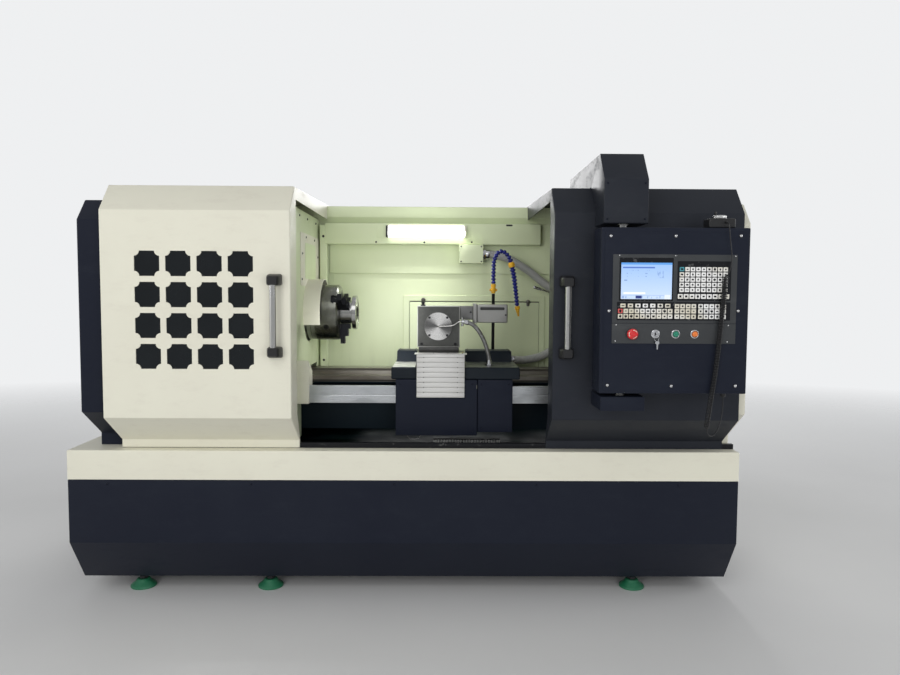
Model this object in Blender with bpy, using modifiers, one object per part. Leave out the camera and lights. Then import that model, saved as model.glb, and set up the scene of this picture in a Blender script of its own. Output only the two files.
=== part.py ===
"""CNC turning lathe with two sliding hoods and a swivelling control box, as separate solids.

Metres, +Z up, X along the bed with the headstock on the left, Y from the operator to the rear wall.
The origin lies on the floor below the middle of the machine. A place that ends in _in is measured
from the front plane of the chip tray towards the rear; back() turns it into a world Y.
"""
import math

import bmesh
import bpy
from mathutils import Matrix, Vector

# Driving dimensions
tray_length = 2.650
front_reach = 0.320  # emergency stop in front of the tray
back_reach = 1.200  # rear of the tray behind its front
floor_clear = 0.060
base_top = 0.494
rim_top = 0.611
spindle_in = 0.500
spindle_high = 1.142
way_top = 0.875
gap = 0.0003  # between pieces that touch
run_clear = 0.0005  # between a turning piece and its bore
slide_clear = 0.0040  # between a sliding cover and what it passes
overrun = 0.0200  # a cutter reaches this far past what it cuts
sheet = 0.0030

half_length = tray_length / 2
tray_front = (front_reach - back_reach) / 2
ROUND = 32
SMALL_ROUND = 16
TINY_ROUND = 12

for old in list(bpy.data.objects):
    bpy.data.objects.remove(old, do_unlink=True)

parts = bpy.data.collections.new("cnc_turning_lathe")
cutters = bpy.data.collections.new("cutters")
for group in (parts, cutters):
    bpy.context.scene.collection.children.link(group)

ALONG_X = Matrix(((0, 0, 1, 0), (1, 0, 0, 0), (0, 1, 0, 0), (0, 0, 0, 1)))  # local x, y, z -> Y, Z, X
ALONG_Y = Matrix(((1, 0, 0, 0), (0, 0, -1, 0), (0, 1, 0, 0), (0, 0, 0, 1)))  # local x, y, z -> X, Z, -Y
ALONG_Z = Matrix.Identity(4)


def back(distance):
    """World Y of a place so far behind the tray's front plane."""
    return tray_front + distance


def add(name, mesh, place, smooth=False):
    """Puts a mesh into the machine as a named object at a place or under a matrix."""
    if smooth:
        mesh.shade_smooth()
        mesh.set_sharp_from_angle(angle=math.radians(35))
    obj = bpy.data.objects.new(name, mesh)
    parts.objects.link(obj)
    obj.matrix_world = place if isinstance(place, Matrix) else Matrix.Translation(place)
    return obj


def mesh_of(name, build):
    """A new mesh filled by a function that works on a bmesh."""
    work = bmesh.new()
    build(work)
    mesh = bpy.data.meshes.new(name)
    work.to_mesh(mesh)
    work.free()
    return mesh


def block(name, x_span, in_span, z_span, round_edge=0.0):
    """A box between two places on each axis, the middle one measured from the tray's front."""
    size = [b - a for a, b in (x_span, in_span, z_span)]
    middle = Vector((sum(x_span) / 2, back(sum(in_span) / 2), sum(z_span) / 2))
    mesh = mesh_of(name, lambda work: bmesh.ops.create_cube(work, size=1, matrix=Matrix.Diagonal(size + [1])))
    obj = add(name, mesh, middle)
    if round_edge:
        bevel = obj.modifiers.new("rounded edges", "BEVEL")
        bevel.width = round_edge
        bevel.segments = 1
    return obj


def rod(name, place, axis, radius, length, sides=SMALL_ROUND, end_radius=None):
    """A cylinder, or a cone with an end radius, whose middle is at a place."""
    end_radius = radius if end_radius is None else end_radius
    mesh = mesh_of(name, lambda work: bmesh.ops.create_cone(
        work, cap_ends=True, segments=sides, radius1=radius, radius2=end_radius, depth=length))
    turned_to = Vector((0, 0, 1)).rotation_difference(Vector(axis)).to_matrix().to_4x4()
    return add(name, mesh, Matrix.Translation(place) @ turned_to, smooth=True)


def plate(name, outlines, span, along):
    """A flat outline, with any holes in it, extruded between two places along X, Y or Z."""
    low, high = span
    curve = bpy.data.curves.new(name, "CURVE")
    curve.dimensions = "2D"
    curve.fill_mode = "BOTH"
    curve.extrude = (high - low) / 2
    for outline in outlines:
        spline = curve.splines.new("POLY")
        spline.points.add(len(outline) - 1)
        for point, (a, b) in zip(spline.points, outline):
            point.co = (a, b, 0, 1)
        spline.use_cyclic_u = True
    drawn = bpy.data.objects.new(name, curve)
    parts.objects.link(drawn)
    mesh = bpy.data.meshes.new_from_object(drawn.evaluated_get(bpy.context.evaluated_depsgraph_get()))
    bpy.data.objects.remove(drawn, do_unlink=True)
    work = bmesh.new()
    work.from_mesh(mesh)
    bmesh.ops.remove_doubles(work, verts=work.verts, dist=gap / 10)
    bmesh.ops.recalc_face_normals(work, faces=work.faces)
    work.to_mesh(mesh)
    work.free()
    mesh.name = name
    middle = (low + high) / 2
    shift = {"X": (middle, 0, 0), "Y": (0, back(middle), 0), "Z": (0, 0, middle)}[along]
    frame = {"X": ALONG_X, "Y": ALONG_Y, "Z": ALONG_Z}[along]
    return add(name, mesh, Matrix.Translation(shift) @ frame)


def side_view(points):
    """Turns points given as distance behind the tray's front and height into world Y and Z."""
    return [(back(a), b) for a, b in points]


def turned(name, profile, place, axis, steps=ROUND, closed=False):
    """A profile of radius and height turned about an axis through a place, listed down its outer side."""
    def draw(work):
        points = [work.verts.new((radius, 0, height)) for radius, height in profile]
        for first, second in zip(points, points[1:] + points[:1] if closed else points[1:]):
            work.edges.new((first, second))
    obj = add(name, mesh_of(name, draw), Matrix.Translation(place) @ axis)
    screw = obj.modifiers.new("turned", "SCREW")
    screw.steps = steps
    screw.render_steps = steps
    screw.use_merge_vertices = True
    screw.merge_threshold = gap / 10
    screw.use_normal_calculate = True
    screw.use_normal_flip = True
    return obj


def tube(name, points, radii, resolution=2):
    """A round tube along points, with one radius or one radius for each point."""
    curve = bpy.data.curves.new(name, "CURVE")
    curve.dimensions = "3D"
    curve.bevel_depth = 1
    curve.bevel_resolution = resolution
    curve.use_fill_caps = True
    spline = curve.splines.new("POLY")
    spline.points.add(len(points) - 1)
    for index, (point, place) in enumerate(zip(spline.points, points)):
        point.co = (*place, 1)
        point.radius = radii[index] if isinstance(radii, (list, tuple)) else radii
    obj = bpy.data.objects.new(name, curve)
    parts.objects.link(obj)
    return obj


def smooth_route(route, count):
    """Evenly spaced points on a Catmull-Rom curve, with a straight first and last stretch."""
    dense = []
    for before, start, stop, after in zip(route, route[1:], route[2:], route[3:]):
        for step in range(24):
            t = step / 24
            dense.append(0.5 * ((2 * start) + (stop - before) * t
                                + (2 * before - 5 * start + 4 * stop - after) * t * t
                                + (3 * start - before - 3 * stop + after) * t * t * t))
    dense.append(route[-2])
    lengths = [0.0]
    for first, second in zip(dense, dense[1:]):
        lengths.append(lengths[-1] + (second - first).length)
    even = []
    place = 0
    for index in range(count - 2):
        wanted = lengths[-1] * index / (count - 3)
        while place < len(lengths) - 2 and lengths[place + 1] < wanted:
            place += 1
        part = (wanted - lengths[place]) / (lengths[place + 1] - lengths[place])
        even.append(dense[place].lerp(dense[place + 1], part))
    return [route[0]] + even + [route[-1]]


def as_tool(obj):
    """Moves an object out of the machine, to cut or to be joined."""
    parts.objects.unlink(obj)
    cutters.objects.link(obj)
    obj.hide_render = True
    obj.display_type = "WIRE"


def combine(obj, operation, tools):
    for tool in tools:
        as_tool(tool)
        boolean = obj.modifiers.new(operation.lower(), "BOOLEAN")
        boolean.operation = operation
        boolean.solver = "EXACT"
        boolean.object = tool
    return obj


def cut(obj, *tools):
    return combine(obj, "DIFFERENCE", tools)


def weld(obj, *tools):
    return combine(obj, "UNION", tools)


def inset(points, wall):
    """The outline moved inwards by a wall, or outwards for a negative wall; points run anticlockwise."""
    moved = []
    for before, here, after in zip(points[-1:] + points[:-1], points, points[1:] + points[:1]):
        normals = []
        for start, stop in ((before, here), (here, after)):
            across, up = stop[0] - start[0], stop[1] - start[1]
            length = math.hypot(across, up)
            normals.append((-up / length, across / length))
        (a, b), (c, d) = normals
        scale = wall / (1 + a * c + b * d)
        moved.append((here[0] + (a + c) * scale, here[1] + (b + d) * scale))
    return moved


def arc(centre, radius, start, stop, count):
    """Points on an arc, its angles in degrees."""
    angles = [math.radians(start + (stop - start) * k / (count - 1)) for k in range(count)]
    return [(centre[0] + radius * math.cos(t), centre[1] + radius * math.sin(t)) for t in angles]


def body(name, place=(0, 0, 0)):
    """An empty that carries the pieces of one moving body, on its joint's axis."""
    empty = bpy.data.objects.new("body_" + name, None)
    parts.objects.link(empty)
    empty.location = place
    return empty


def carried(parent, *objects):
    """Hangs pieces on a body's empty, where they already stand."""
    bpy.context.view_layer.update()
    for obj in objects:
        obj.parent = parent
        obj.matrix_parent_inverse = parent.matrix_world.inverted()


def paint(obj, colour, roughness, metallic=0.0):
    """Gives a piece its own finish."""
    material = bpy.data.materials.new(obj.name)
    material.use_nodes = True
    shader = material.node_tree.nodes["Principled BSDF"]
    shader.inputs["Base Color"].default_value = (*colour, 1)
    shader.inputs["Roughness"].default_value = roughness
    shader.inputs["Metallic"].default_value = metallic
    obj.data.materials.clear()
    obj.data.materials.append(material)
    return obj


CREAM = (0.78, 0.75, 0.66)
NAVY = (0.017, 0.021, 0.034)
GREEN = (0.58, 0.65, 0.41)
GREY_IRON = (0.10, 0.10, 0.10)
STEEL = (0.55, 0.55, 0.55)
BLACK = (0.01, 0.01, 0.01)

# Base: a welded steel box with a chamfered foot, open at the top, on levelling feet
base_wall = 0.010
skirt_bottom = 0.241
skirt_chamfer = 0.117
base_outline = [(skirt_chamfer, floor_clear), (back_reach - skirt_chamfer, floor_clear),
                (back_reach, skirt_bottom), (back_reach, base_top), (0, base_top), (0, skirt_bottom)]
base_room = inset(base_outline[:3] + [(back_reach, base_top + overrun + base_wall),
                                      (0, base_top + overrun + base_wall), (0, skirt_bottom)], base_wall)
base = plate("base_cabinet", [side_view(base_outline)], (-half_length, half_length), "X")
cut(base,
    plate("base_room", [side_view(base_room)], (-half_length + base_wall, half_length - base_wall), "X"))

foot_x_shares = (-0.416, -0.215, 0.359)  # of the tray's length, from its middle
foot_inset = 0.165
foot_pad = 0.052
foot_pad_high = 0.008
foot_neck = 0.028
foot_neck_high = 0.030
foot_stud = 0.012
for foot_in in (foot_inset, back_reach - foot_inset):
    for share in foot_x_shares:
        weld(base, turned("levelling_foot", [(0, floor_clear + base_wall / 2),
                                             (foot_stud, floor_clear + base_wall / 2),
                                             (foot_stud, foot_neck_high), (foot_neck, foot_neck_high),
                                             (foot_pad, foot_pad_high), (foot_pad, 0), (0, 0)],
                          (share * tray_length, back(foot_in), 0), ALONG_Z, TINY_ROUND))
paint(base, NAVY, 0.45)

# Chip tray: a folded rim band with a deck round it, and a pan hung in the middle
rim_flange = 0.125
tray_sheet = 0.004
pan_left = -0.580
pan_right = half_length - rim_flange
pan_floor = 0.515
pulley_inset = 0.125  # from the tray's left end
pulley_wide = 0.050
pulley_x = (-half_length + pulley_inset, -half_length + pulley_inset + pulley_wide)
belt_slot_clear = (0.035, 0.005)
belt_slot_x = (pulley_x[0] - belt_slot_clear[0], pulley_x[1] + belt_slot_clear[1])
belt_slot_half = 0.130
tray = block("chip_tray", (-half_length, half_length), (0, back_reach), (base_top + gap, rim_top))
under = block("tray_under", (-half_length + tray_sheet, half_length - tray_sheet),
              (tray_sheet, back_reach - tray_sheet), (base_top - overrun, rim_top - tray_sheet))
pan_in = (rim_flange, back_reach - rim_flange)
pan_shell = block("pan_shell", (pan_left - tray_sheet, pan_right + tray_sheet),
                  (pan_in[0] - tray_sheet, pan_in[1] + tray_sheet),
                  (pan_floor - tray_sheet, rim_top - tray_sheet / 2))
pan_room = block("pan_room", (pan_left, pan_right), pan_in, (pan_floor, rim_top + overrun))
belt_slot = block("belt_slot", belt_slot_x, (spindle_in - belt_slot_half, spindle_in + belt_slot_half),
                  (rim_top - overrun, rim_top + overrun))
cut(tray, under)
weld(tray, pan_shell)
cut(tray, pan_room, belt_slot)

strainer_x = (0.104, 0.424)
strainer_in = 0.600
strainer_high = 0.022
strainer_sheet = 0.002
strainer_depth = 0.060
strainer_slots = 16
strainer_slot_share = 0.5
strainer = block("strainer", strainer_x, (strainer_in, strainer_in + strainer_depth),
                 (pan_floor - tray_sheet / 2, pan_floor + strainer_high))
slot_pitch = (strainer_x[1] - strainer_x[0]) / strainer_slots
weld(tray, strainer)
cut(tray, block("strainer_room", (strainer_x[0] + strainer_sheet, strainer_x[1] - strainer_sheet),
                (strainer_in + strainer_sheet, strainer_in + strainer_depth - strainer_sheet),
                (pan_floor - overrun, pan_floor + strainer_high - strainer_sheet)))
slots = None
for number in range(strainer_slots):
    middle = strainer_x[0] + slot_pitch * (number + 0.5)
    half_slot = slot_pitch * strainer_slot_share / 2
    slot = block("strainer_slot", (middle - half_slot, middle + half_slot),
                 (strainer_in - overrun, strainer_in + strainer_sheet * 2),
                 (pan_floor + strainer_sheet, pan_floor + strainer_high - strainer_sheet * 2))
    cut(tray, slot)
paint(tray, CREAM, 0.45)

# Bed: one casting with a front V-way and a flat rear way, on two legs
bed_inset = 0.225
bed_x = (-half_length + bed_inset, pan_right)
bed_in = (0.300, 0.700)
bed_bottom = 0.640
way_ridge = 0.015
ridge_in = 0.365
ridge_half = 0.020
front_way_edge = 0.420
rear_way_edge = 0.600
bed_channel = 0.830
way_lip = 0.030
way_undercut = 0.025
front_ridge = [(ridge_in + ridge_half, way_top), (ridge_in, way_top + way_ridge),
               (ridge_in - ridge_half, way_top)]
bed_outline = [(bed_in[0] + way_undercut, bed_bottom), (bed_in[1] - way_undercut, bed_bottom),
               (bed_in[1] - way_undercut, way_top - way_lip - way_undercut), (bed_in[1], way_top - way_lip),
               (bed_in[1], way_top), (rear_way_edge, way_top), (rear_way_edge, bed_channel),
               (front_way_edge, bed_channel), (front_way_edge, way_top), *front_ridge, (bed_in[0], way_top),
               (bed_in[0], way_top - way_lip), (bed_in[0] + way_undercut, way_top - way_lip - way_undercut)]
leg_step = 0.020  # the bed's end overhangs its leg by this
left_leg_x = (bed_x[0] + leg_step, -0.640)
right_leg_x = (0.820, bed_x[1] - leg_step * 2)
leg_in = (0.335, 0.665)
screw_lug_inset = 0.070
screw_lug_wide = 0.050
screw_lug_x = (bed_x[1] - screw_lug_inset - screw_lug_wide, bed_x[1] - screw_lug_inset)
screw_in = 0.262
screw_high = 0.800
lug_half = 0.032
screw_journal = 0.010
screw_radius = 0.0125


def bore_for(shaft, sides=SMALL_ROUND):
    """Radius of a faceted bore whose flats stay clear of a shaft."""
    return (shaft + run_clear) / math.cos(math.pi / sides)


bed = plate("bed", [side_view(bed_outline)], bed_x, "X")
weld(bed, block("left_leg", left_leg_x, leg_in, (rim_top + gap, bed_bottom + way_lip)),
     block("right_leg", right_leg_x, leg_in, (pan_floor + gap, bed_bottom + way_lip)),
     block("screw_lug", screw_lug_x, (screw_in - lug_half, bed_in[0] + way_undercut * 2),
           (screw_high - lug_half, screw_high + lug_half)))
cut(bed, rod("lug_bore", (sum(screw_lug_x) / 2, back(screw_in), screw_high), (1, 0, 0),
             bore_for(screw_journal), screw_lug_x[1] - screw_lug_x[0] + overrun))
rib_count = 5
rib_window_share = 0.62
rib_pitch = (right_leg_x[0] - left_leg_x[1]) / rib_count
for number in range(rib_count):
    middle = left_leg_x[1] + rib_pitch * (number + 0.5)
    window = block("bed_window",
                   (middle - rib_pitch * rib_window_share / 2, middle + rib_pitch * rib_window_share / 2),
                   (front_way_edge, rear_way_edge), (bed_bottom - overrun, bed_channel + overrun))
    cut(bed, window)
paint(bed, GREY_IRON, 0.5, 0.4)


def way_groove(x_span):
    """A cutter that gives a sliding or bolted casting its V over the front way."""
    apex = way_top + way_ridge + gap * 2
    low = way_top - overrun
    half = ridge_half * (apex - low) / way_ridge
    points = [(ridge_in - half, low), (ridge_in + half, low), (ridge_in, apex)]
    return plate("way_groove", [side_view(points)], (x_span[0] - overrun, x_span[1] + overrun), "X")


# Screw cover: a folded stainless strip in front of the lead screw
screw_cover_z = (0.768, 0.842)
screw_cover_lip = 0.014
cover_front_in = screw_in - lug_half - sheet * 3
end_box_x = (-0.4632 + gap, -0.4135)
screw_cover_x = (end_box_x[1] + gap, screw_lug_x[1])
screw_cover = block("screw_cover", screw_cover_x, (cover_front_in, cover_front_in + sheet), screw_cover_z)
weld(screw_cover, block("cover_lip", screw_cover_x,
                        (cover_front_in + sheet / 2, cover_front_in + screw_cover_lip),
                        (screw_cover_z[1] - sheet, screw_cover_z[1])),
     block("cover_pad", screw_lug_x, (cover_front_in + sheet / 2, screw_in - lug_half - gap),
           (screw_high - lug_half, screw_high + lug_half)))
paint(screw_cover, STEEL, 0.3, 1.0)

# Fixed covers round the headstock and the tailstock: one folded profile, smaller than the hoods'
cover_front = -0.050
cover_face_z = (0.770, 1.506)
cover_roof = 1.586
cover_top_chamfer_in = 0.020
cover_foot_in = 0.108
cover_foot_top = 0.660
wall_in = 0.800
cover_outline = [(cover_foot_in, rim_top + gap), (wall_in - gap, rim_top + gap),
                 (wall_in - gap, cover_roof), (cover_top_chamfer_in, cover_roof),
                 (cover_front, cover_face_z[1]), (cover_front, cover_face_z[0]),
                 (cover_foot_in, cover_foot_top)]


def cover_room(outline, wall, rear):
    """The hollow of a folded cover: open underneath, and open at the rear where rear is set."""
    room = inset(outline, wall)
    room[0] = (room[0][0], rim_top - overrun)
    room[1] = (room[1][0] + (overrun if rear else 0), rim_top - overrun)
    room[2] = (room[1][0], room[2][1])
    return room


channel_in = (wall_in - sheet * 5, wall_in + sheet * 9)
channel_drop = 0.010  # under the covers' roof
channel_fold = 0.026
channel_high = 0.053
channel_low = cover_roof - channel_drop
channel_z = (channel_low, channel_low + channel_fold, channel_low + channel_fold + channel_high)
roof_back_in = channel_in[0] - sheet
partition_x = (-0.4662, -0.4632)
end_cover_inset = 0.085
end_cover_wide = 0.110
end_cover_left = -half_length + end_cover_inset
end_cover_right = end_cover_left + end_cover_wide
end_cover_back = 0.860
left_end_outline = [(a if a < wall_in - gap * 2 else end_cover_back, b) for a, b in cover_outline]
left_end_cover = plate("left_end_cover", [side_view(left_end_outline)], (end_cover_left, end_cover_right),
                       "X")
cut(left_end_cover, plate("end_room", [side_view(cover_room(left_end_outline, sheet, False))],
                          (end_cover_left + sheet, end_cover_right + overrun), "X"))
paint(left_end_cover, NAVY, 0.45)

short_outline = [(min(a, roof_back_in), b) for a, b in cover_outline]
headstock_cover = plate("headstock_cover", [side_view(short_outline)],
                        (end_cover_right + gap, partition_x[0] - gap), "X")
cut(headstock_cover, plate("headstock_room", [side_view(cover_room(short_outline, sheet, True))],
                           (end_cover_right - overrun, partition_x[0] + overrun), "X"))
paint(headstock_cover, CREAM, 0.45)

right_cover_x = (0.780, half_length - sheet)
right_end_cover = plate("right_end_cover", [side_view(short_outline)], right_cover_x, "X")
cut(right_end_cover, plate("right_room", [side_view(cover_room(short_outline, sheet, True))],
                           (right_cover_x[0] - overrun, right_cover_x[1] - sheet), "X"))
paint(right_end_cover, CREAM, 0.45)

# Partition between headstock and work area, with the chuck's shroud and the lead screw's end box on it
nose_hole = 0.132
bed_pass = 0.006
shroud_radius = 0.150
shroud_x = (partition_x[0], -0.390)
shroud_low = 1.090
end_box_in = (0.205, 0.296)
end_box_z = (0.765, 0.897, 0.950)
partition = plate("headstock_partition", [side_view(short_outline)], partition_x, "X")
shroud_drop = math.degrees(math.asin((spindle_high - shroud_low) / shroud_radius))
shroud_ring = arc((spindle_in, spindle_high), shroud_radius, -shroud_drop, 180 + shroud_drop, 19)
inner_drop = math.degrees(math.asin((spindle_high - shroud_low) / (shroud_radius - sheet)))
shroud_inner = arc((spindle_in, spindle_high), shroud_radius - sheet, -inner_drop, 180 + inner_drop, 19)
weld(partition, plate("shroud", [side_view(shroud_ring + shroud_inner[::-1])], shroud_x, "X"),
     plate("end_box", [side_view([(end_box_in[0], end_box_z[0]), (end_box_in[1], end_box_z[0]),
                                  (end_box_in[1], end_box_z[1]), (end_box_in[0], end_box_z[2])])],
           (partition_x[0], end_box_x[1]), "X"))
cut(partition, rod("nose_hole", (partition_x[0], back(spindle_in), spindle_high), (1, 0, 0), nose_hole,
                   sheet * 4, ROUND),
    block("bed_pass", (partition_x[0] - overrun, partition_x[1] + overrun),
          (bed_in[0] - bed_pass / 2, bed_in[1] + bed_pass),
          (rim_top - overrun, way_top + way_ridge + bed_pass)),
    rod("end_box_bore", (end_box_x[1], back(screw_in), screw_high), (1, 0, 0), bore_for(screw_journal),
        (end_box_x[1] - end_box_x[0]) * 1.5))
paint(partition, GREEN, 0.45)

# Back wall with its folded top channel, the lamp beam under it, a junction box and an access panel
wall_x = (end_cover_right + gap, right_cover_x[1])
conduit_radius = 0.020
conduit_in = 0.750
clamp_x = 0.760
clamp_z = (1.100, 1.130)
clamp_half = 0.028
wall_outline = [(wall_in, rim_top + gap), (wall_in + sheet, rim_top + gap), (wall_in + sheet, channel_z[0]),
                (channel_in[1], channel_z[1]), (channel_in[1], channel_z[2]), (channel_in[0], channel_z[2]),
                (channel_in[0], channel_z[1]), (wall_in, channel_z[0])]
back_wall = plate("back_wall", [side_view(wall_outline)], wall_x, "X")
weld(back_wall, block("conduit_clamp", (clamp_x - clamp_half, clamp_x + clamp_half),
                      (conduit_in - clamp_half, wall_in + sheet / 2), clamp_z))
beam_x = (-0.427, 0.623)
beam_z = (1.468, 1.570)
beam_in = (0.740, wall_in + sheet / 2)
weld(back_wall, block("lamp_beam", beam_x, beam_in, beam_z, round_edge=0.004))

lamp_x = (-0.130, 0.260)
lamp_z = (1.500, 1.558)
lamp_deep = 0.024
work_lamp = block("work_lamp", lamp_x, (beam_in[0] - gap - lamp_deep, beam_in[0] - gap), lamp_z,
                  round_edge=0.006)
paint(work_lamp, (0.95, 0.97, 0.95), 0.3)

junction_x = (0.227, 0.341)
junction_z = (1.377, 1.465)
junction_in = (0.700, wall_in + sheet / 2)
weld(back_wall, block("junction_box", junction_x, junction_in, junction_z, round_edge=0.004))
paint(back_wall, GREEN, 0.45)

panel_frame_x = (-0.048, 0.657)
panel_frame_z = (0.770, 1.221)
panel_x = (-0.016, 0.636)
panel_z = (0.800, 1.186)
panel_in = (0.7905, 0.7957, wall_in - gap)
access_panel = block("access_panel", panel_frame_x, (panel_in[1], panel_in[2]), panel_frame_z)
weld(access_panel, block("panel_middle", panel_x, (panel_in[0], panel_in[2] - sheet / 2), panel_z))
paint(access_panel, GREEN, 0.45)

# Headstock: a cast gearbox-like housing on the ways, with the spindle's front bearing boss
headstock_inset = 0.070  # behind the end cover's inner edge
headstock_x = (end_cover_right + headstock_inset, -0.4860)
headstock_in = (0.320, 0.680)
headstock_top = 1.310
headstock_chamfer = 0.055
spindle_radius = 0.055
headstock_outline = [(headstock_in[0], way_top + gap), (headstock_in[1], way_top + gap),
                     (headstock_in[1], headstock_top - headstock_chamfer),
                     (headstock_in[1] - headstock_chamfer, headstock_top),
                     (headstock_in[0] + headstock_chamfer, headstock_top),
                     (headstock_in[0], headstock_top - headstock_chamfer)]
headstock = plate("headstock", [side_view(headstock_outline)], headstock_x, "X")
cut(headstock, way_groove(headstock_x),
    rod("spindle_bore", (sum(headstock_x) / 2, back(spindle_in), spindle_high), (1, 0, 0),
        bore_for(spindle_radius, ROUND), headstock_x[1] - headstock_x[0] + overrun, ROUND))
paint(headstock, CREAM, 0.5)

# Spindle, pulleys and belt
chuck_bore = 0.036
chuck_radius = 0.125
chuck_x = (-0.420, -0.318)
backplate_radius = 0.122
flange_radius = 0.090
spindle_end = 0.015  # past the pulley
spindle_left = pulley_x[0] - spindle_end
backplate_back = -0.458
flange_back = -0.485
spindle_pulley_radius = 0.105
motor_pulley_radius = 0.070
pulley_rim = 0.006
belt_thick = 0.009
motor_high = 0.270
spindle_place = (0, back(spindle_in), spindle_high)
def pulley_profile(radius, inner, x_span):
    """A flat belt pulley with a rim at each side, from its right face round to its left one."""
    low, high = x_span
    return [(inner, high), (radius + pulley_rim, high), (radius + pulley_rim, high - pulley_rim),
            (radius, high - pulley_rim), (radius, low + pulley_rim), (radius + pulley_rim, low + pulley_rim),
            (radius + pulley_rim, low), (inner, low)]


spindle = turned("spindle", [(chuck_bore, chuck_x[0] - gap), (backplate_radius, chuck_x[0] - gap),
                             (backplate_radius, backplate_back), (flange_radius, backplate_back),
                             (flange_radius, flange_back), (spindle_radius, flange_back),
                             *pulley_profile(spindle_pulley_radius, spindle_radius, pulley_x),
                             (spindle_radius, spindle_left), (chuck_bore, spindle_left)],
                 spindle_place, ALONG_X, closed=True)
paint(spindle, GREY_IRON, 0.6, 0.7)

motor_stand_off = 0.025  # between the pulley and the motor's end shield
motor_long = 0.345
motor_x = (pulley_x[1] + motor_stand_off, pulley_x[1] + motor_stand_off + motor_long)
motor_radius = 0.120
motor_shaft = 0.019
motor_shaft_over = 0.005
motor_shaft_end = pulley_x[0] - motor_shaft_over
motor_foot_half = 0.100
motor_box_half = 0.060
motor_place = (0, back(spindle_in), motor_high)
motor_pulley = turned("motor_pulley", [(0, motor_x[0] - gap), (motor_shaft, motor_x[0] - gap),
                                       (motor_shaft, pulley_x[1]),
                                       *pulley_profile(motor_pulley_radius, motor_shaft, pulley_x)[1:-1],
                                       (motor_shaft, pulley_x[0]), (motor_shaft, motor_shaft_end),
                                       (0, motor_shaft_end)], motor_place, ALONG_X)
paint(motor_pulley, GREY_IRON, 0.5, 0.6)

motor_end = 0.030
motor_neck = 0.090
main_motor = turned("main_motor", [(0, motor_x[1]), (motor_neck, motor_x[1]),
                                   (motor_radius, motor_x[1] - motor_end),
                                   (motor_radius, motor_x[0] + motor_end), (motor_neck, motor_x[0]),
                                   (0, motor_x[0])], motor_place, ALONG_X, SMALL_ROUND)
weld(main_motor, block("motor_foot", (motor_x[0] + motor_end * 2, motor_x[1] - motor_end * 2),
                       (spindle_in - motor_foot_half, spindle_in + motor_foot_half),
                       (floor_clear + base_wall + gap, motor_high - motor_neck)),
     block("motor_box", (sum(motor_x) / 2 - motor_box_half, sum(motor_x) / 2 + motor_box_half),
           (spindle_in - motor_box_half, spindle_in + motor_box_half),
           (motor_high + motor_neck, motor_high + motor_radius + motor_end)))
paint(main_motor, (0.03, 0.06, 0.10), 0.5)


def belt_loop(thickness):
    """The outline of a belt over both pulleys, at a height above their rims' seats."""
    top, bottom = spindle_pulley_radius + gap + thickness, motor_pulley_radius + gap + thickness
    lean = math.degrees(math.asin((top - bottom) / (spindle_high - motor_high)))
    return (arc((spindle_in, spindle_high), top, -lean, 180 + lean, 17)
            + arc((spindle_in, motor_high), bottom, 180 + lean, 360 - lean, 13))


def chord_clear(thickness):
    """Thickness of a belt's inner line once its flats clear the pulleys' corners."""
    return thickness + spindle_pulley_radius * (1 / math.cos(math.pi / ROUND) - 1) * 2


drive_belt = plate("drive_belt", [side_view(belt_loop(belt_thick)), side_view(belt_loop(chord_clear(0.0)))],
                   (pulley_x[0] + pulley_rim * 1.1, pulley_x[1] - pulley_rim * 1.1), "X")
paint(drive_belt, BLACK, 0.7)

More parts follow.
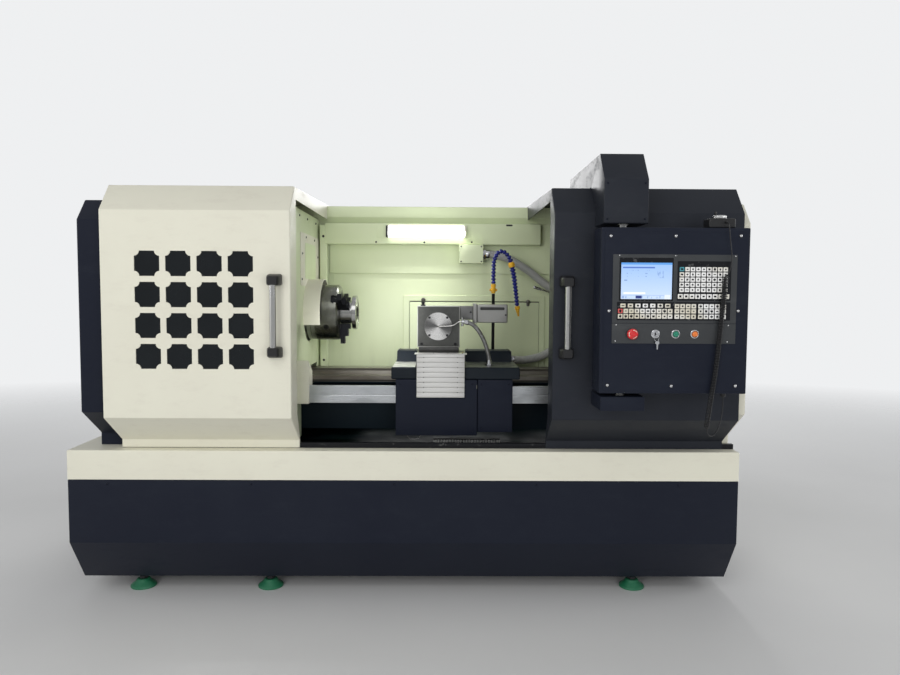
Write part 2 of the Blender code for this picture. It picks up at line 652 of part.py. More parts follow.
# Chuck: a slotted steel body, three stepped jaws and the turned ring that they hold
jaw_count = 3
jaw_half = 0.017
jaw_slot_half = jaw_half + gap
jaw_root = 0.030
jaw_grip = 0.0500 + gap
jaw_out = 0.142
jaw_front = -0.273
jaw_steps = ((0.075, -0.283), (0.108, -0.298))
master_span = (0.056, 0.120)
key_socket = 0.009
key_socket_deep = 0.025
chuck_edge = 0.004
chuck = turned("chuck_body", [(chuck_bore, chuck_x[1]), (chuck_radius - chuck_edge, chuck_x[1]),
                              (chuck_radius, chuck_x[1] - chuck_edge),
                              (chuck_radius, chuck_x[0] + chuck_edge),
                              (chuck_radius - chuck_edge, chuck_x[0]), (chuck_bore, chuck_x[0])],
               spindle_place, ALONG_X, 48, closed=True)
jaws = []
for number in range(jaw_count):
    angle = math.radians(270 - 360 * number / jaw_count)
    outward = Vector((0, math.cos(angle), math.sin(angle)))
    turn = Matrix.Translation(spindle_place) @ Matrix.Rotation(angle, 4, "X")
    slot = block("jaw_slot", (chuck_x[1] - jaw_root - gap, chuck_x[1] + overrun),
                 (master_span[0] - gap * 4, chuck_radius + overrun), (-jaw_slot_half, jaw_slot_half))
    slot.matrix_world = turn @ Matrix.Translation((0, -tray_front, 0)) @ slot.matrix_world
    cut(chuck, slot)
    key_angle = angle + math.pi / jaw_count
    toward = Vector((0, math.cos(key_angle), math.sin(key_angle)))
    cut(chuck, rod("key_socket", Vector((sum(chuck_x) / 2, *spindle_place[1:])) + toward * chuck_radius,
                   toward, key_socket, key_socket_deep * 2, 8))
    jaw_points = [(jaw_grip, chuck_x[1] + gap), (jaw_out, chuck_x[1] + gap), (jaw_out, jaw_steps[1][1]),
                  (jaw_steps[1][0], jaw_steps[1][1]), (jaw_steps[1][0], jaw_steps[0][1]),
                  (jaw_steps[0][0], jaw_steps[0][1]), (jaw_steps[0][0], jaw_front), (jaw_grip, jaw_front)]
    master = [(master_span[0], chuck_x[1] - jaw_root), (master_span[1], chuck_x[1] - jaw_root),
              (master_span[1], chuck_x[1] + gap), (jaw_out, chuck_x[1] + gap)]
    outline = [(jaw_grip, chuck_x[1] + gap), (master_span[0], chuck_x[1] + gap)] + master[:3] + jaw_points[1:]
    jaw = plate("chuck_jaw_%d" % (number + 1), [[(x, r) for r, x in outline][::-1]],
                (-jaw_half, jaw_half), "Z")
    # local x is along the spindle and local y is outward
    jaw.matrix_world = turn
    jaws.append(paint(jaw, (0.03, 0.03, 0.035), 0.35, 0.8))
paint(chuck, STEEL, 0.3, 1.0)

ring_radius = 0.0765
ring_bore = 0.030
ring_hub = 0.050
ring_x = (-0.262, -0.243)
ring = turned("setting_ring", [(ring_bore, ring_x[1]), (ring_radius, ring_x[1]), (ring_radius, ring_x[0]),
                               (ring_hub, ring_x[0]), (ring_hub, chuck_x[1] + gap),
                               (ring_bore, chuck_x[1] + gap)], spindle_place, ALONG_X, closed=True)
paint(ring, STEEL, 0.25, 1.0)

# Lead screw and its servo
lead_screw_left = end_box_x[1] + gap * 2
lead_screw = turned("lead_screw", [(0, screw_lug_x[1] - gap), (screw_journal, screw_lug_x[1] - gap),
                                   (screw_journal, screw_lug_x[0] - gap),
                                   (screw_radius, screw_lug_x[0] - gap), (screw_radius, lead_screw_left),
                                   (screw_journal, lead_screw_left),
                                   (screw_journal, end_box_x[0] + (end_box_x[1] - end_box_x[0]) / 2),
                                   (0, end_box_x[0] + (end_box_x[1] - end_box_x[0]) / 2)],
                    (0, back(screw_in), screw_high), ALONG_X, SMALL_ROUND)
paint(lead_screw, STEEL, 0.3, 1.0)

servo_long = 0.150
servo_half = 0.045
servo_edge = 0.008
z_servo = block("z_servo", (screw_lug_x[1] + gap, screw_lug_x[1] + gap + servo_long),
                (screw_in - servo_half, screw_in + servo_half),
                (screw_high - servo_half, screw_high + servo_half), round_edge=servo_edge)
paint(z_servo, BLACK, 0.5)

# Saddle: an H-shaped casting over the ways, with a dovetail for the cross slide
saddle_x = (-0.065, 0.470)
saddle_in = (0.170, 0.760)
saddle_top = 0.925
slide_x = (0.039, 0.241)
saddle_bottom = way_top + gap
slide_front_in = 0.160
slot_back_in = 0.212
dovetail_low_half = 0.052
dovetail_high_half = 0.065
dovetail_high = 0.016
slide_middle = sum(slide_x) / 2
rear_box_in = (0.420, 0.560)
rear_box_slope = 0.030
rear_box_top = 0.970
rear_box_left = (-0.057, slide_x[0] - slide_clear)
rear_box_right = (slide_x[1] + 0.010, 0.459)
saddle = block("saddle", saddle_x, saddle_in, (saddle_bottom, saddle_top), round_edge=0.004)
cut(saddle, way_groove(saddle_x),
    block("curtain_slot", (slide_x[0] - gap, slide_x[1] + gap), (saddle_in[0] - overrun, slot_back_in),
          (saddle_bottom - overrun, saddle_top + overrun)))


def dovetail(name, spread, in_span, low):
    """The dovetail ridge, or with a spread the groove that fits over it."""
    points = [(slide_middle - dovetail_low_half - spread, low),
              (slide_middle + dovetail_low_half + spread, low),
              (slide_middle + dovetail_high_half + spread, saddle_top + dovetail_high + spread),
              (slide_middle - dovetail_high_half - spread, saddle_top + dovetail_high + spread)]
    return plate(name, [points], in_span, "Y")


nut_x = (0.150, 0.230)
nut_half = 0.017
nut_low = 0.775
gland_in = 0.735
gland_high = 0.905
gland_long = 0.030
weld(saddle, dovetail("dovetail_ridge", 0.0, (slot_back_in, saddle_in[1] - overrun),
                      saddle_top - dovetail_high / 2))
for name, x_span in (("left_box", rear_box_left), ("right_box", rear_box_right)):
    weld(saddle, plate(name, [side_view([(rear_box_in[0], saddle_top - sheet),
                                         (rear_box_in[1], saddle_top - sheet),
                                         (rear_box_in[1], rear_box_top),
                                         (rear_box_in[0] + rear_box_slope, rear_box_top)])], x_span, "X"))
weld(saddle, block("nut_bracket", nut_x, (screw_in - nut_half, screw_in + nut_half),
                   (nut_low, saddle_bottom + sheet)),
     rod("cable_gland", (saddle_x[1], back(gland_in), gland_high), (1, 0, 0), conduit_radius * 0.98,
         gland_long * 2))
cut(saddle, rod("nut_bore", (sum(nut_x) / 2, back(screw_in), screw_high), (1, 0, 0), bore_for(screw_radius),
                nut_x[1] - nut_x[0] + overrun))
paint(saddle, (0.06, 0.065, 0.07), 0.45)

# Apron: a left and a right cover plate box below the saddle's front
apron_left_x = (-0.046, 0.293)
apron_right_x = (apron_left_x[1] + sheet, 0.440)
apron_left_z = (0.642, saddle_bottom - gap)
apron_right_z = (0.655, saddle_bottom - gap)
apron_front_in = slide_front_in
apron_back_in = cover_front_in - slide_clear
apron_step = 0.008
apron = block("apron_cover", apron_left_x, (apron_front_in, apron_back_in), apron_left_z)
weld(apron, block("apron_right", (apron_left_x[1] - sheet, apron_right_x[1]),
                  (apron_front_in + apron_step, apron_back_in), apron_right_z))
paint(apron, NAVY, 0.4)

# Slat curtain: linked aluminium slats that hang over the apron
slat_count = 8
slat_pitch = 0.0208
curtain_top = 0.9805
curtain_clear = 0.002
curtain_front_in = 0.150
slat_thick = 0.0055
slat_groove = 0.0025
slat_groove_high = 0.0030
first_slat = 0.0330 - slat_pitch
curtain_back = []
curtain_face = [(curtain_front_in, curtain_top)]
for number in range(slat_count):
    low = curtain_top - first_slat - slat_pitch * (number + 1)
    last = number == slat_count - 1
    curtain_face += [(curtain_front_in, low + slat_groove_high)]
    if not last:
        curtain_face += [(curtain_front_in + slat_groove, low + slat_groove_high / 2),
                         (curtain_front_in, low)]
curtain_low = curtain_face[-1][1]
curtain_outline = curtain_face + [(curtain_front_in + slat_thick, curtain_low),
                                  (curtain_front_in + slat_thick, curtain_top)]
curtain = plate("slat_curtain", [side_view(curtain_outline)],
                (slide_x[0] + curtain_clear, slide_x[1] - curtain_clear), "X")
paint(curtain, (0.75, 0.74, 0.72), 0.4, 0.6)

# Cross slide with the strip that clamps the curtain
slide_end_in = 0.540
slide_pad_end = 0.372
slide_top = 0.962
pad_top = 0.981
strip_over = 0.007
strip_in = (curtain_front_in - strip_over / 7, 0.205)
cross_slide = block("cross_slide", slide_x, (slide_front_in - gap * 10, slide_end_in),
                    (saddle_top + gap, slide_top))
weld(cross_slide, block("slide_pad", slide_x, (slide_front_in - gap * 10, slide_pad_end),
                        (slide_top - sheet, pad_top)))
cut(cross_slide, dovetail("dovetail_groove", run_clear, (slide_front_in - overrun, slide_end_in + overrun),
                          saddle_top - dovetail_high))
weld(cross_slide, block("curtain_strip", (slide_x[0] - strip_over, slide_x[1] + strip_over), strip_in,
                        (pad_top - gap / 2, pad_top + sheet)))
paint(cross_slide, (0.12, 0.12, 0.12), 0.5, 0.3)

# Tool turret: a cast housing with a turned cap, a worm motor at its side, and a four-station head behind
turret_x = (0.039, 0.221)
turret_in = (0.270, 0.372)
turret_z = (1.002, 1.178)
turret_base_x = (0.045, 0.217)
turret_base_in = (0.262, slide_pad_end)
cap_radius = 0.060
cap_thick = 0.004
head_middle = (0.129, 1.091)
socket_radius = 0.007
socket_inset = 0.019
turret = block("turret_housing", turret_x, turret_in, turret_z, round_edge=0.003)
weld(turret, block("turret_base", turret_base_x, turret_base_in, (pad_top + gap, turret_z[0] + sheet)),
     rod("turret_cap", (head_middle[0], back(turret_in[0]), head_middle[1]), (0, 1, 0), cap_radius,
         cap_thick * 2, ROUND))
for socket_x in (turret_x[0] + socket_inset, turret_x[1] - socket_inset):
    cut(turret, rod("turret_socket",
                    (socket_x, back(turret_in[0]), turret_z[0] + socket_inset / 2 + socket_radius / 2),
                    (0, 1, 0), socket_radius, overrun, TINY_ROUND))
strip_gap = block("strip_room", (slide_x[0] - strip_over * 2, slide_x[1] + strip_over * 2),
                  (strip_in[0], strip_in[1] + gap), (pad_top - sheet, pad_top + sheet + gap))
cut(turret, strip_gap)
paint(turret, (0.33, 0.33, 0.32), 0.45, 0.5)

neck_x = (turret_x[1] + gap, 0.280)
neck_in = (0.285, 0.352)
neck_z = (1.120, 1.178)
flange_x = (neck_x[1] - sheet, 0.294)
motor_case_x = (flange_x[1] - sheet, 0.426)
motor_case_in = (0.280, 0.360)
motor_case_z = (1.107, 1.185)
slot_margin = 0.012
slot_window_z = (1.168, 1.174)
turret_motor = block("turret_motor", motor_case_x, motor_case_in, motor_case_z, round_edge=0.003)
weld(turret_motor, block("motor_neck", neck_x, neck_in, neck_z),
     block("motor_flange", flange_x, (motor_case_in[0] - sheet, motor_case_in[1] + sheet),
           (motor_case_z[0] - sheet, motor_case_z[1] + sheet)))
cut(turret_motor, block("motor_window", (motor_case_x[0] + slot_margin, motor_case_x[1] - slot_margin),
                        (motor_case_in[0] - overrun, motor_case_in[0] + sheet), slot_window_z))
paint(turret_motor, (0.45, 0.45, 0.43), 0.4, 0.6)

head_half = 0.085
head_corner = 0.012
head_in = (turret_in[1] + gap, 0.445)
tool_slot_in = (0.395, 0.421)
tool_slot_floor = 0.057
corner_square = [(1, 0), (0, 1), (-1, 0), (0, -1)]
head_points = []
for side in range(4):
    a, b = corner_square[side], corner_square[(side + 1) % 4]
    for first, second in ((head_half, head_half - head_corner), (head_half - head_corner, head_half)):
        head_points.append((head_middle[0] + a[0] * first + b[0] * second,
                            head_middle[1] + a[1] * first + b[1] * second))
tool_head = plate("tool_head", [head_points], head_in, "Y")
for side in range(4):
    across, up = corner_square[side]
    far = head_half + overrun
    x_span = sorted((across * tool_slot_floor, across * far)) if across else (-far, far)
    z_span = sorted((up * tool_slot_floor, up * far)) if up else (-far, far)
    cut(tool_head, block("tool_slot", [head_middle[0] + x for x in x_span], tool_slot_in,
                         [head_middle[1] + z for z in z_span]))
paint(tool_head, (0.10, 0.10, 0.10), 0.4, 0.7)

# Coolant pole with its nozzle hose of ball links
pole_x = 0.3854
pole_in = 0.600
pole_radius = 0.0075
pole_foot = 0.022
pole_foot_high = 0.010
pole_top = 1.2335
fitting_radius = 0.012
fitting_top = 1.2768
pole_place = (pole_x, back(pole_in), 0)
hose_pole = turned("coolant_pole", [(0, fitting_top), (fitting_radius, fitting_top),
                                    (fitting_radius, pole_top), (pole_radius, pole_top),
                                    (pole_radius, saddle_top + gap + pole_foot_high),
                                    (pole_foot, saddle_top + gap + pole_foot_high),
                                    (pole_foot, saddle_top + gap), (0, saddle_top + gap)], pole_place,
                   ALONG_Z, TINY_ROUND)
paint(hose_pole, BLACK, 0.5)

link_pitch = 0.0145
link_big = 0.0115
link_small = 0.0085
nozzle_tip = 0.0035
links = 31
hose_route = [Vector((x, back(d), z)) for x, d, z in (
    (pole_x, pole_in, fitting_top + gap), (pole_x, pole_in, 1.300), (pole_x, pole_in, 1.330),
    (0.3885, 0.599, 1.385), (0.408, 0.597, 1.424), (0.436, 0.595, 1.424), (0.461, 0.593, 1.392),
    (0.479, 0.590, 1.320), (0.490, 0.588, 1.240), (0.498, 0.586, 1.165), (0.503, 0.585, 1.125))]
hose_points = smooth_route(hose_route, links * 2)
hose_radii = [link_big if number % 2 == 0 else link_small for number in range(links * 2)]
hose_radii[-3:] = [link_small, link_small * 0.8, nozzle_tip]
link_hose = tube("link_hose", hose_points, hose_radii, 1)
paint(link_hose, (0.02, 0.03, 0.25), 0.35)

# Conduits: one along the wall, one looped to the saddle, and the coolant hose to the turret
junction_middle = 1.420
wall_conduit_route = [Vector((x, back(conduit_in), z)) for x, z in (
    (junction_x[1] + gap, junction_middle), (0.370, junction_middle), (0.400, junction_middle),
    (0.470, 1.400), (0.560, 1.348), (0.640, 1.285), (0.710, 1.235), (0.748, 1.195),
    (clamp_x, 1.165), (clamp_x, 1.148), (clamp_x, clamp_z[1] + gap))]
wall_conduit = tube("wall_conduit", smooth_route(wall_conduit_route, 20), conduit_radius)
paint(wall_conduit, (0.35, 0.36, 0.36), 0.6)

saddle_conduit_route = [Vector((x, back(d), z)) for x, d, z in (
    (clamp_x, conduit_in, clamp_z[0] - gap), (clamp_x, conduit_in, 1.082), (clamp_x, conduit_in, 1.060),
    (0.745, 0.749, 1.010), (0.700, 0.746, 0.962), (0.635, 0.741, 0.925), (0.570, 0.737, 0.908),
    (0.540, gland_in, gland_high), (0.520, gland_in, gland_high),
    (saddle_x[1] + gland_long + gap, gland_in, gland_high))]
saddle_conduit = tube("saddle_conduit", smooth_route(saddle_conduit_route, 20), conduit_radius)
paint(saddle_conduit, (0.35, 0.36, 0.36), 0.6)

coolant_radius = 0.0065
coolant_route = [Vector((x, back(d), z)) for x, d, z in (
    (0.345, 0.250, saddle_top + gap), (0.345, 0.250, 0.940), (0.345, 0.250, 0.955), (0.332, 0.249, 1.010),
    (0.308, 0.247, 1.062), (0.278, 0.246, 1.098), (0.245, 0.246, 1.111), (0.215, 0.248, 1.111),
    (0.199, 0.251, 1.100), (0.180, 0.252, 1.094), (0.150, 0.252, 1.092), (0.133, 0.253, head_middle[1]),
    (head_middle[0], 0.258, head_middle[1]), (head_middle[0], 0.262, head_middle[1]),
    (head_middle[0], turret_in[0] - cap_thick - gap, head_middle[1]))]
coolant_radii = [coolant_radius] * 15 + [coolant_radius * 1.2] * 2 + [coolant_radius * 0.45] * 9
coolant_hose = tube("coolant_hose", smooth_route(coolant_route, 26), coolant_radii)
paint(coolant_hose, (0.6, 0.6, 0.6), 0.35, 0.8)

# Tailstock with its quill, live centre and handwheel
tail_inset = 0.100  # from the bed's right end
tail_long = 0.240
tail_x = (bed_x[1] - tail_inset - tail_long, bed_x[1] - tail_inset)
tail_in = (0.320, 0.680)
tail_foot_top = 0.965
tail_web_half = 0.055
barrel_radius = 0.068
barrel_over = 0.015
barrel_left = tail_x[0] - barrel_over
quill_radius = 0.034
centre_reach = 0.100
centre_tip = tail_x[0] - centre_reach
centre_base = 0.020
centre_root = centre_tip + centre_base * math.sqrt(3)
quill_reach = 0.045
quill_front = tail_x[0] - quill_reach
quill_right = tail_x[1] - gap
wheel_off = 0.022
wheel_thick = 0.018
wheel_x = (tail_x[1] + wheel_off, tail_x[1] + wheel_off + wheel_thick)
wheel_radius = 0.095
wheel_hub = 0.028
wheel_hub_over = 0.025
wheel_hub_right = wheel_x[1] + wheel_hub_over
rim_wide = 0.010
tail_place = (0, back(spindle_in), spindle_high)
web_turn = math.degrees(math.acos(tail_web_half / barrel_radius))
tailstock = plate("tailstock", [side_view([(tail_in[0], saddle_bottom), (tail_in[1], saddle_bottom),
                                           (tail_in[1], way_top + way_lip),
                                           (spindle_in + tail_web_half, tail_foot_top),
                                           *arc((spindle_in, spindle_high), barrel_radius, -web_turn,
                                                180 + web_turn, 13),
                                           (spindle_in - tail_web_half, tail_foot_top),
                                           (tail_in[0], way_top + way_lip)])], tail_x, "X")
weld(tailstock, rod("barrel_nose",
                    ((barrel_left + tail_x[0]) / 2 + sheet, back(spindle_in), spindle_high), (1, 0, 0),
                    barrel_radius * 0.85, tail_x[0] - barrel_left + sheet * 2, ROUND))
cut(tailstock, way_groove(tail_x), rod("quill_bore", (sum(tail_x) / 2, back(spindle_in), spindle_high),
                                       (1, 0, 0), bore_for(quill_radius, ROUND),
                                       (tail_x[1] - barrel_left) * 1.5, ROUND))
paint(tailstock, CREAM, 0.5)

quill = turned("quill", [(0, quill_right), (quill_radius, quill_right), (quill_radius, quill_front),
                         (centre_base, quill_front), (centre_base, centre_root), (0, centre_tip)],
               tail_place, ALONG_X)
paint(quill, STEEL, 0.25, 1.0)

wheel_grip = 0.012
wheel_grip_long = 0.060
handwheel = turned("tail_handwheel", [(0, wheel_hub_right), (wheel_hub, wheel_hub_right),
                                      (wheel_hub, wheel_x[1]),
                                      (wheel_radius - rim_wide, wheel_x[1] - rim_wide / 2),
                                      (wheel_radius - rim_wide, wheel_x[1] + rim_wide / 2),
                                      (wheel_radius, wheel_x[1] + rim_wide / 2),
                                      (wheel_radius, wheel_x[0]), (wheel_radius - rim_wide, wheel_x[0]),
                                      (wheel_hub, wheel_x[0] + rim_wide / 2),
                                      (wheel_hub, tail_x[1] + gap), (0, tail_x[1] + gap)], tail_place,
                   ALONG_X)
weld(handwheel, rod("wheel_grip", (wheel_x[1] + wheel_grip_long / 2,
                                   back(spindle_in - wheel_radius + rim_wide * 2), spindle_high),
                    (1, 0, 0), wheel_grip, wheel_grip_long, TINY_ROUND, wheel_grip * 0.75))
paint(handwheel, STEEL, 0.3, 1.0)

# Hoods: folded sheet with a face, a roof to the rear wall and a flange at the inner edge
hood_front = -0.104
hood_face_z = (0.757, 1.537)
hood_top = (-0.0155, 1.639)
hood_over_channel = (0.006, 0.008)
hood_roof_back = (channel_in[1] + hood_over_channel[0], channel_z[2] + hood_over_channel[1])
hood_foot_in = 0.052
hood_foot_top = 0.645
hood_low = rim_top + gap * 8
hood_lip = 0.040
hood_flange = 0.110
roof_flange = 0.048
left_hood_x = (-1.129, -0.422)
right_hood_x = (0.563, 1.2745)
rail_in = (hood_foot_in + sheet + gap * 4, 0.0763)
rail_top = 0.6313
shoe_long = 0.060
rear_shoe_in = (0.790, 0.820)
hood_outline = [(hood_foot_in, hood_low), (hood_roof_back[0], hood_low), hood_roof_back, hood_top,
                (hood_front, hood_face_z[1]), (hood_front, hood_face_z[0]), (hood_foot_in, hood_foot_top)]
hood_room = inset(hood_outline, sheet)
hood_mouth = [(a, b - overrun * (number < 2)) for number, (a, b) in enumerate(hood_room)]
hood_mouth[1] = (hood_mouth[1][0] + overrun, hood_mouth[1][1])
hood_mouth[2] = (hood_mouth[1][0], hood_mouth[2][1] + overrun * (hood_roof_back[1] - hood_top[1])
                 / (hood_roof_back[0] - hood_top[0]))


def hood(name, x_span, inner_side):
    """A hood whose inner edge is at its right (1) or left (-1): sheet, edge flange, shoes and rear lip."""
    low, high = x_span
    shell = plate(name, [side_view(hood_outline)], x_span, "X")
    room_span = (low - overrun, high - sheet) if inner_side > 0 else (low + sheet, high + overrun)
    cut(shell, plate("hood_room", [side_view(hood_mouth)], room_span, "X"))
    mouth = [(hood_front + hood_flange, hood_low - overrun),
             (hood_roof_back[0] + overrun, hood_low - overrun),
             (hood_roof_back[0] + overrun, hood_top[1] - roof_flange),
             (hood_front + hood_flange, hood_top[1] - roof_flange)]
    edge = (high - overrun, high + overrun) if inner_side > 0 else (low - overrun, low + overrun)
    cut(shell, plate("hood_mouth", [side_view(mouth)], edge, "X"))
    rear_mouth = block("rear_mouth", edge, (channel_in[0] - sheet * 2, hood_roof_back[0] + overrun),
                       (hood_top[1] - roof_flange - overrun, channel_z[2] + gap))
    cut(shell, rear_mouth)
    for start in (low + shoe_long / 2, high - shoe_long * 1.5):
        weld(shell, block("rail_shoe", (start, start + shoe_long), (hood_foot_in + sheet / 2, rail_in[1]),
                          (rail_top + gap, hood_foot_top - sheet)))
        weld(shell, block("rear_shoe", (start, start + shoe_long), rear_shoe_in,
                          (channel_z[2] + gap, hood_roof_back[1] - sheet * 1.2)))
    weld(shell, block("rear_lip", x_span, (hood_roof_back[0] - sheet, hood_roof_back[0]),
                      (hood_roof_back[1] - hood_lip, hood_roof_back[1] - sheet / 2)))
    return shell


left_hood = hood("left_hood", left_hood_x, 1)
window_size = 0.094
window_pitch = 0.116
window_grid = 4
window_left = -1.003
window_top = 1.386
notch_share = 0.2
notch_steps = 4
for row in range(window_grid):
    for column in range(window_grid):
        middle = (window_left + window_size / 2 + window_pitch * column,
                  window_top - window_size / 2 - window_pitch * row)
        half = window_size / 2
        notch = window_size * notch_share
        points = []
        for a, b, first in ((1, 1, 270), (-1, 1, 0), (-1, -1, 90), (1, -1, 180)):
            centre = (middle[0] + a * half, middle[1] + b * half)
            points += arc(centre, notch, first, first - 90, notch_steps)
        cut(left_hood, plate("window", [points], (hood_front - overrun, hood_front + sheet * 2), "Y"))
paint(left_hood, CREAM, 0.45)

glass_margin = 0.012
glass_thick = 0.005
glass_x = (window_left - glass_margin, window_left + window_pitch * 3 + window_size + glass_margin)
glass_z = (window_top - window_pitch * 3 - window_size - glass_margin, window_top + glass_margin)
window_pane = block("window_pane", glass_x,
                    (hood_front + sheet + gap, hood_front + sheet + gap + glass_thick), glass_z)
paint(window_pane, (0.01, 0.012, 0.014), 0.1)

right_hood = hood("right_hood", right_hood_x, -1)
bracket_x = (0.711, 0.869)
bracket_z = (0.818, 0.870)
bracket_step = 0.020
button_reach = 0.030  # from the control box's face to the emergency stop's
box_deep = 0.125
box_front = -(front_reach - button_reach)
box_back = box_front + box_deep
bracket_front = box_front + bracket_step
weld(right_hood, block("box_bracket", bracket_x, (bracket_front, hood_front + sheet / 2), bracket_z))

door_rail_x = (end_cover_right, right_cover_x[1])
door_rails = block("door_rail", door_rail_x, rail_in, (rim_top + gap, rail_top))
paint(door_rails, STEEL, 0.3, 1.0)

# Handles: black end brackets with a double tube between them
handle_left_x = (-0.506, -0.451)
handle_right_x = (0.584, 0.639)
handle_z = (0.987, 1.303)
handle_end = 0.042
handle_reach = 0.060
handle_tube = 0.009
handle_tube_share = 0.27


def handle(name, x_span):
    """Two end brackets on the hood's face, carrying a pair of tubes."""
    out = hood_front - handle_reach
    seat = hood_front - gap
    brackets = None
    for z_span in ((handle_z[0], handle_z[0] + handle_end), (handle_z[1] - handle_end, handle_z[1])):
        bracket = block(name, x_span, (out, seat), z_span, round_edge=0.005)
        brackets = weld(brackets, bracket) if brackets else bracket
    width = x_span[1] - x_span[0]
    for share in (handle_tube_share, 1 - handle_tube_share):
        middle = Vector((x_span[0] + width * share, back(out + width * 0.35), sum(handle_z) / 2))
        weld(brackets, rod("handle_tube", middle, (0, 0, 1), handle_tube,
                           handle_z[1] - handle_z[0] - handle_end, TINY_ROUND))
    return paint(brackets, BLACK, 0.4)


left_handle = handle("left_handle", handle_left_x)
right_handle = handle("right_handle", handle_right_x)

# Cable duct over the right hood
duct_x = (0.715, 0.873)
duct_step = 0.040
duct_front = box_front + duct_step
duct_low = 1.484
duct_shoulder = 1.640
duct_slope_deep = 0.080
duct_slope_in = duct_front + duct_slope_deep
duct_top = 1.742
duct_back = 0.450
duct_end = 0.505
roof_slope = (hood_roof_back[1] - hood_top[1]) / (hood_roof_back[0] - hood_top[0])
seat = inset(hood_outline, sheet / 2)
roof_at_end = seat[3][1] + roof_slope * (duct_end - seat[3][0])
weld(right_hood, plate("cable_duct", [side_view([
    (duct_front, duct_low), (seat[4][0], duct_low), seat[4], seat[3], (duct_end, roof_at_end),
    (duct_back, duct_top), (duct_slope_in, duct_top), (duct_front, duct_shoulder)])], duct_x, "X"))
paint(right_hood, NAVY, 0.4)

# Control box on two swivel pins between the duct and the lower bracket
box_x = (0.700, 1.222)
box_z = (0.884, 1.468)
pin_x = 0.790
pin_inset = 0.068
pin_in = box_front + pin_inset
pin_radius = 0.014
box_edge = 0.006
gland_x = 1.160
box_gland_inset = 0.050
box_gland_in = box_front + box_gland_inset
box_gland_radius = 0.009
box_gland_low = 0.866
control_box = block("control_box", box_x, (box_front, box_back), box_z, round_edge=box_edge)
weld(control_box, rod("swivel_pins", (pin_x, back(pin_in), (bracket_z[1] + duct_low) / 2), (0, 0, 1),
                      pin_radius, duct_low - bracket_z[1] - gap * 2, TINY_ROUND),
     rod("box_gland", (gland_x, back(box_gland_in), (box_gland_low + box_z[0] + box_edge) / 2), (0, 0, 1),
         box_gland_radius, box_z[0] + box_edge - box_gland_low, TINY_ROUND))
paint(control_box, NAVY, 0.4)

panel_plate_x = (0.741, 1.177)
panel_plate_z = (1.062, 1.374)
panel_thick = 0.002
screen_x = (0.773, 0.954)
screen_z = (1.219, 1.347)
screen_thick = 0.0015
panel_face = box_front - gap - panel_thick
operator_panel = block("operator_panel", panel_plate_x, (panel_face, box_front - gap), panel_plate_z)
screen = block("screen", screen_x, (panel_face - gap - screen_thick, panel_face - gap), screen_z)
paint(screen, (0.25, 0.42, 0.75), 0.15)

button_z = 1.096
estop_x = 0.810
key_x = 0.894
start_x = 0.965
hold_x = 1.032
collar_radius = 0.0145
collar_high = 0.005
button_travel = 0.004
estop_travel = 0.004
estop_radius = 0.019
button_radius = 0.011
switch_radius = 0.011
for x in (estop_x, key_x, start_x, hold_x):
    weld(operator_panel, rod("collar", (x, back(panel_face - (collar_high - panel_thick) / 2), button_z),
                             (0, 1, 0), collar_radius, collar_high + panel_thick / 2, SMALL_ROUND))
collar_face = panel_face - collar_high + panel_thick / 4
FORWARD = Matrix.Rotation(math.radians(90), 4, "X")  # local z -> -Y
for x, radius in ((estop_x, estop_radius / 2), (start_x, button_radius), (hold_x, button_radius)):
    cut(operator_panel, rod("button_bore", (x, back(collar_face), button_z), (0, 1, 0),
                            bore_for(radius, SMALL_ROUND), button_travel * 3, SMALL_ROUND))


def button(name, x, radius, reach, head_radius, travel, colour):
    """A push button: a stem in its collar and a domed head in front of it."""
    bore_end = button_travel * 1.5
    start = -bore_end + travel + gap * 2
    profile = [(0, reach), (head_radius * 0.75, reach), (head_radius, reach * 0.82),
               (head_radius, travel + gap * 2), (radius, travel + gap * 2), (radius, start), (0, start)]
    if head_radius == radius:
        profile = [(0, reach), (radius * 0.8, reach), (radius, reach * 0.85), (radius, start), (0, start)]
    obj = turned(name, profile, (x, back(collar_face), button_z), FORWARD, SMALL_ROUND)
    return paint(obj, colour, 0.35)


estop_reach = front_reach + collar_face
estop = button("emergency_stop", estop_x, estop_radius / 2, estop_reach, estop_radius, estop_travel,
               (0.55, 0.01, 0.01))
start_button = button("start_button", start_x, button_radius, button_travel * 1.6, button_radius,
                      button_travel, (0.02, 0.35, 0.10))
hold_button = button("hold_button", hold_x, button_radius, button_travel * 1.6, button_radius,
                     button_travel, (0.85, 0.25, 0.01))
switch_high = 0.004
bow_high = 0.0045
bow_half = 0.0035
key_switch = turned("key_switch",
                    [(0, switch_high), (switch_radius, switch_high), (switch_radius, gap), (0, gap)],
                    (key_x, back(collar_face), button_z), FORWARD, SMALL_ROUND)
weld(key_switch, block("key_bow", (key_x - bow_half / 3, key_x + bow_half / 3),
                       (collar_face - switch_high - bow_high, collar_face - switch_high / 2),
                       (button_z - switch_radius * 0.8, button_z + switch_radius * 0.8)))
paint(key_switch, STEEL, 0.3, 1.0)

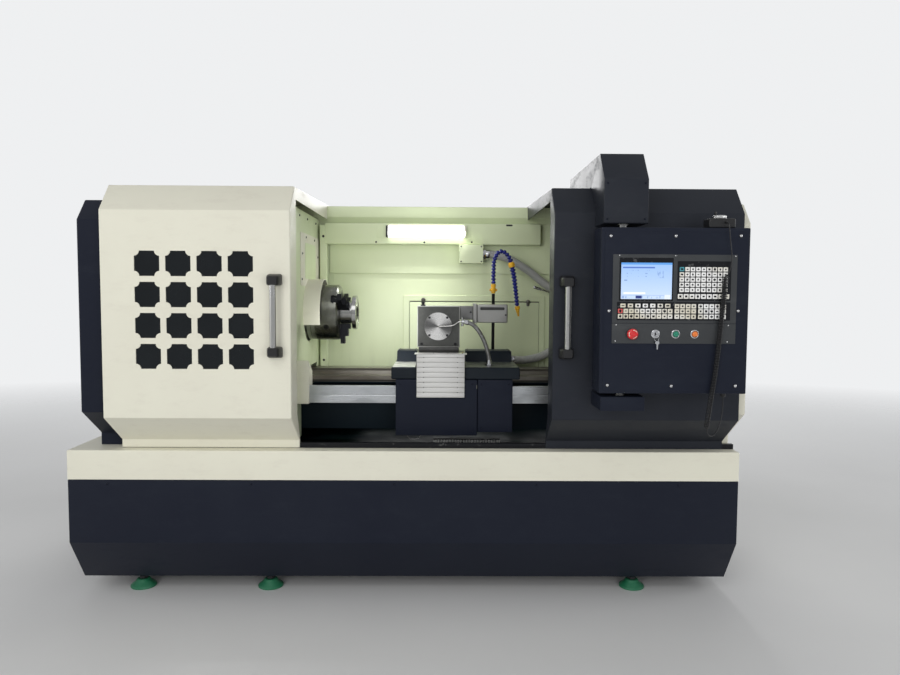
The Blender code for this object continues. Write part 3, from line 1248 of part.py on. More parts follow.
# Hand pulse generator lying on the box, with its curly cord to the gland below
pulse_x = (1.078, 1.172)
pulse_inset = 0.008
pulse_deep = 0.064
pulse_in = (box_front + pulse_inset, box_front + pulse_inset + pulse_deep)
pulse_high = 0.034
dial_radius = 0.024
dial_high = 0.012
pulse_z = (box_z[1] + gap, box_z[1] + gap + pulse_high)
pulse_box = block("pulse_box", pulse_x, pulse_in, pulse_z, round_edge=0.006)
paint(pulse_box, BLACK, 0.5)
dial_place = (sum(pulse_x) / 2, back(sum(pulse_in) / 2), pulse_z[1] + gap)
crank_radius = 0.004
crank_high = 0.014
dial = turned("pulse_dial", [(0, dial_high), (dial_radius * 0.9, dial_high),
                             (dial_radius, dial_high * 0.8), (dial_radius, 0), (0, 0)], dial_place,
              ALONG_Z, ROUND)
weld(dial, rod("dial_crank",
               Vector(dial_place) + Vector((-dial_radius * 0.6, 0, dial_high + crank_high / 2 - gap)),
               (0, 0, 1), crank_radius, crank_high, 8))
paint(dial, STEEL, 0.3, 1.0)

curl_radius = 0.0095
lead_radius = 0.0030
cord_out_x = 1.136
cord_out_z = 1.487
cord_route = [Vector((x, back(d), z)) for x, d, z in (
    (cord_out_x, pulse_in[0] - gap, cord_out_z), (cord_out_x, -0.288, cord_out_z),
    (cord_out_x, -0.294, 1.4868), (1.1368, -0.3045, 1.482), (1.138, -0.3100, 1.466),
    (1.143, -0.3105, 1.420), (1.150, -0.3100, 1.360),
    (1.144, -0.3090, 1.320), (1.131, -0.3085, 1.285), (1.126, -0.3080, 1.220), (1.120, -0.3070, 1.140),
    (1.112, -0.3065, 1.040), (1.103, -0.3060, 0.950), (1.091, -0.3050, 0.860), (1.083, -0.3030, 0.790),
    (1.083, -0.298, 0.755), (1.097, -0.290, 0.734), (1.119, -0.280, 0.739), (1.140, -0.266, 0.770),
    (1.156, -0.247, 0.812), (gland_x, box_gland_in, 0.838), (gland_x, box_gland_in, 0.852),
    (gland_x, box_gland_in, box_gland_low - gap))]
cord_count = 78
cord_points = smooth_route(cord_route, cord_count)
curl_shares = (0.21, 0.80)


def cord_radius(share):
    """Thin lead at both ends, and the curl's outer radius between them."""
    rise = min(1.0, max(0.0, (share - curl_shares[0]) * 30))
    fall = min(1.0, max(0.0, (curl_shares[1] - share) * 30))
    return lead_radius + (curl_radius - lead_radius) * min(rise, fall)


pulse_cord = tube("pulse_cord", cord_points,
                  [cord_radius(number / (cord_count - 1)) for number in range(cord_count)])
paint(pulse_cord, BLACK, 0.6)

# Electrical cabinet behind the wall, its gear and its door, and the coolant pump beside it
cabinet_inset = 0.190  # from the left end cover's outer face
cabinet_wide = 0.800
cabinet_x = (end_cover_left + cabinet_inset, end_cover_left + cabinet_inset + cabinet_wide)
cabinet_in = (channel_in[1] + sheet * 3, 1.170)
cabinet_z = (rim_top + gap, 1.500)
cabinet_wall = 0.004
cabinet = block("electrical_cabinet", cabinet_x, cabinet_in, cabinet_z)
cut(cabinet, block("cabinet_room", (cabinet_x[0] + cabinet_wall, cabinet_x[1] - cabinet_wall),
                   (cabinet_in[0] + cabinet_wall, cabinet_in[1] + overrun),
                   (cabinet_z[0] + cabinet_wall, cabinet_z[1] - cabinet_wall)))
paint(cabinet, CREAM, 0.45)

mount_margin = 0.050
gear_back_in = cabinet_in[0] + cabinet_wall + gap
gear = block("cabinet_gear", (cabinet_x[0] + mount_margin, cabinet_x[1] - mount_margin),
             (gear_back_in, gear_back_in + sheet),
             (cabinet_z[0] + mount_margin, cabinet_z[1] - mount_margin))
gear_wide = cabinet_x[1] - cabinet_x[0] - mount_margin * 2
gear_high = cabinet_z[1] - cabinet_z[0] - mount_margin * 2
gear_shares = ((0.06, 0.30, 0.50, 0.94, 0.17), (0.38, 0.50, 0.52, 0.92, 0.15), (0.55, 0.67, 0.52, 0.92, 0.15),
               (0.72, 0.94, 0.56, 0.90, 0.12), (0.06, 0.60, 0.34, 0.42, 0.07), (0.66, 0.94, 0.30, 0.44, 0.09),
               (0.10, 0.34, 0.06, 0.24, 0.14), (0.44, 0.92, 0.08, 0.18, 0.06))
for left, right, low, high, deep in gear_shares:
    weld(gear, block("drive_unit", (cabinet_x[0] + mount_margin + gear_wide * left,
                                    cabinet_x[0] + mount_margin + gear_wide * right),
                     (gear_back_in + sheet / 2, gear_back_in + gear_wide * deep),
                     (cabinet_z[0] + mount_margin + gear_high * low,
                      cabinet_z[0] + mount_margin + gear_high * high)))
paint(gear, (0.35, 0.36, 0.35), 0.5)

door_thick = 0.016
door_fold = 0.012
door_in = (cabinet_in[1] + gap, cabinet_in[1] + gap + door_thick)
door_knob = 0.016
door_knob_reach = back_reach - door_in[1] - gap * 10
cabinet_door = block("cabinet_door", cabinet_x, door_in, cabinet_z, round_edge=0.003)
weld(cabinet_door, rod("door_knob", (cabinet_x[1] - mount_margin, back(door_in[1] + door_knob_reach / 2),
                                     sum(cabinet_z) / 2), (0, 1, 0), door_knob, door_knob_reach + sheet,
                       SMALL_ROUND))
paint(cabinet_door, CREAM, 0.45)

pump_x = 0.550
pump_radius = 0.056
pump_margin = 0.007
pump_in = back_reach - pump_radius - pump_margin
pump_top = 0.830
pump_neck = 0.040
pump = turned("coolant_pump", [(0, pump_top), (pump_radius * 0.8, pump_top),
                               (pump_radius, pump_top - pump_neck / 2),
                               (pump_radius, rim_top + pump_neck), (pump_neck, rim_top + pump_neck),
                               (pump_neck, rim_top + pump_neck / 4),
                               (pump_radius, rim_top + pump_neck / 4), (pump_radius, rim_top + gap),
                               (0, rim_top + gap)], (pump_x, back(pump_in), 0), ALONG_Z, SMALL_ROUND)
paint(pump, (0.02, 0.05, 0.12), 0.5)

# Bodies: pieces that move together hang on the body's main piece, or on an empty on its hinge
carried(left_hood, window_pane, left_handle)
box_body = body("control_box", (pin_x, back(pin_in), sum(box_z) / 2))
carried(box_body, control_box, operator_panel, screen, pulse_box, pulse_cord, dial, estop, start_button,
        hold_button, key_switch)
carried(right_hood, right_handle, box_body)
carried(spindle, chuck, ring, *jaws)
head_body = body("tool_head", (head_middle[0], back(sum(head_in) / 2), head_middle[1]))
carried(head_body, tool_head)
carried(cross_slide, turret, turret_motor, coolant_hose, head_body)
carried(saddle, apron, curtain, hose_pole, link_hose, saddle_conduit, cross_slide)
carried(tailstock, quill, handwheel)
door_body = body("cabinet_door", (cabinet_x[0], back(door_in[1]), sum(cabinet_z) / 2))
carried(door_body, cabinet_door)
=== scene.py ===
"""CNC turning lathe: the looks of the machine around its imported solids.

Metres, +Z up, X along the bed from headstock to tailstock, Y from the operator to the rear. Places in
depth are given behind the front plane of the chip tray and turned into Y by behind().
"""

import math

import bmesh
import bpy
import numpy as np
from mathutils import Matrix, Vector


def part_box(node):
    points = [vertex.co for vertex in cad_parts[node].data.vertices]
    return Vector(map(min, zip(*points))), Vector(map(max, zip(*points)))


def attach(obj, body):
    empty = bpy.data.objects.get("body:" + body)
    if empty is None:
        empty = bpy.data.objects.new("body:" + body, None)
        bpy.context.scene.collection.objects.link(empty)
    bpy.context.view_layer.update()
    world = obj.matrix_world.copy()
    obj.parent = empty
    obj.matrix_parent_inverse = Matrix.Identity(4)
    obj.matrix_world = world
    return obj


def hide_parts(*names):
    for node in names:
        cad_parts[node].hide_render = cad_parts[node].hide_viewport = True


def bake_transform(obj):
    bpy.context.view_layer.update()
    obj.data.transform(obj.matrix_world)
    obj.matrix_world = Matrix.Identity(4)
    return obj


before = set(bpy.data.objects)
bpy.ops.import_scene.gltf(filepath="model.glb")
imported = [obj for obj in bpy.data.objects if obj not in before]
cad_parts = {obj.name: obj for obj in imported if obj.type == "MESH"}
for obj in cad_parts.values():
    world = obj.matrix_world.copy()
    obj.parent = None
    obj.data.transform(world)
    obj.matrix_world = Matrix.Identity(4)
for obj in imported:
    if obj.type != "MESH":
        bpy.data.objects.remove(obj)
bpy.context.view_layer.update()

# Camera, floor and studio light: a normal lens a little right of the middle, at chest height, large soft
# lamps in front, at the sides and behind, and two small ones that fill the work area.
tray_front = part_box("chip_tray")[0][1]


def behind(distance):
    """Y of a place so far behind the front plane of the chip tray."""
    return tray_front + distance


camera_place = Vector((0.1479, behind(-2.848), 1.2433))
camera_yaw, camera_pitch, camera_roll = (math.radians(angle) for angle in (0.574, -3.66, 0.328))
sensor_width = 36.0
forward = Vector((math.sin(camera_yaw) * math.cos(camera_pitch),
                  math.cos(camera_yaw) * math.cos(camera_pitch), math.sin(camera_pitch)))
level_right = Vector((math.cos(camera_yaw), -math.sin(camera_yaw), 0))
level_up = level_right.cross(forward)
right = level_right * math.cos(camera_roll) + level_up * math.sin(camera_roll)
up = right.cross(forward)
camera_data = bpy.data.cameras.new("camera")
camera_data.sensor_width = sensor_width
camera_data.lens = sensor_width * 730.99 / 900
camera = bpy.data.objects.new("camera", camera_data)
bpy.context.scene.collection.objects.link(camera)
camera.matrix_world = Matrix.Translation(camera_place) @ Matrix((right, up, -forward)).transposed().to_4x4()
bpy.context.scene.camera = camera
bpy.context.scene.view_settings.view_transform = "Standard"


def soft_lamp(name, place, target, size, power, mirrored=True, narrow=None):
    """An area lamp at a place, turned towards a target; mirrored lamps also show in glossy surfaces."""
    data = bpy.data.lights.new(name, "AREA")
    data.shape = "RECTANGLE"
    data.energy = power
    data.size = size
    data.size_y = narrow or size
    lamp = bpy.data.objects.new(name, data)
    lamp.visible_glossy = mirrored
    lamp.visible_camera = False
    bpy.context.scene.collection.objects.link(lamp)
    aim = (Vector(target) - Vector(place)).to_track_quat("-Z", "Y").to_matrix().to_4x4()
    lamp.matrix_world = Matrix.Translation(place) @ aim


soft_lamp("fill_left", (-1.9, -5.0, 1.7), (0, 0, 1.0), 2.2, 72, mirrored=False)
soft_lamp("fill_right", (1.7, -5.0, 1.5), (0, 0, 1.0), 2.2, 60, mirrored=False)
soft_lamp("key_lamp", (-1.0, -4.6, 4.2), (0, 0, 0.9), 2.6, 40)
soft_lamp("left_lamp", (-4.6, -1.0, 2.2), (0, 0, 0.9), 2.5, 42)
soft_lamp("right_lamp", (4.8, -1.0, 2.4), (0, 0, 0.9), 2.5, 46)
soft_lamp("rear_lamp", (0.5, 4.8, 3.0), (0, 0, 0.9), 3.0, 120)
soft_lamp("work_area_fill", (-0.14, behind(0.21), 1.10), (0.0, behind(0.80), 0.88), 0.30, 1.95, False, 0.20)
soft_lamp("tube_light", (0.065, behind(0.709), 1.530), (0.065, behind(0.690), 1.0), 0.36, 2.2, False, 0.01)

world = bpy.data.worlds.new("studio")
world.use_nodes = True
bpy.context.scene.world = world
world_nodes = world.node_tree.nodes
world_links = world.node_tree.links
ambient = world_nodes["Background"]
ambient.inputs["Color"].default_value = (0.95, 0.97, 1.0, 1)
ambient.inputs["Strength"].default_value = 0.24
backdrop = world_nodes.new("ShaderNodeBackground")
backdrop.inputs["Color"].default_value = (0.86, 0.87, 0.88, 1)
backdrop.inputs["Strength"].default_value = 1.0
ray = world_nodes.new("ShaderNodeLightPath")
seen = world_nodes.new("ShaderNodeMath")
seen.operation = "MAXIMUM"
either = world_nodes.new("ShaderNodeMixShader")
world_links.new(ray.outputs["Is Camera Ray"], seen.inputs[0])
world_links.new(ray.outputs["Is Transmission Ray"], seen.inputs[1])
glossy = world_nodes.new("ShaderNodeMath")
glossy.operation = "MULTIPLY_ADD"
glossy.inputs[1].default_value = 0.40
world_links.new(ray.outputs["Is Glossy Ray"], glossy.inputs[0])
world_links.new(seen.outputs[0], glossy.inputs[2])
world_links.new(glossy.outputs[0], either.inputs[0])
world_links.new(ambient.outputs[0], either.inputs[1])
world_links.new(backdrop.outputs[0], either.inputs[2])
world_links.new(either.outputs[0], world_nodes["World Output"].inputs["Surface"])


class Field:
    """A socket that carries a value over a surface, with Python's arithmetic; it adds its own Math nodes."""

    def __init__(self, finish, socket):
        self.finish = finish
        self.socket = socket

    def math(self, operation, *others, clamp=False):
        values = {number: value for number, value in enumerate((self, *others))}
        return self.finish.node("ShaderNodeMath", {"operation": operation, "use_clamp": clamp}, values)

    def __add__(self, other):
        return self.math("ADD", other)

    def __mul__(self, other):
        return self.math("MULTIPLY", other)

    def __sub__(self, other):
        return self.math("SUBTRACT", other)

    def __rsub__(self, other):
        return (self * -1.0) + other

    __radd__ = __add__
    __rmul__ = __mul__

    def above(self, edge, soft):
        """0 below an edge and 1 above it, with a soft step between."""
        return ((self - edge) * (1.0 / soft) + 0.5).math("ADD", 0.0, clamp=True)

    def between(self, low, high, soft):
        return self.above(low, soft) * (1.0 - self.above(high, soft))


class Finish:
    """A material with one Principled shader; field() and node() build what varies over the surface."""

    def __init__(self, name, colour, roughness, **constants):
        self.material = bpy.data.materials.new(name)
        self.material.use_nodes = True
        self.tree = self.material.node_tree
        self.shader = self.tree.nodes["Principled BSDF"]
        self.base = (*colour, 1)
        self.shader.inputs["Base Color"].default_value = self.base
        self.shader.inputs["Roughness"].default_value = roughness
        for socket, value in constants.items():
            self.shader.inputs[socket.replace("_", " ")].default_value = value
        self.place = None

    def node(self, kind, settings, values, output=0):
        made = self.tree.nodes.new(kind)
        for setting, value in settings.items():
            setattr(made, setting, value)
        for socket, value in values.items():
            self.feed(made.inputs[socket], value)
        return Field(self, made.outputs[output])

    def feed(self, socket, value):
        if isinstance(value, Field):
            self.tree.links.new(value.socket, socket)
        else:
            socket.default_value = value

    def coordinates(self, scale=(1, 1, 1)):
        """The surface's own place in metres, stretched by a scale."""
        if self.place is None:
            self.place = self.node("ShaderNodeTexCoord", {}, {}, "Object")
        return self.node("ShaderNodeMapping", {}, {"Vector": self.place, "Scale": scale})

    def axis(self, name):
        self.coordinates()
        return self.node("ShaderNodeSeparateXYZ", {}, {"Vector": self.place}, name)

    def noise(self, scale, detail=3.0, stretch=(1, 1, 1), rough=0.5):
        return self.node("ShaderNodeTexNoise", {}, {"Vector": self.coordinates(stretch), "Scale": scale,
                                                    "Detail": detail, "Roughness": rough})

    def mix(self, factor, first, second):
        """A colour between two colours."""
        return self.node("ShaderNodeMix", {"data_type": "RGBA"}, {0: factor, 6: first, 7: second}, 2)

    def bump(self, height, distance, strength=1.0, under=None):
        values = {"Height": height, "Distance": distance, "Strength": strength}
        if under is not None:
            values["Normal"] = under
        return self.node("ShaderNodeBump", {}, values)

    def wear(self, **sockets):
        """Feeds the shader's own sockets and gives the material back."""
        for socket, value in sockets.items():
            self.feed(self.shader.inputs[socket.replace("_", " ")], value)
        return self.material


def floor_finish():
    """Pale sealed concrete with faint clouds, which fades into the backdrop with its distance."""
    finish = Finish("floor", (0.72, 0.72, 0.71), 0.55)
    cloud = finish.noise(0.9, 5.0).above(0.5, 0.6)
    x, y = finish.axis("X"), finish.axis("Y")
    near = 1.0 - (x * x * 0.5 + y * y).math("SQRT", 0.0).above(4.6, 5.6)
    return finish.wear(Base_Color=finish.mix(cloud, (0.68, 0.68, 0.675, 1), (0.74, 0.74, 0.735, 1)),
                       Alpha=near)


def piece(name, patches, material, body=None, node=None, sharp=38, merge=2e-6):
    """One closed mesh from grids of points (rows, columns, 3) and flat outlines (points, 3).

    Neighbouring points of a grid make a quad, an outline makes one face, and points that meet are merged.
    """
    points, faces, start = [], [], 0
    for patch in patches:
        patch = np.asarray(patch, dtype=float)
        count = patch.size // 3
        index = start + np.arange(count)
        if patch.ndim == 2:
            faces.append(index.tolist())
        else:
            grid = index.reshape(patch.shape[:2])
            quads = np.stack([grid[:-1, :-1], grid[1:, :-1], grid[1:, 1:], grid[:-1, 1:]], axis=-1)
            faces.extend(quads.reshape(-1, 4).tolist())
        points.append(patch.reshape(-1, 3))
        start += count
    mesh = bpy.data.meshes.new(name)
    mesh.from_pydata(np.concatenate(points).tolist(), [], faces)
    work = bmesh.new()
    work.from_mesh(mesh)
    bmesh.ops.remove_doubles(work, verts=work.verts, dist=merge)
    bmesh.ops.dissolve_degenerate(work, edges=work.edges, dist=merge)
    bmesh.ops.recalc_face_normals(work, faces=work.faces)
    work.to_mesh(mesh)
    work.free()
    mesh.shade_smooth()
    mesh.set_sharp_from_angle(angle=math.radians(sharp))
    mesh.materials.append(material)
    obj = bpy.data.objects.new(name, mesh)
    bpy.context.scene.collection.objects.link(obj)
    if body:
        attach(obj, body)
    if node:
        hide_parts(*([node] if isinstance(node, str) else node))
    return obj


floor_half = 14.0
floor_corners = np.array([[-1, -1, 0], [1, -1, 0], [1, 1, 0], [-1, 1, 0]]) * floor_half
piece("floor", [floor_corners], floor_finish())

# Base cabinet: welded 4 mm steel sheet, bent along its lower chamfer, powder coated dark blue-grey. Its
# front panel is held by five screws, and it stands on six cast feet with studs and locknuts.
NAVY = (0.0095, 0.0118, 0.0215)
CREAM = (0.760, 0.745, 0.625)
coat_scale = 520.0


def powder_coat(name, colour, dust, roughness=0.42, peel=0.00006, sheen=0.5):
    """Orange peel in the coat, cloudy gloss, handling marks, and a colour that drifts towards the dust."""
    finish = Finish(name, colour, roughness, Specular_IOR_Level=sheen)
    peel_height = finish.noise(coat_scale, 2.0)
    cloud = finish.noise(2.3, 5.0, rough=0.6)
    rubbed = finish.noise(9.0, 6.0, (1, 1, 2.6), 0.7).above(0.60, 0.16)
    settled = cloud.above(0.52, 0.35)
    shade = finish.mix(settled * 0.35 + rubbed * 0.30, (*colour, 1), (*dust, 1))
    gloss = cloud * 0.16 + rubbed * 0.14 + (roughness - 0.10)
    return finish.wear(Base_Color=shade, Roughness=gloss, Normal=finish.bump(peel_height, peel))


navy_coat = powder_coat("navy_powder_coat", NAVY, (0.018, 0.022, 0.032), 0.44, 0.00006, 0.16)
cream_coat = powder_coat("cream_powder_coat", CREAM, (0.66, 0.63, 0.53))


def bent(corners, radius, steps=4):
    """A line of corners with each inner corner rounded: the points of an arc tangent to both sides.

    The arc starts radius * tan(turn / 2) before the corner and runs along the corner's turn.
    """
    corners = np.asarray(corners, dtype=float)
    pieces = [corners[:1]]
    for before, here, after in zip(corners, corners[1:], corners[2:]):
        first = (here - before) / np.linalg.norm(here - before)
        second = (after - here) / np.linalg.norm(after - here)
        turn = math.atan2(first[0] * second[1] - first[1] * second[0], float(first @ second))
        if abs(turn) < 1e-6:
            pieces.append(here[None])
            continue
        reach = min(radius * abs(math.tan(turn / 2)), np.linalg.norm(here - before) / 2.01,
                    np.linalg.norm(after - here) / 2.01)
        round_radius = reach / abs(math.tan(turn / 2))
        side = np.array([-first[1], first[0]]) * np.sign(turn)
        centre = here - first * reach + side * round_radius
        angle = np.linspace(0, turn, steps + 1)[:, None]
        spoke = -side * round_radius
        pieces.append(centre + spoke * np.cos(angle) + np.array([-spoke[1], spoke[0]]) * np.sin(angle))
    pieces.append(corners[-1:])
    return np.concatenate(pieces)


def closed_bend(corners, radius, steps=4):
    """A closed outline with every corner rounded."""
    corners = np.asarray(corners, dtype=float)
    middle = (corners[0] + corners[-1]) / 2
    return bent(np.concatenate([[middle], corners, [middle]]), radius, steps)[:-1]


def shrunk(outline, by):
    """A closed outline moved inwards: each corner goes by / (1 + n1 . n2) along the sum of both normals."""
    outline = np.asarray(outline, dtype=float)
    side = np.roll(outline, -1, axis=0) - outline
    normal = np.stack([-side[:, 1], side[:, 0]], axis=1) / np.linalg.norm(side, axis=1)[:, None]
    area = np.sum(outline[:, 0] * np.roll(outline[:, 1], -1) - outline[:, 1] * np.roll(outline[:, 0], -1))
    normal *= np.sign(area)
    before = np.roll(normal, 1, axis=0)
    return outline + (before + normal) * (by / (1 + np.sum(before * normal, axis=1)))[:, None]


def standing(flat, depth, across):
    """Flat points set at a depth along the axis that runs across them."""
    return np.insert(np.asarray(flat, dtype=float), "xyz".index(across), depth, axis=-1)


def slab(outline, low, high, across, edge=0.001, steps=2):
    """A plate with rounded edges: rings of its outline, shrunk along a quarter circle at each face."""
    angle = np.linspace(0, math.pi / 2, steps + 1)
    inward = edge * (1 - np.cos(angle))
    down = edge * (1 - np.sin(angle))
    rings = [standing(shrunk(outline, by) if by else outline, high - deep, across) for by, deep in zip(
        inward, down)][::-1]
    rings += [standing(shrunk(outline, by) if by else outline, low + deep, across) for by, deep in zip(
        inward, down)]
    closed = np.stack([np.concatenate([ring, ring[:1]]) for ring in rings])
    return [closed, rings[0], rings[-1]]


def rectangle(low, high):
    """The four corners of a rectangle."""
    return np.array([[low[0], low[1]], [high[0], low[1]], [high[0], high[1]], [low[0], high[1]]])


def rounded_block(low, high, radius, steps=3):
    """A box with round edges: a sphere's grid whose quarters are pulled apart by the box's inner size."""
    low, high = np.asarray(low, dtype=float), np.asarray(high, dtype=float)
    half = (high - low) / 2 - radius
    quarter = np.linspace(0, math.pi / 2, steps + 1)
    round_angle = np.concatenate([quarter + math.pi / 2 * number for number in range(4)] + [[0.0]])
    sign_x = np.concatenate([np.repeat((1, -1, -1, 1), steps + 1), [1]])
    sign_y = np.concatenate([np.repeat((1, 1, -1, -1), steps + 1), [1]])
    rise = np.concatenate([quarter - math.pi / 2, quarter])[:, None]
    sign_z = np.repeat((-1, 1), steps + 1)[:, None]
    grid = np.stack([sign_x * half[0] + radius * np.cos(rise) * np.cos(round_angle),
                     sign_y * half[1] + radius * np.cos(rise) * np.sin(round_angle),
                     sign_z * half[2] + radius * np.sin(rise) + 0 * round_angle], axis=-1) + (low + high) / 2
    corner = slice(0, None, steps + 1)
    return [grid, grid[0][corner][:4], grid[-1][corner][:4]]


def turned(profile, centre, axis, sides=32):
    """A profile of (along, radius) turned about an axis: a circle of each radius at each place along it."""
    profile = np.asarray(profile, dtype=float)
    angle = np.linspace(0, 2 * math.pi, sides + 1)
    along = profile[:, :1] + 0 * angle
    first, second = profile[:, 1:] * np.cos(angle), profile[:, 1:] * np.sin(angle)
    order = {"x": (along, first, second), "y": (first, along, second), "z": (first, second, along)}[axis]
    return np.stack(order, axis=-1) + np.asarray(centre, dtype=float)


def button_screw(place, axis, facing, radius, sides=10):
    """A domed screw head with a round recess, standing up from a place along an axis."""
    profile = np.array([[0, 1.0], [0.22, 0.98], [0.50, 0.72], [0.60, 0.50], [0.60, 0.46], [0.18, 0.42],
                        [0.18, 0.0]]) * radius
    profile[:, 0] *= facing
    return [turned(profile, place, axis, sides)]


def screw_set(name, places, axis, facing, radius, material, body):
    patches = [patch for place in places for patch in button_screw(place, axis, facing, radius)]
    return piece(name, patches, material, body)


def socket_steel(name="screw_steel"):
    """Blackened screw steel with a slightly uneven sheen."""
    finish = Finish(name, (0.045, 0.045, 0.048), 0.42, Metallic=0.75)
    return finish.wear(Roughness=finish.noise(160.0, 2.0) * 0.2 + 0.32)


black_screw = socket_steel()

base_low, base_high = (np.array(corner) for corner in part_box("base_cabinet"))
base_foot, base_skirt, base_top = 0.060, 0.241, 0.494
foot_setback = 0.117
base_line = [(base_low[1] + foot_setback, base_foot), (base_high[1] - foot_setback, base_foot),
             (base_high[1], base_skirt), (base_high[1], base_top), (base_low[1], base_top),
             (base_low[1], base_skirt)]
piece("base_shell", slab(closed_bend(base_line, 0.006), base_low[0], base_high[0], "x", 0.0025),
      navy_coat, "machine", "base_cabinet")
panel_screw_x = (-1.170, -0.606, -0.042, 0.522, 1.086)
panel_screw_z = 0.478
screw_set("base_screws", [(x, base_low[1] + 0.0005, panel_screw_z) for x in panel_screw_x], "y", -1,
          0.0055, navy_coat, "machine")


def foot_green():
    """Green hammer paint on cast iron, with patches of dust."""
    finish = Finish("foot_green_paint", (0.012, 0.13, 0.060), 0.5)
    dimple = finish.noise(240.0, 2.0)
    return finish.wear(Base_Color=finish.mix(finish.noise(30.0).above(0.55, 0.3) * 0.5, finish.base,
                                             (0.06, 0.20, 0.12, 1)), Normal=finish.bump(dimple, 0.0002))


foot_places = [(share * (base_high[0] - base_low[0]), behind(depth)) for depth in (0.165, 1.035)
               for share in (-0.416, -0.215, 0.359)]
foot_line = [(0.0, 0.0), (0.0, 0.050), (0.002, 0.052), (0.007, 0.052), (0.011, 0.049), (0.024, 0.031),
             (0.030, 0.028), (0.034, 0.024), (0.034, 0.0)]
stud_line = [(0.033, 0.0), (0.033, 0.0095), (0.061, 0.0095), (0.061, 0.0)]
nut_line = [(0.035, 0.0096), (0.035, 0.017), (0.0365, 0.0185), (0.0455, 0.0185), (0.047, 0.017),
            (0.047, 0.0096)]
piece("levelling_feet", [turned(foot_line, (x, y, 0), "z", 28) for x, y in foot_places], foot_green(),
      "machine", "base_cabinet")
stud_patches = [turned(stud_line, (x, y, 0), "z", 14) for x, y in foot_places]
stud_patches += [turned(nut_line + nut_line[:1], (x, y, 0), "z", 6) for x, y in foot_places]
piece("foot_studs", stud_patches, socket_steel("foot_stud_steel"), "machine", sharp=30)

# Chip tray: a cream band of folded sheet with a flat flange, mitred and welded at its corners, and a dark
# pan hung inside it that catches chips and coolant. A slotted strainer covers the drain.
band_low, band_high = 0.4943, 0.611
flange_wide = 0.125
sheet = 0.004
pan_left, pan_floor = -0.580, 0.515
tray_low, tray_high = (np.array(corner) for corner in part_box("chip_tray"))


def band_patches():
    """The band's section walked round the tray's four sides, with a mitre at each corner."""
    outer = rectangle(tray_low[:2], tray_high[:2])
    line = bent([(0.0, band_low), (0.0, band_high), (flange_wide, band_high)], 0.005, 4)
    under = bent([(sheet, band_low), (sheet, band_high - sheet), (flange_wide, band_high - sheet)], 0.001, 1)
    section = np.concatenate([line, under[::-1], line[:1]])
    rings = []
    for inward, high in section:
        ring = rectangle(tray_low[:2] + inward, tray_high[:2] - inward)
        rings.append(standing(np.concatenate([ring, ring[:1]]), high, "z"))
    return [np.stack(rings)]


piece("tray_band", band_patches(), cream_coat, "machine", "chip_tray")


def pan_coat(name="pan_paint"):
    """Dark blue pan paint, near black as painted shade under the bed, oily and specked with fine chips."""
    finish = Finish(name, (0.0035, 0.0075, 0.0105), 0.50, Specular_IOR_Level=0.01)
    film = finish.noise(7.0, 4.0).above(0.5, 0.3)
    specks = finish.noise(900.0, 1.0).above(0.72, 0.03)
    colour = finish.mix(specks * 0.5, finish.mix(film, finish.base, (0.003, 0.010, 0.010, 1)),
                        (0.09, 0.09, 0.08, 1))
    return finish.wear(Base_Color=colour, Roughness=0.62 - film * 0.18)


deck_right = tray_high[0] - flange_wide
pan_rear = behind(1.075)
pan_front = behind(flange_wide)
pan_top = band_high - sheet


def pan_patches():
    """An open box of sheet: walls with a rounded foot, the floor, and the same set off by the sheet."""
    rings = []
    for offset, heights in ((0.0, ((pan_top, 0.0), (pan_floor + 0.010, 0.0), (pan_floor + 0.003, 0.003),
                                   (pan_floor, 0.010))), (-sheet, ((pan_floor - sheet, 0.010),
                                                                   (pan_floor - sheet + 0.003, 0.003),
                                                                   (pan_floor + 0.006, 0.0),
                                                                   (pan_top, 0.0)))):
        for high, inward in heights:
            ring = rectangle((pan_left + offset + inward, pan_front + offset + inward),
                             (deck_right - offset - inward, pan_rear - offset - inward))
            rings.append(standing(np.concatenate([ring, ring[:1]]), high, "z"))
    floor, under = rings[3][:4], rings[4][:4]
    return [np.stack(rings[:4]), np.stack(rings[4:]), floor, under, np.stack([rings[0], rings[-1]])]


piece("tray_pan", pan_patches(), pan_coat(), "machine", "chip_tray")
slot_left, slot_right = -1.235, -1.145
slot_front, slot_rear = behind(0.370), behind(0.630)
deck_x = (tray_low[0] + flange_wide, slot_left, slot_right, pan_left - sheet)
deck_y = (behind(flange_wide), slot_front, slot_rear, behind(1.075))
deck_patches = []
for column in range(3):
    for row in range(3):
        if (column, row) != (1, 1):
            deck_patches += slab(rectangle((deck_x[column], deck_y[row]),
                                           (deck_x[column + 1], deck_y[row + 1])), band_high - sheet,
                                 band_high, "z", 0.0001, 1)
piece("tray_deck", deck_patches, cream_coat, "machine", "chip_tray")

strainer_low, strainer_high = (0.104, behind(0.600)), (0.424, behind(0.660))
strainer_top = pan_floor + 0.022
strainer_bars = 24
piece("strainer_lid",
      slab(rectangle(strainer_low, strainer_high), strainer_top - 0.003, strainer_top, "z", 0.0008),
      pan_coat("lid_paint"), "machine")
strainer_patches = []
bar_pitch = (strainer_high[0] - strainer_low[0]) / strainer_bars
for number in range(strainer_bars + 1):
    bar_x = strainer_low[0] + bar_pitch * number
    bar_x = min(max(bar_x, strainer_low[0] + bar_pitch * 0.32), strainer_high[0] - bar_pitch * 0.32)
    strainer_patches += slab(rectangle((bar_x - bar_pitch * 0.3, strainer_low[1]),
                                       (bar_x + bar_pitch * 0.3, strainer_low[1] + 0.003)), pan_floor,
                             strainer_top - 0.002, "z", 0.0003, 1)
piece("strainer", strainer_patches, powder_coat("strainer_white", (0.93, 0.93, 0.90), (0.80, 0.80, 0.77)),
      "machine", "chip_tray")


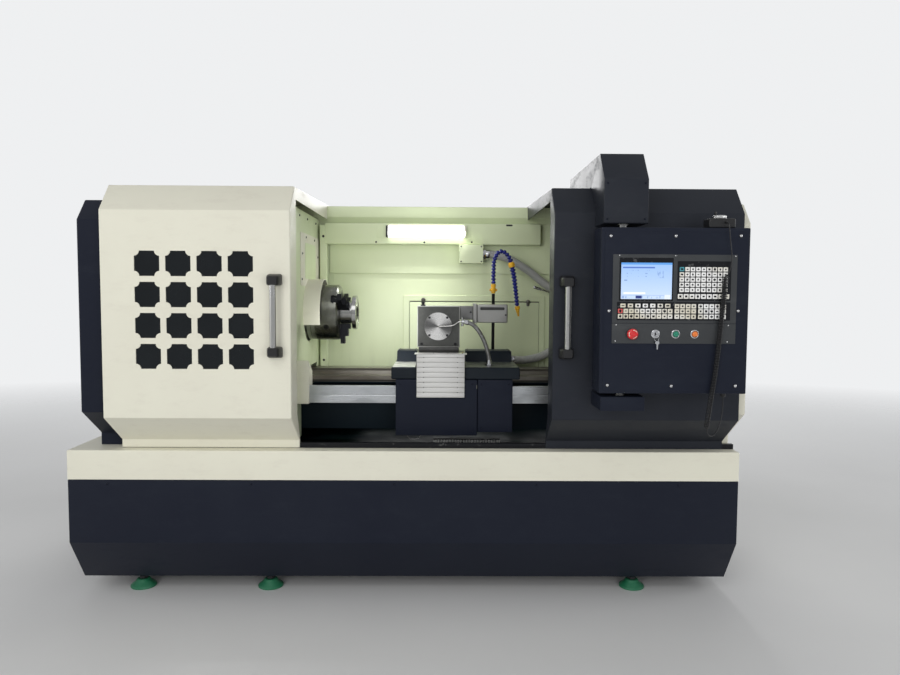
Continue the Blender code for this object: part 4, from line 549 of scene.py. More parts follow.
# Sliding hoods: covers folded from 3 mm sheet, open towards each other, running on a rail in front and on
# the back wall's channel. The left one is cream with sixteen notched windows, the right one dark blue-grey.
hood_sheet = 0.003
hood_line = [(0.052, 0.6134), (0.052, 0.645), (-0.104, 0.757), (-0.104, 1.537), (-0.0155, 1.639),
             (0.773, 1.6613), (0.781, 1.6615), (0.833, 1.663), (0.833, 1.623)]
hood_bend = 0.006
left_hood_x = (-1.129, -0.422)
right_hood_x = (0.563, 1.2745)
window_left, window_top, window_wide, window_pitch, window_count = -1.003, 1.386, 0.094, 0.116, 4


def offset_line(line, by):
    """An open line moved to its right by a distance, with mitred corners."""
    line = np.asarray(line, dtype=float)
    side = np.diff(line, axis=0)
    normal = np.stack([side[:, 1], -side[:, 0]], axis=1) / np.linalg.norm(side, axis=1)[:, None]
    before = np.concatenate([normal[:1], normal])
    after = np.concatenate([normal, normal[-1:]])
    return line + (before + after) * (by / (1 + np.sum(before * after, axis=1)))[:, None]


def fold_ring(line, x, inset, bend):
    """The bent profile at an X, moved inwards; depths become Y here."""
    flat = bent(offset_line(line, inset), max(bend - inset, 0.0008))
    flat[:, 0] = behind(flat[:, 0])
    return standing(flat, x, "x")


def fold_rows(line, x_plain, x_edge, stops, thick, bend):
    """Outer and inner rows from the plain end over the stops and round the bend at the other end."""
    side = math.copysign(1.0, x_edge - x_plain)
    angle = np.linspace(0, math.pi / 2, 5)
    outer = [fold_ring(line, x, 0.0, bend) for x in (x_plain, *stops)]
    inner = [fold_ring(line, x, thick, bend) for x in (x_plain, *stops)]
    outer += [fold_ring(line, x_edge - side * bend * (1 - math.sin(a)), bend * (1 - math.cos(a)), bend)
              for a in angle]
    inner += [fold_ring(line, x_edge - side * (bend - (bend - thick) * math.sin(a)),
                        bend - (bend - thick) * math.cos(a), bend) for a in angle]
    return outer, inner


def hood_patches(x_plain, x_edge, x_stops=(), z_stops=()):
    """A hood's skin, its edge flange with a mouth, and the sheet's edges; windows leave their block open."""
    line = hood_line[:3] + [(hood_line[2][0], z) for z in z_stops] + hood_line[3:]
    outer, inner = fold_rows(line, x_plain, x_edge, x_stops, hood_sheet, hood_bend)
    mouth = outer[-1].copy()
    flange_y, flange_z = behind(hood_line[2][0] + 0.110), hood_line[4][1] - 0.048
    mouth[:, 1] = np.maximum(mouth[:, 1], flange_y)
    mouth[:, 2] = np.minimum(mouth[:, 2], np.where(mouth[:, 1] < behind(0.777), flange_z, 1.6565))
    back_mouth = mouth + (inner[-1][:1, :1] - outer[-1][:1, :1]) * (1, 0, 0)
    rows = np.stack(outer + [mouth, back_mouth] + inner[::-1] + outer[:1])
    lip = (rows[..., 1] > behind(0.80)) & (rows[..., 2] < 1.656)
    rows[..., 1] = np.where(lip, np.maximum(rows[..., 1], behind(0.829)), rows[..., 1])
    caps = [rows[:-1, 0], rows[:-1, -1]]
    if not len(z_stops):
        return [rows, *caps]
    front = np.flatnonzero(np.isin(np.round(outer[0][:, 2], 6), np.round(z_stops, 6)))
    low, high = front[0], front[-1]
    last, end = len(x_stops), len(rows) - 1
    split = [rows[:, :low + 1], rows[:, high:], rows[last:end - last, low:high + 1], rows[:2, low:high + 1],
             rows[end - 2:, low:high + 1]]
    return split + caps


notch = window_wide * 0.2
notch_steps = 3
cell_half, window_half = window_pitch / 2, window_wide / 2
flat_half = window_half - notch
spread = (cell_half - flat_half) * np.arange(notch_steps + 1) / notch_steps + flat_half


def quarter_turns(quarter):
    """A quarter of an outline, repeated for the other three by turning it through 90, 180 and 270 degrees."""
    turns = [quarter, quarter[:, ::-1] * (-1, 1), quarter * (-1, -1), quarter[:, ::-1] * (1, -1)]
    return np.concatenate(turns + [quarter[:1]])


def window_outlines():
    """A cell's square outline and the window in it, point for point.

    A window's corner is a quarter circle of radius n about the square corner, turned inwards:
    (s + n cos a, s + n sin a) with a from 270 down to 180 degrees.
    """
    a = np.radians(np.linspace(270, 180, 2 * notch_steps + 1))
    hole = np.stack([window_half + notch * np.cos(a), window_half + notch * np.sin(a)], axis=1)
    square = np.concatenate([np.stack([0 * spread + cell_half, spread], 1),
                             np.stack([spread, 0 * spread + cell_half], 1)[-2::-1]])
    middle = np.array([[1.0, 0.0]])
    cell_line = np.concatenate([middle * cell_half, square])
    hole_line = np.concatenate([middle * window_half, hole])
    return quarter_turns(cell_line), quarter_turns(hole_line)


def window_patches():
    """Each window's sheet round the opening, front and back, with the opening's own walls."""
    square, hole = window_outlines()
    front, rear = behind(hood_line[2][0]), behind(hood_line[2][0] + hood_sheet)
    patches = []
    for row in range(window_count):
        for column in range(window_count):
            middle = (window_left + window_half + window_pitch * column,
                      window_top - window_half - window_pitch * row)
            patches.append(np.stack([standing(ring + middle, y, "y") for ring, y in (
                (square, front), (hole, front), (hole, rear),
                (square, rear))]))
    return patches


cell_stops = np.unique(np.round(np.concatenate([[0.0], spread, -spread]), 9))
block_x = np.unique(np.round([window_left + window_half + window_pitch * n + cell_stops
                              for n in range(window_count)], 7))
block_z = np.unique(np.round([window_top - window_half - window_pitch * n + cell_stops
                              for n in range(window_count)], 7))
piece("left_hood_skin", hood_patches(*left_hood_x, block_x, block_z) + window_patches(), cream_coat,
      "left_hood", "left_hood", merge=2e-5)
# A lighter copy of the navy coat for the right hood and duct: painted light, for the brighter sheen they
# show.
lit_navy = powder_coat("hood_navy_coat", (0.0165, 0.0190, 0.0260), (0.030, 0.033, 0.040), 0.42, 0.00006,
                        0.22)
piece("right_hood_skin", hood_patches(*right_hood_x[::-1]), lit_navy, "right_hood", "right_hood")


def moulded_black(name="moulded_black", roughness=0.42):
    """Fine-grained black moulding."""
    finish = Finish(name, (0.012, 0.012, 0.013), roughness)
    grain = finish.noise(1400.0, 2.0)
    return finish.wear(Roughness=finish.noise(14.0) * 0.16 + (roughness - 0.08),
                       Normal=finish.bump(grain, 0.00005))


black_moulding = moulded_black()


def shoe_set(name, x_span, body):
    """Plastic runners on the rail in front and on the channel at the rear."""
    patches = []
    for start in (x_span[0] + 0.030, x_span[1] - 0.090):
        patches += rounded_block((start, behind(0.0545), 0.6316), (start + 0.060, behind(0.0763), 0.642),
                                 0.0015)
        patches += rounded_block((start, behind(0.790), 1.6553), (start + 0.060, behind(0.820), 1.6594),
                                 0.001)
    piece(name, patches, black_moulding, body)


shoe_set("left_shoes", left_hood_x, "left_hood")
shoe_set("right_shoes", right_hood_x, "right_hood")


def pane_tint():
    """Dark polycarbonate: deep, glossy, with faint vertical streaks from wiping."""
    finish = Finish("dark_pane", (0.0045, 0.0065, 0.0080), 0.10, Specular_IOR_Level=0.25, Coat_Weight=0.1)
    streak = finish.noise(60.0, 3.0, (1, 1, 0.06)).above(0.55, 0.25)
    dust = finish.noise(5.0, 5.0).above(0.55, 0.4)
    return finish.wear(Base_Color=finish.mix(dust * 0.4, finish.base, (0.012, 0.015, 0.018, 1)),
                       Roughness=streak * 0.10 + 0.07)


def coat_node(node, material):
    """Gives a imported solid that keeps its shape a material."""
    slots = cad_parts[node].material_slots
    if slots:
        slots[0].material = material
    else:
        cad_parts[node].data.materials.append(material)


coat_node("window_pane", pane_tint())


def stainless(name, grain_along, colour=(0.56, 0.56, 0.55), roughness=0.30, scale=500.0):
    """Brushed stainless steel: fine grain drawn out along one axis, a few stains and finger marks."""
    finish = Finish(name, colour, roughness, Metallic=1.0)
    stretch = tuple(0.02 if axis == grain_along else 1.0 for axis in "xyz")
    grain = finish.noise(scale, 2.0, stretch)
    marks = finish.noise(7.0, 4.0).above(0.56, 0.3)
    return finish.wear(Roughness=grain * 0.22 + marks * 0.12 + (roughness - 0.12),
                       Normal=finish.bump(grain, 0.00006),
                       Base_Color=finish.mix(marks * 0.35, (*colour, 1),
                                             (colour[0] * 0.7, colour[1] * 0.69, colour[2] * 0.66, 1)))


handle_steel = stainless("handle_stainless", "z", roughness=0.26)


def handle_set(name, x_span, body):
    """A stainless tube between two moulded black end brackets that reach out from the hood's face."""
    middle = (x_span[0] + x_span[1]) / 2
    front, face = behind(-0.164), behind(-0.104)
    tube_y = front + 0.014
    brackets = []
    for low, high, inner in ((0.987, 1.031, 1.031), (1.259, 1.303, 1.259)):
        rows = []
        tip = 1 if inner == low else -1
        for share in np.linspace(0, 1, 9):
            reach = face + (front - face) * share
            swell = 1 - 0.30 * share ** 2
            half = np.array([0.0275 * swell, 0.022 * (1 - 0.18 * share)])
            if share in (0.0, 1.0):
                half = half - 0.003
            centre = np.array([middle, (low + high) / 2 - tip * 0.004 * share])
            ring = closed_bend(rectangle(centre - half, centre + half), 0.008 if 0 < share < 1 else 0.006, 4)
            rows.append(standing(np.concatenate([ring, ring[:1]]), reach, "y"))
        brackets += [np.stack(rows), rows[0][:-1], rows[-1][:-1]]
    piece(name + "_brackets", brackets, black_moulding, body, name, sharp=50)
    piece(name + "_tube", [turned([(1.012, 0.0), (1.012, 0.0120), (1.278, 0.0120), (1.278, 0.0)],
                                  (middle, tube_y, 0), "z", 28)], handle_steel, body, name)


handle_set("left_handle", (-0.506, -0.451), "left_hood")
handle_set("right_handle", (0.584, 0.639), "right_hood")

# Cable duct and lower bracket: folded boxes welded to the right hood's roof and face, which carry the
# control box's two swivel pins.
duct_line = [(-0.250, 1.484), (-0.1030, 1.484), (-0.1030, 1.537), (-0.0160, 1.6405), (0.505, 1.6550),
             (0.450, 1.742), (-0.170, 1.742), (-0.250, 1.640)]


def in_depth(line):
    """A side view's (depth, height) points with the depth turned into Y."""
    return np.asarray(line, dtype=float) + (tray_front, 0)


piece("cable_duct", slab(closed_bend(in_depth(duct_line), 0.005), 0.715, 0.873, "x", 0.0025, 3),
      lit_navy, "right_hood")
piece("box_bracket",
      rounded_block((0.711, behind(-0.270), 0.818), (0.869, behind(-0.1035), 0.870), 0.003), navy_coat,
      "right_hood")
screw_set("duct_screws", [(x, behind(-0.2505), z) for x in (0.727, 0.861) for z in (1.500, 1.626)], "y",
          -1, 0.0040, navy_coat, "right_hood")

# Fixed covers: folded sheet round the headstock and the tailstock, a size smaller than the hoods, with a dark
# blue-grey cover over the belts at the left end. The hoods slide over them.
cover_foot, cover_roof = 0.6116, 1.586
cover_line = [(0.108, cover_foot), (0.108, 0.660), (-0.050, 0.770), (-0.050, 1.506), (0.020, cover_roof),
              (0.782, cover_roof)]
cover_sheet = 0.003
cover_bend = 0.006


def walled_cover(line, x_plain, x_wall, corner=None):
    """A folded cover with a wall at one end, whose rims are flat; corner is the wall's lower rear corner."""
    outer, inner = fold_rows(line, x_plain, x_wall, (), cover_sheet, cover_bend)
    outer, inner = np.stack(outer), np.stack(inner)
    patches = [outer, inner, np.stack([outer[0], inner[0]])]
    if corner is None:
        rim = np.concatenate([outer[:, 0], outer[::-1, -1], inner[:, -1], inner[::-1, 0]])
        return patches + [outer[-1], inner[-1], rim]
    tails = [np.array([[ring[0, 0], behind(corner[0]), corner[1]]]) for ring in (outer[-1], inner[-1])]
    walls = [np.concatenate([ring, tail]) for ring, tail in zip((outer[-1], inner[-1]), tails)]
    rims = [np.concatenate([outer[:, column], tails[0], tails[1], inner[::-1, column]]) for column in (0, -1)]
    return patches + walls + rims


end_line = cover_line[:-1] + [(0.860, cover_roof), (0.860, cover_foot)]
piece("belt_cover", walled_cover(end_line, -1.130, -1.240), navy_coat, "machine", "left_end_cover")
cover_outside = bent(cover_line, cover_bend)
cover_inside = bent(offset_line(cover_line, cover_sheet), cover_bend - cover_sheet)
piece("headstock_shell", slab(in_depth(np.concatenate([cover_outside, cover_inside[::-1]])),
                              -1.1297, -0.4665, "x", 0.0005, 1), cream_coat, "machine", "headstock_cover")
piece("tailstock_shell", walled_cover(cover_line, 0.780, 1.322, (0.782, cover_foot)), cream_coat, "machine",
      "right_end_cover")
screw_set("end_cover_screws", [(-1.2405, behind(y), z) for y in (0.0, 0.43, 0.83)
                               for z in (0.70, 1.12, 1.54) if (y, z) != (0.0, 0.70)], "x", -1, 0.0045,
          black_screw, "machine")

# Partition between headstock and work area: sheet with a hole for the spindle nose and a pass for the bed.
# On it sit the chuck's shroud, the lead screw's end box and a bolted window plate.
GREEN_WHITE = (0.680, 0.755, 0.500)
partition_left, partition_right = -0.4662, -0.4632
spindle_y, spindle_high = behind(0.500), 1.142


def mist_coat():
    """Light green enamel in the work area, splashed low down with coolant and dulled by oil mist."""
    finish = Finish("light_green_enamel", GREEN_WHITE, 0.36)
    peel = finish.noise(300.0, 2.0)
    cloud = finish.noise(3.2, 5.0, (1, 1, 0.5), 0.6).above(0.5, 0.5)
    runs = finish.noise(26.0, 4.0, (1, 1, 0.09)).above(0.58, 0.2)
    low = 1.0 - finish.axis("Z").above(0.86, 0.35)
    shade = finish.mix(cloud * 0.30 + runs * low * 0.45, finish.base, (0.50, 0.54, 0.36, 1))
    return finish.wear(Base_Color=shade, Roughness=cloud * 0.16 + runs * low * 0.2 + 0.26,
                       Normal=finish.bump(peel, 0.00008))


green_coat = mist_coat()


def with_hole(outline, centre, radius, low, high, across, sides=64):
    """A plate with a round hole: two half faces that meet above and below it, the rim and the hole's wall."""
    outline = np.asarray(outline, dtype=float)
    angle = np.linspace(-math.pi / 2, 3 * math.pi / 2, sides + 1)
    ring = np.stack([centre[0] + radius * np.cos(angle), centre[1] + radius * np.sin(angle)], axis=1)
    right_side = outline[:, 0] > centre[0] + 1e-6
    left_side = outline[:, 0] < centre[0] - 1e-6
    seam = outline[~right_side & ~left_side]
    seam = seam[np.argsort(seam[:, 1])]
    start = int(np.flatnonzero((outline == seam[0]).all(axis=1))[0])
    walk = np.roll(outline, -start, axis=0)
    top = int(np.flatnonzero((walk == seam[1]).all(axis=1))[0])
    first = np.concatenate([walk[:top + 1], ring[:sides // 2 + 1][::-1]])
    second = np.concatenate([walk[top:], walk[:1], ring[sides // 2:][::-1]])
    closed = np.concatenate([outline, outline[:1]])
    patches = [np.stack([standing(edge, depth, across) for depth in (low, high)]) for edge in (closed, ring)]
    return patches + [standing(half, depth, across) for half in (first, second) for depth in (low, high)]


partition_line = [(0.500, 0.896), (0.706, 0.896), (0.706, cover_foot), (0.782, cover_foot),
                  (0.782, cover_roof), (0.500, cover_roof), (0.020, cover_roof), (-0.050, 1.506),
                  (-0.050, 0.770), (0.108, 0.660), (0.108, cover_foot), (0.297, cover_foot),
                  (0.297, 0.896)]
piece("partition_plate", with_hole(in_depth(partition_line), (spindle_y, spindle_high), 0.132,
                                   partition_left, partition_right, "x"), green_coat, "machine",
      "headstock_partition")


def shroud_section():
    """A horseshoe of sheet round the chuck: an arc of 221 degrees and the same arc a sheet further in."""
    arcs = []
    for radius in (0.150, 0.147):
        drop = math.asin((spindle_high - 1.090) / radius)
        angle = np.linspace(-drop, math.pi + drop, 65)
        arcs.append(np.stack([spindle_y + radius * np.cos(angle), spindle_high + radius * np.sin(angle)],
                             axis=1))
    return np.concatenate([arcs[0], arcs[1][::-1]])


piece("chuck_shroud", slab(shroud_section(), partition_right + 0.0002, -0.390, "x", 0.0006, 1),
      cream_coat, "machine", "headstock_partition")
end_box_line = [(0.205, 0.765), (0.296, 0.765), (0.296, 0.897), (0.205, 0.950)]
piece("screw_end_box",
      slab(closed_bend(in_depth(end_box_line), 0.003), partition_right + 0.0002, -0.4135, "x", 0.002),
      cream_coat, "machine", "headstock_partition")
plate_line = rectangle((behind(0.300), 1.262), (behind(0.745), 1.492))
piece("window_plate", slab(closed_bend(plate_line, 0.010), partition_right + 0.0002,
                           partition_right + 0.0032, "x", 0.0008), cream_coat, "machine")
plate_glass = rectangle((behind(0.392), 1.292), (behind(0.655), 1.452))
piece("window_glass", slab(closed_bend(plate_glass, 0.018), partition_right + 0.0034,
                           partition_right + 0.0044, "x", 0.0003, 1), mist_coat(), "machine")
plate_screws = [(0.334, 1.401), (0.320, 1.290), (0.464, 1.278), (0.600, 1.278), (0.720, 1.290),
                (0.720, 1.401), (0.630, 1.476), (0.420, 1.476)]
screw_set("partition_screws", [(partition_right + 0.003, behind(y), z) for y, z in plate_screws], "x", 1,
          0.0052, black_screw, "machine")
cover_screws = [(0.291, 1.560), (0.470, 1.560), (0.686, 1.560), (0.150, 1.020), (0.150, 1.300)]
screw_set("edge_screws", [(partition_right, behind(y), z) for y, z in cover_screws], "x", 1, 0.0052,
          black_screw, "machine")

# Back wall: green enamelled sheet folded into a channel at its top, with three vertical seams, a boxed beam
# that carries the work lamp, a junction box, and an access panel in a raised frame with two cam latches.


def bent_plate(low, high, radius, near, far, across, edge=0.001, steps=2, bend=4):
    """A rectangular plate with rounded corners, from near to far along the axis across it."""
    return slab(closed_bend(rectangle(low, high), radius, bend), near, far, across, edge, steps)


wall_face = 0.7998
wall_line = [(0.800, cover_foot), (0.803, cover_foot), (0.803, 1.574), (0.827, 1.600), (0.827, 1.655),
             (0.785, 1.655), (0.785, 1.602), (0.800, 1.576)]
piece("wall_sheet", slab(closed_bend(in_depth(wall_line), 0.003, 3), -1.1297, 1.322, "x", 0.0006, 1),
      green_coat, "machine", "back_wall")
seam_x = (-0.392, -0.352, 0.705)
for number, x in enumerate(seam_x):
    seam = slab(rectangle((x, 0.640), (x + 0.0016, 1.560)), behind(0.7978), behind(wall_face), "y", 0.0004, 1)
    piece("wall_seam_%d" % (number + 1), seam, green_coat, "machine")
step_line = [(0.7890, 1.327), (wall_face, 1.327), (wall_face, 1.572), (0.7890, 1.572)]
piece("wall_step", slab(closed_bend(in_depth(step_line), 0.0025, 3), -0.411, 1.300, "x", 0.0006),
      green_coat, "machine")
beam_line = [(0.740, 1.468), (wall_face, 1.468), (wall_face, 1.570), (0.740, 1.570)]
piece("lamp_beam", slab(closed_bend(in_depth(beam_line), 0.005, 4), -0.427, 0.623, "x", 0.0012),
      green_coat, "machine")
beam_seat = behind(0.740)
screw_set("beam_screws",
          [(x, beam_seat - 0.0002, z) for x, z in ((-0.179, 1.4785), (0.056, 1.4785), (0.287, 1.480))],
          "y", -1, 0.0048, black_screw, "machine")
# A black plate stands for the slot in the beam: painted shade of its opening.
piece("beam_slot", bent_plate((0.455, 1.5585), (0.486, 1.5665), 0.0039, beam_seat - 0.0006,
                              beam_seat - 0.0001, "y", 0.0002, 1), black_moulding, "machine")


def lamp_glow():
    """The diffuser of a fluorescent work lamp, brightest along the tube behind it."""
    finish = Finish("lamp_glow", (0.95, 0.98, 0.96), 0.35)
    finish.shader.inputs["Emission Strength"].default_value = 12.0
    across = (finish.axis("Z") - 1.529) * (1 / 0.029)
    tube = 1.0 - across * across
    ends = finish.axis("X").between(-0.118, 0.248, 0.02)
    level = tube * ends * 0.75 + 0.25
    return finish.wear(Emission_Color=finish.mix(level, (0.25, 0.27, 0.26, 1), (0.98, 1.0, 0.97, 1)))


lamp_patches = bent_plate((behind(0.7155), 1.502), (behind(0.7385), 1.556), 0.009, -0.124, 0.254, "x",
                          0.003, bend=5)
piece("lamp_diffuser", lamp_patches, lamp_glow(), "machine", "work_lamp")
lamp_base = bent_plate((-0.176, 1.4965), (0.283, 1.5615), 0.004, behind(0.7376), behind(0.7397), "y", 0.0006)
piece("lamp_fixture", lamp_base, green_coat, "machine")
for name, x in (("lamp_cap_left", -0.124), ("lamp_cap_right", 0.254)):
    cap = bent_plate((behind(0.7145), 1.5005), (behind(0.7370), 1.5575), 0.009, x - 0.006, x + 0.006, "x",
                     0.0015, bend=5)
    piece(name, cap, black_moulding if x < 0 else cream_coat, "machine")

junction_low, junction_high = (0.227, behind(0.7000), 1.377), (0.341, behind(0.7995), 1.465)
piece("junction_box",
      rounded_block((junction_low[0], behind(0.7065), junction_low[2]), junction_high, 0.003), green_coat,
      "machine")
lid = bent_plate((junction_low[0] - 0.0010, 1.3765), (junction_high[0] + 0.0005, 1.4655), 0.004,
                 junction_low[1], behind(0.7060), "y", 0.0015)
piece("junction_lid", lid, green_coat, "machine")
screw_set("lid_screws",
          [(x, junction_low[1] + 0.0005, z) for x in (0.235, 0.333) for z in (1.385, 1.457)], "y", -1,
          0.0036, black_screw, "machine")


def ring_plate(outer_low, outer_high, border, low, high, corner, edge=0.0008):
    """A rectangular frame in the XZ plane with rounded edges, walked round as one closed section."""
    section = [(0.0, high), (0.0, low + edge), (edge, low), (border - edge, low), (border, low + edge),
               (border, high), (0.0, high)]
    rings = []
    for inward, depth in section:
        ring = closed_bend(rectangle((outer_low[0] + inward, outer_low[1] + inward),
                                     (outer_high[0] - inward, outer_high[1] - inward)),
                           max(corner - inward, 0.0015), 4)
        rings.append(standing(np.concatenate([ring, ring[:1]]), depth, "y"))
    return [np.stack(rings)]


piece("access_frame",
      ring_plate((-0.048, 0.770), (0.657, 1.221), 0.0300, behind(0.7935), behind(0.7997), 0.006, 0.0024),
      green_coat, "machine", "access_panel")
piece("access_plate",
      bent_plate((-0.0165, 0.802), (0.6255, 1.1868), 0.005, behind(0.7905), behind(0.7930), "y", 0.0010),
      green_coat, "machine", "access_panel")
# The seal shows round the plate, widest along the top, where its black also paints the shadow line there.
piece("access_seal", bent_plate((-0.0176, 0.8004), (0.6266, 1.1906), 0.004, behind(0.7932),
                                behind(0.7995), "y", 0.0005, 1), black_moulding, "machine")


def dull_steel(name, colour=(0.20, 0.20, 0.195), roughness=0.38):
    """Plated or turned steel with a thin, uneven oil film."""
    finish = Finish(name, colour, roughness, Metallic=1.0)
    film = finish.noise(22.0, 4.0)
    fine = finish.noise(700.0, 2.0)
    return finish.wear(Roughness=film * 0.24 + (roughness - 0.12), Normal=finish.bump(fine, 0.00004),
                       Base_Color=finish.mix(film.above(0.5, 0.5), finish.base,
                                             tuple(0.72 * part for part in colour) + (1,)))


latch_steel = dull_steel("latch_steel", (0.30, 0.29, 0.26))
latch_patches = []
for x, z in ((0.051, 1.1975), (0.571, 1.190)):
    latch_patches.append(turned([(0.7905, 0.0), (0.7862, 0.0), (0.7862, 0.0085), (0.7852, 0.0105),
                                 (0.7840, 0.0105), (0.7825, 0.0090), (0.7815, 0.0060),
                                 (0.7815, 0.0)][::-1], (x, tray_front, z), "y", 20))
    latch_patches += bent_plate((x - 0.0075, z - 0.021), (x + 0.0075, z + 0.008), 0.005, behind(0.7866),
                                behind(0.7890), "y", 0.0006)
piece("panel_latches", latch_patches, latch_steel, "machine", sharp=30)
corner_line = [(-0.454, 0.7425), (-0.419, 0.7425), (-0.419, 0.7785), (-0.454, 0.7785)]
corner_post = slab(closed_bend(np.array(corner_line) + (0, tray_front), 0.003), 0.640, 1.560, "z", 0.001)
piece("corner_post", corner_post, green_coat, "machine")
piece("post_foot",
      slab(rectangle((-0.458, behind(0.7390)), (-0.4135, behind(wall_face))), cover_foot, 0.640, "z", 0.0006),
      green_coat, "machine")
screw_set("post_screws", [(-0.4365, behind(0.7424), z) for z in (0.900, 1.505)], "y", -1, 0.0060,
          black_screw, "machine")

# Chuck, backplate, jaws and gripped ring: turned from steel, the faces with fine radial feed marks. The
# body has three T-slots across its face and a square key socket between each pair, the jaws are hardened
# and black.


def turned_steel(name, colour=(0.34, 0.345, 0.31), roughness=0.24, pitch=2600.0, face=True):
    """Turned steel: feed marks at a fine pitch along the axis, and fans of light where the face is dead flat.

    The fans follow cos 2a round the spindle, as two opposite sectors of concentric marks catch a lamp.
    """
    finish = Finish(name, colour, roughness, Metallic=1.0)
    y, z = finish.axis("Y") - spindle_y, finish.axis("Z") - spindle_high
    radius = (y * y + z * z).math("SQRT", 0.0)
    marks = finish.node("ShaderNodeTexNoise", {"noise_dimensions": "1D"},
                        {"W": (radius * 1.0 + finish.axis("X")) * pitch, "Detail": 2.0})
    smear = finish.noise(18.0, 4.0).above(0.5, 0.5)
    shade = smear * 0.35
    if face:
        fan = z.math("ARCTAN2", y) * 2.0
        shade = shade + (fan.math("COSINE", 0.0) * 0.5 + 0.5) * 0.35
    return finish.wear(Base_Color=finish.mix(shade, finish.base,
                                             tuple(0.42 * part for part in colour) + (1,)),
                       Roughness=marks * 0.16 + smear * 0.08 + (roughness - 0.10),
                       Normal=finish.bump(marks, 0.00004))


chuck_steel = turned_steel("chuck_steel")
# Dark steel for the sunk key pinions and the motor slot's floor, partly painted shade of these recesses.
dark_bore = dull_steel("bore_steel", (0.10, 0.10, 0.10), 0.5)


def lathe_piece(name, profile, material, body, node=None, sides=96, sharp=30, centre=None, axis="x"):
    """A closed profile of (along, radius) points turned about the spindle's axis."""
    place = (0, spindle_y, spindle_high) if centre is None else centre
    return piece(name, [turned(profile, place, axis, sides)], material, body, node, sharp)


def carved(obj, *cutters):
    """Cuts closed pieces out of a piece with exact Booleans and removes them."""
    for cutter in cutters:
        step = obj.modifiers.new("cut", "BOOLEAN")
        step.object = cutter
        step.solver = "EXACT"
    mesh = bpy.data.meshes.new_from_object(obj.evaluated_get(bpy.context.evaluated_depsgraph_get()))
    obj.modifiers.clear()
    obj.data = mesh
    mesh.shade_smooth()
    mesh.set_sharp_from_angle(angle=math.radians(30))
    for cutter in cutters:
        bpy.data.objects.remove(cutter)
    return obj


chuck_back, chuck_front, chuck_radius, chuck_bore = -0.420, -0.318, 0.125, 0.036
chuck_line = [(chuck_back, chuck_bore), (chuck_back, 0.1235), (chuck_back + 0.0015, chuck_radius),
              (-0.3935, chuck_radius), (-0.3930, chuck_radius - 0.0008), (-0.3905, chuck_radius - 0.0008),
              (-0.3900, chuck_radius), (-0.3250, chuck_radius), (chuck_front, 0.1180),
              (chuck_front, 0.0560), (chuck_front - 0.0015, 0.0545), (chuck_front - 0.0015, 0.0420),
              (chuck_front, 0.0405), (chuck_front, chuck_bore + 0.001), (chuck_front - 0.001, chuck_bore),
              (chuck_back, chuck_bore)]
jaw_angles = tuple(math.radians(angle) for angle in (270, 150, 30))


def spun(points, angle):
    """Points as (X, outwards, sideways) set round the spindle: outwards lies at an angle from the rear."""
    points = np.asarray(points, dtype=float)
    out, side = points[..., 1], points[..., 2]
    y = spindle_y + out * math.cos(angle) - side * math.sin(angle)
    z = spindle_high + out * math.sin(angle) + side * math.cos(angle)
    return np.stack([points[..., 0], y, z], axis=-1)


def spun_slab(outline, half, angle, edge=0.0006):
    """A plate of an (X, outwards) outline, set round the spindle at an angle."""
    return [spun(patch, angle) for patch in slab(outline, -half, half, "z", edge, 1)]


def radial_rod(x, start, end, radius, angle, side=0.0, sides=16):
    """A closed round rod that points away from the spindle's axis."""
    rod = turned([(start, 0.0), (start, radius), (end, radius), (end, 0.0)], (0, 0, 0), "y",
                 sides) + (x, 0, side)
    return spun(rod, angle)


chuck_body = lathe_piece("chuck_body_skin", chuck_line, chuck_steel, "spindle", "chuck_body")
slot_half, slot_root = 0.0173, -0.3483
cutters = []
for angle in jaw_angles:
    slot_line = [(slot_root, 0.0548), (chuck_front + 0.02, 0.0548), (chuck_front + 0.02, 0.145),
                 (slot_root, 0.145)]
    rib_line = [(-0.3420, 0.0548), (-0.3350, 0.0548), (-0.3350, 0.145), (-0.3420, 0.145)]
    cutters.append(piece("slot_cutter", spun_slab(slot_line, slot_half, angle, 0.0001), dark_bore))
    cutters.append(piece("rib_cutter", spun_slab(rib_line, slot_half + 0.004, angle, 0.0001), dark_bore))
    cutters.append(piece("key_cutter", [radial_rod(-0.3690, 0.100, 0.140, 0.0128, angle + math.pi / 3)],
                         dark_bore))
    for turn in (-0.32, 0.32):
        cutters.append(piece("bolt_cutter", [turned([(-0.333, 0.0), (-0.333, 0.0075), (-0.30, 0.0075),
                                                     (-0.30, 0.0)],
                                                    spun((0, 0.094, 0), angle + math.pi / 3 + turn), "x",
                                                    20)], dark_bore))
carved(chuck_body, *cutters)
key_patches, bolt_patches = [], []
for angle in jaw_angles:
    key = angle + math.pi / 3
    hub = turned([(0.100, 0.0), (0.100, 0.0124), (0.1205, 0.0124), (0.1205, 0.0075), (0.112, 0.0075),
                  (0.112, 0.0)], (0, 0, 0), "y", 24)
    key_patches.append(spun(hub + (-0.3690, 0, 0), key))
    for turn in (-0.32, 0.32):
        bolt = [(-0.3325, 0.0), (-0.3325, 0.0068), (-0.3240, 0.0068), (-0.3232, 0.0060),
                (-0.3232, 0.0034), (-0.3275, 0.0034), (-0.3275, 0.0)]
        bolt_patches.append(turned(bolt, spun((0, 0.094, 0), key + turn), "x", 18))
piece("chuck_keys", key_patches, dark_bore, "spindle", sharp=30)
piece("chuck_bolts", bolt_patches, black_screw, "spindle", sharp=30)
ring_seat = -0.3177


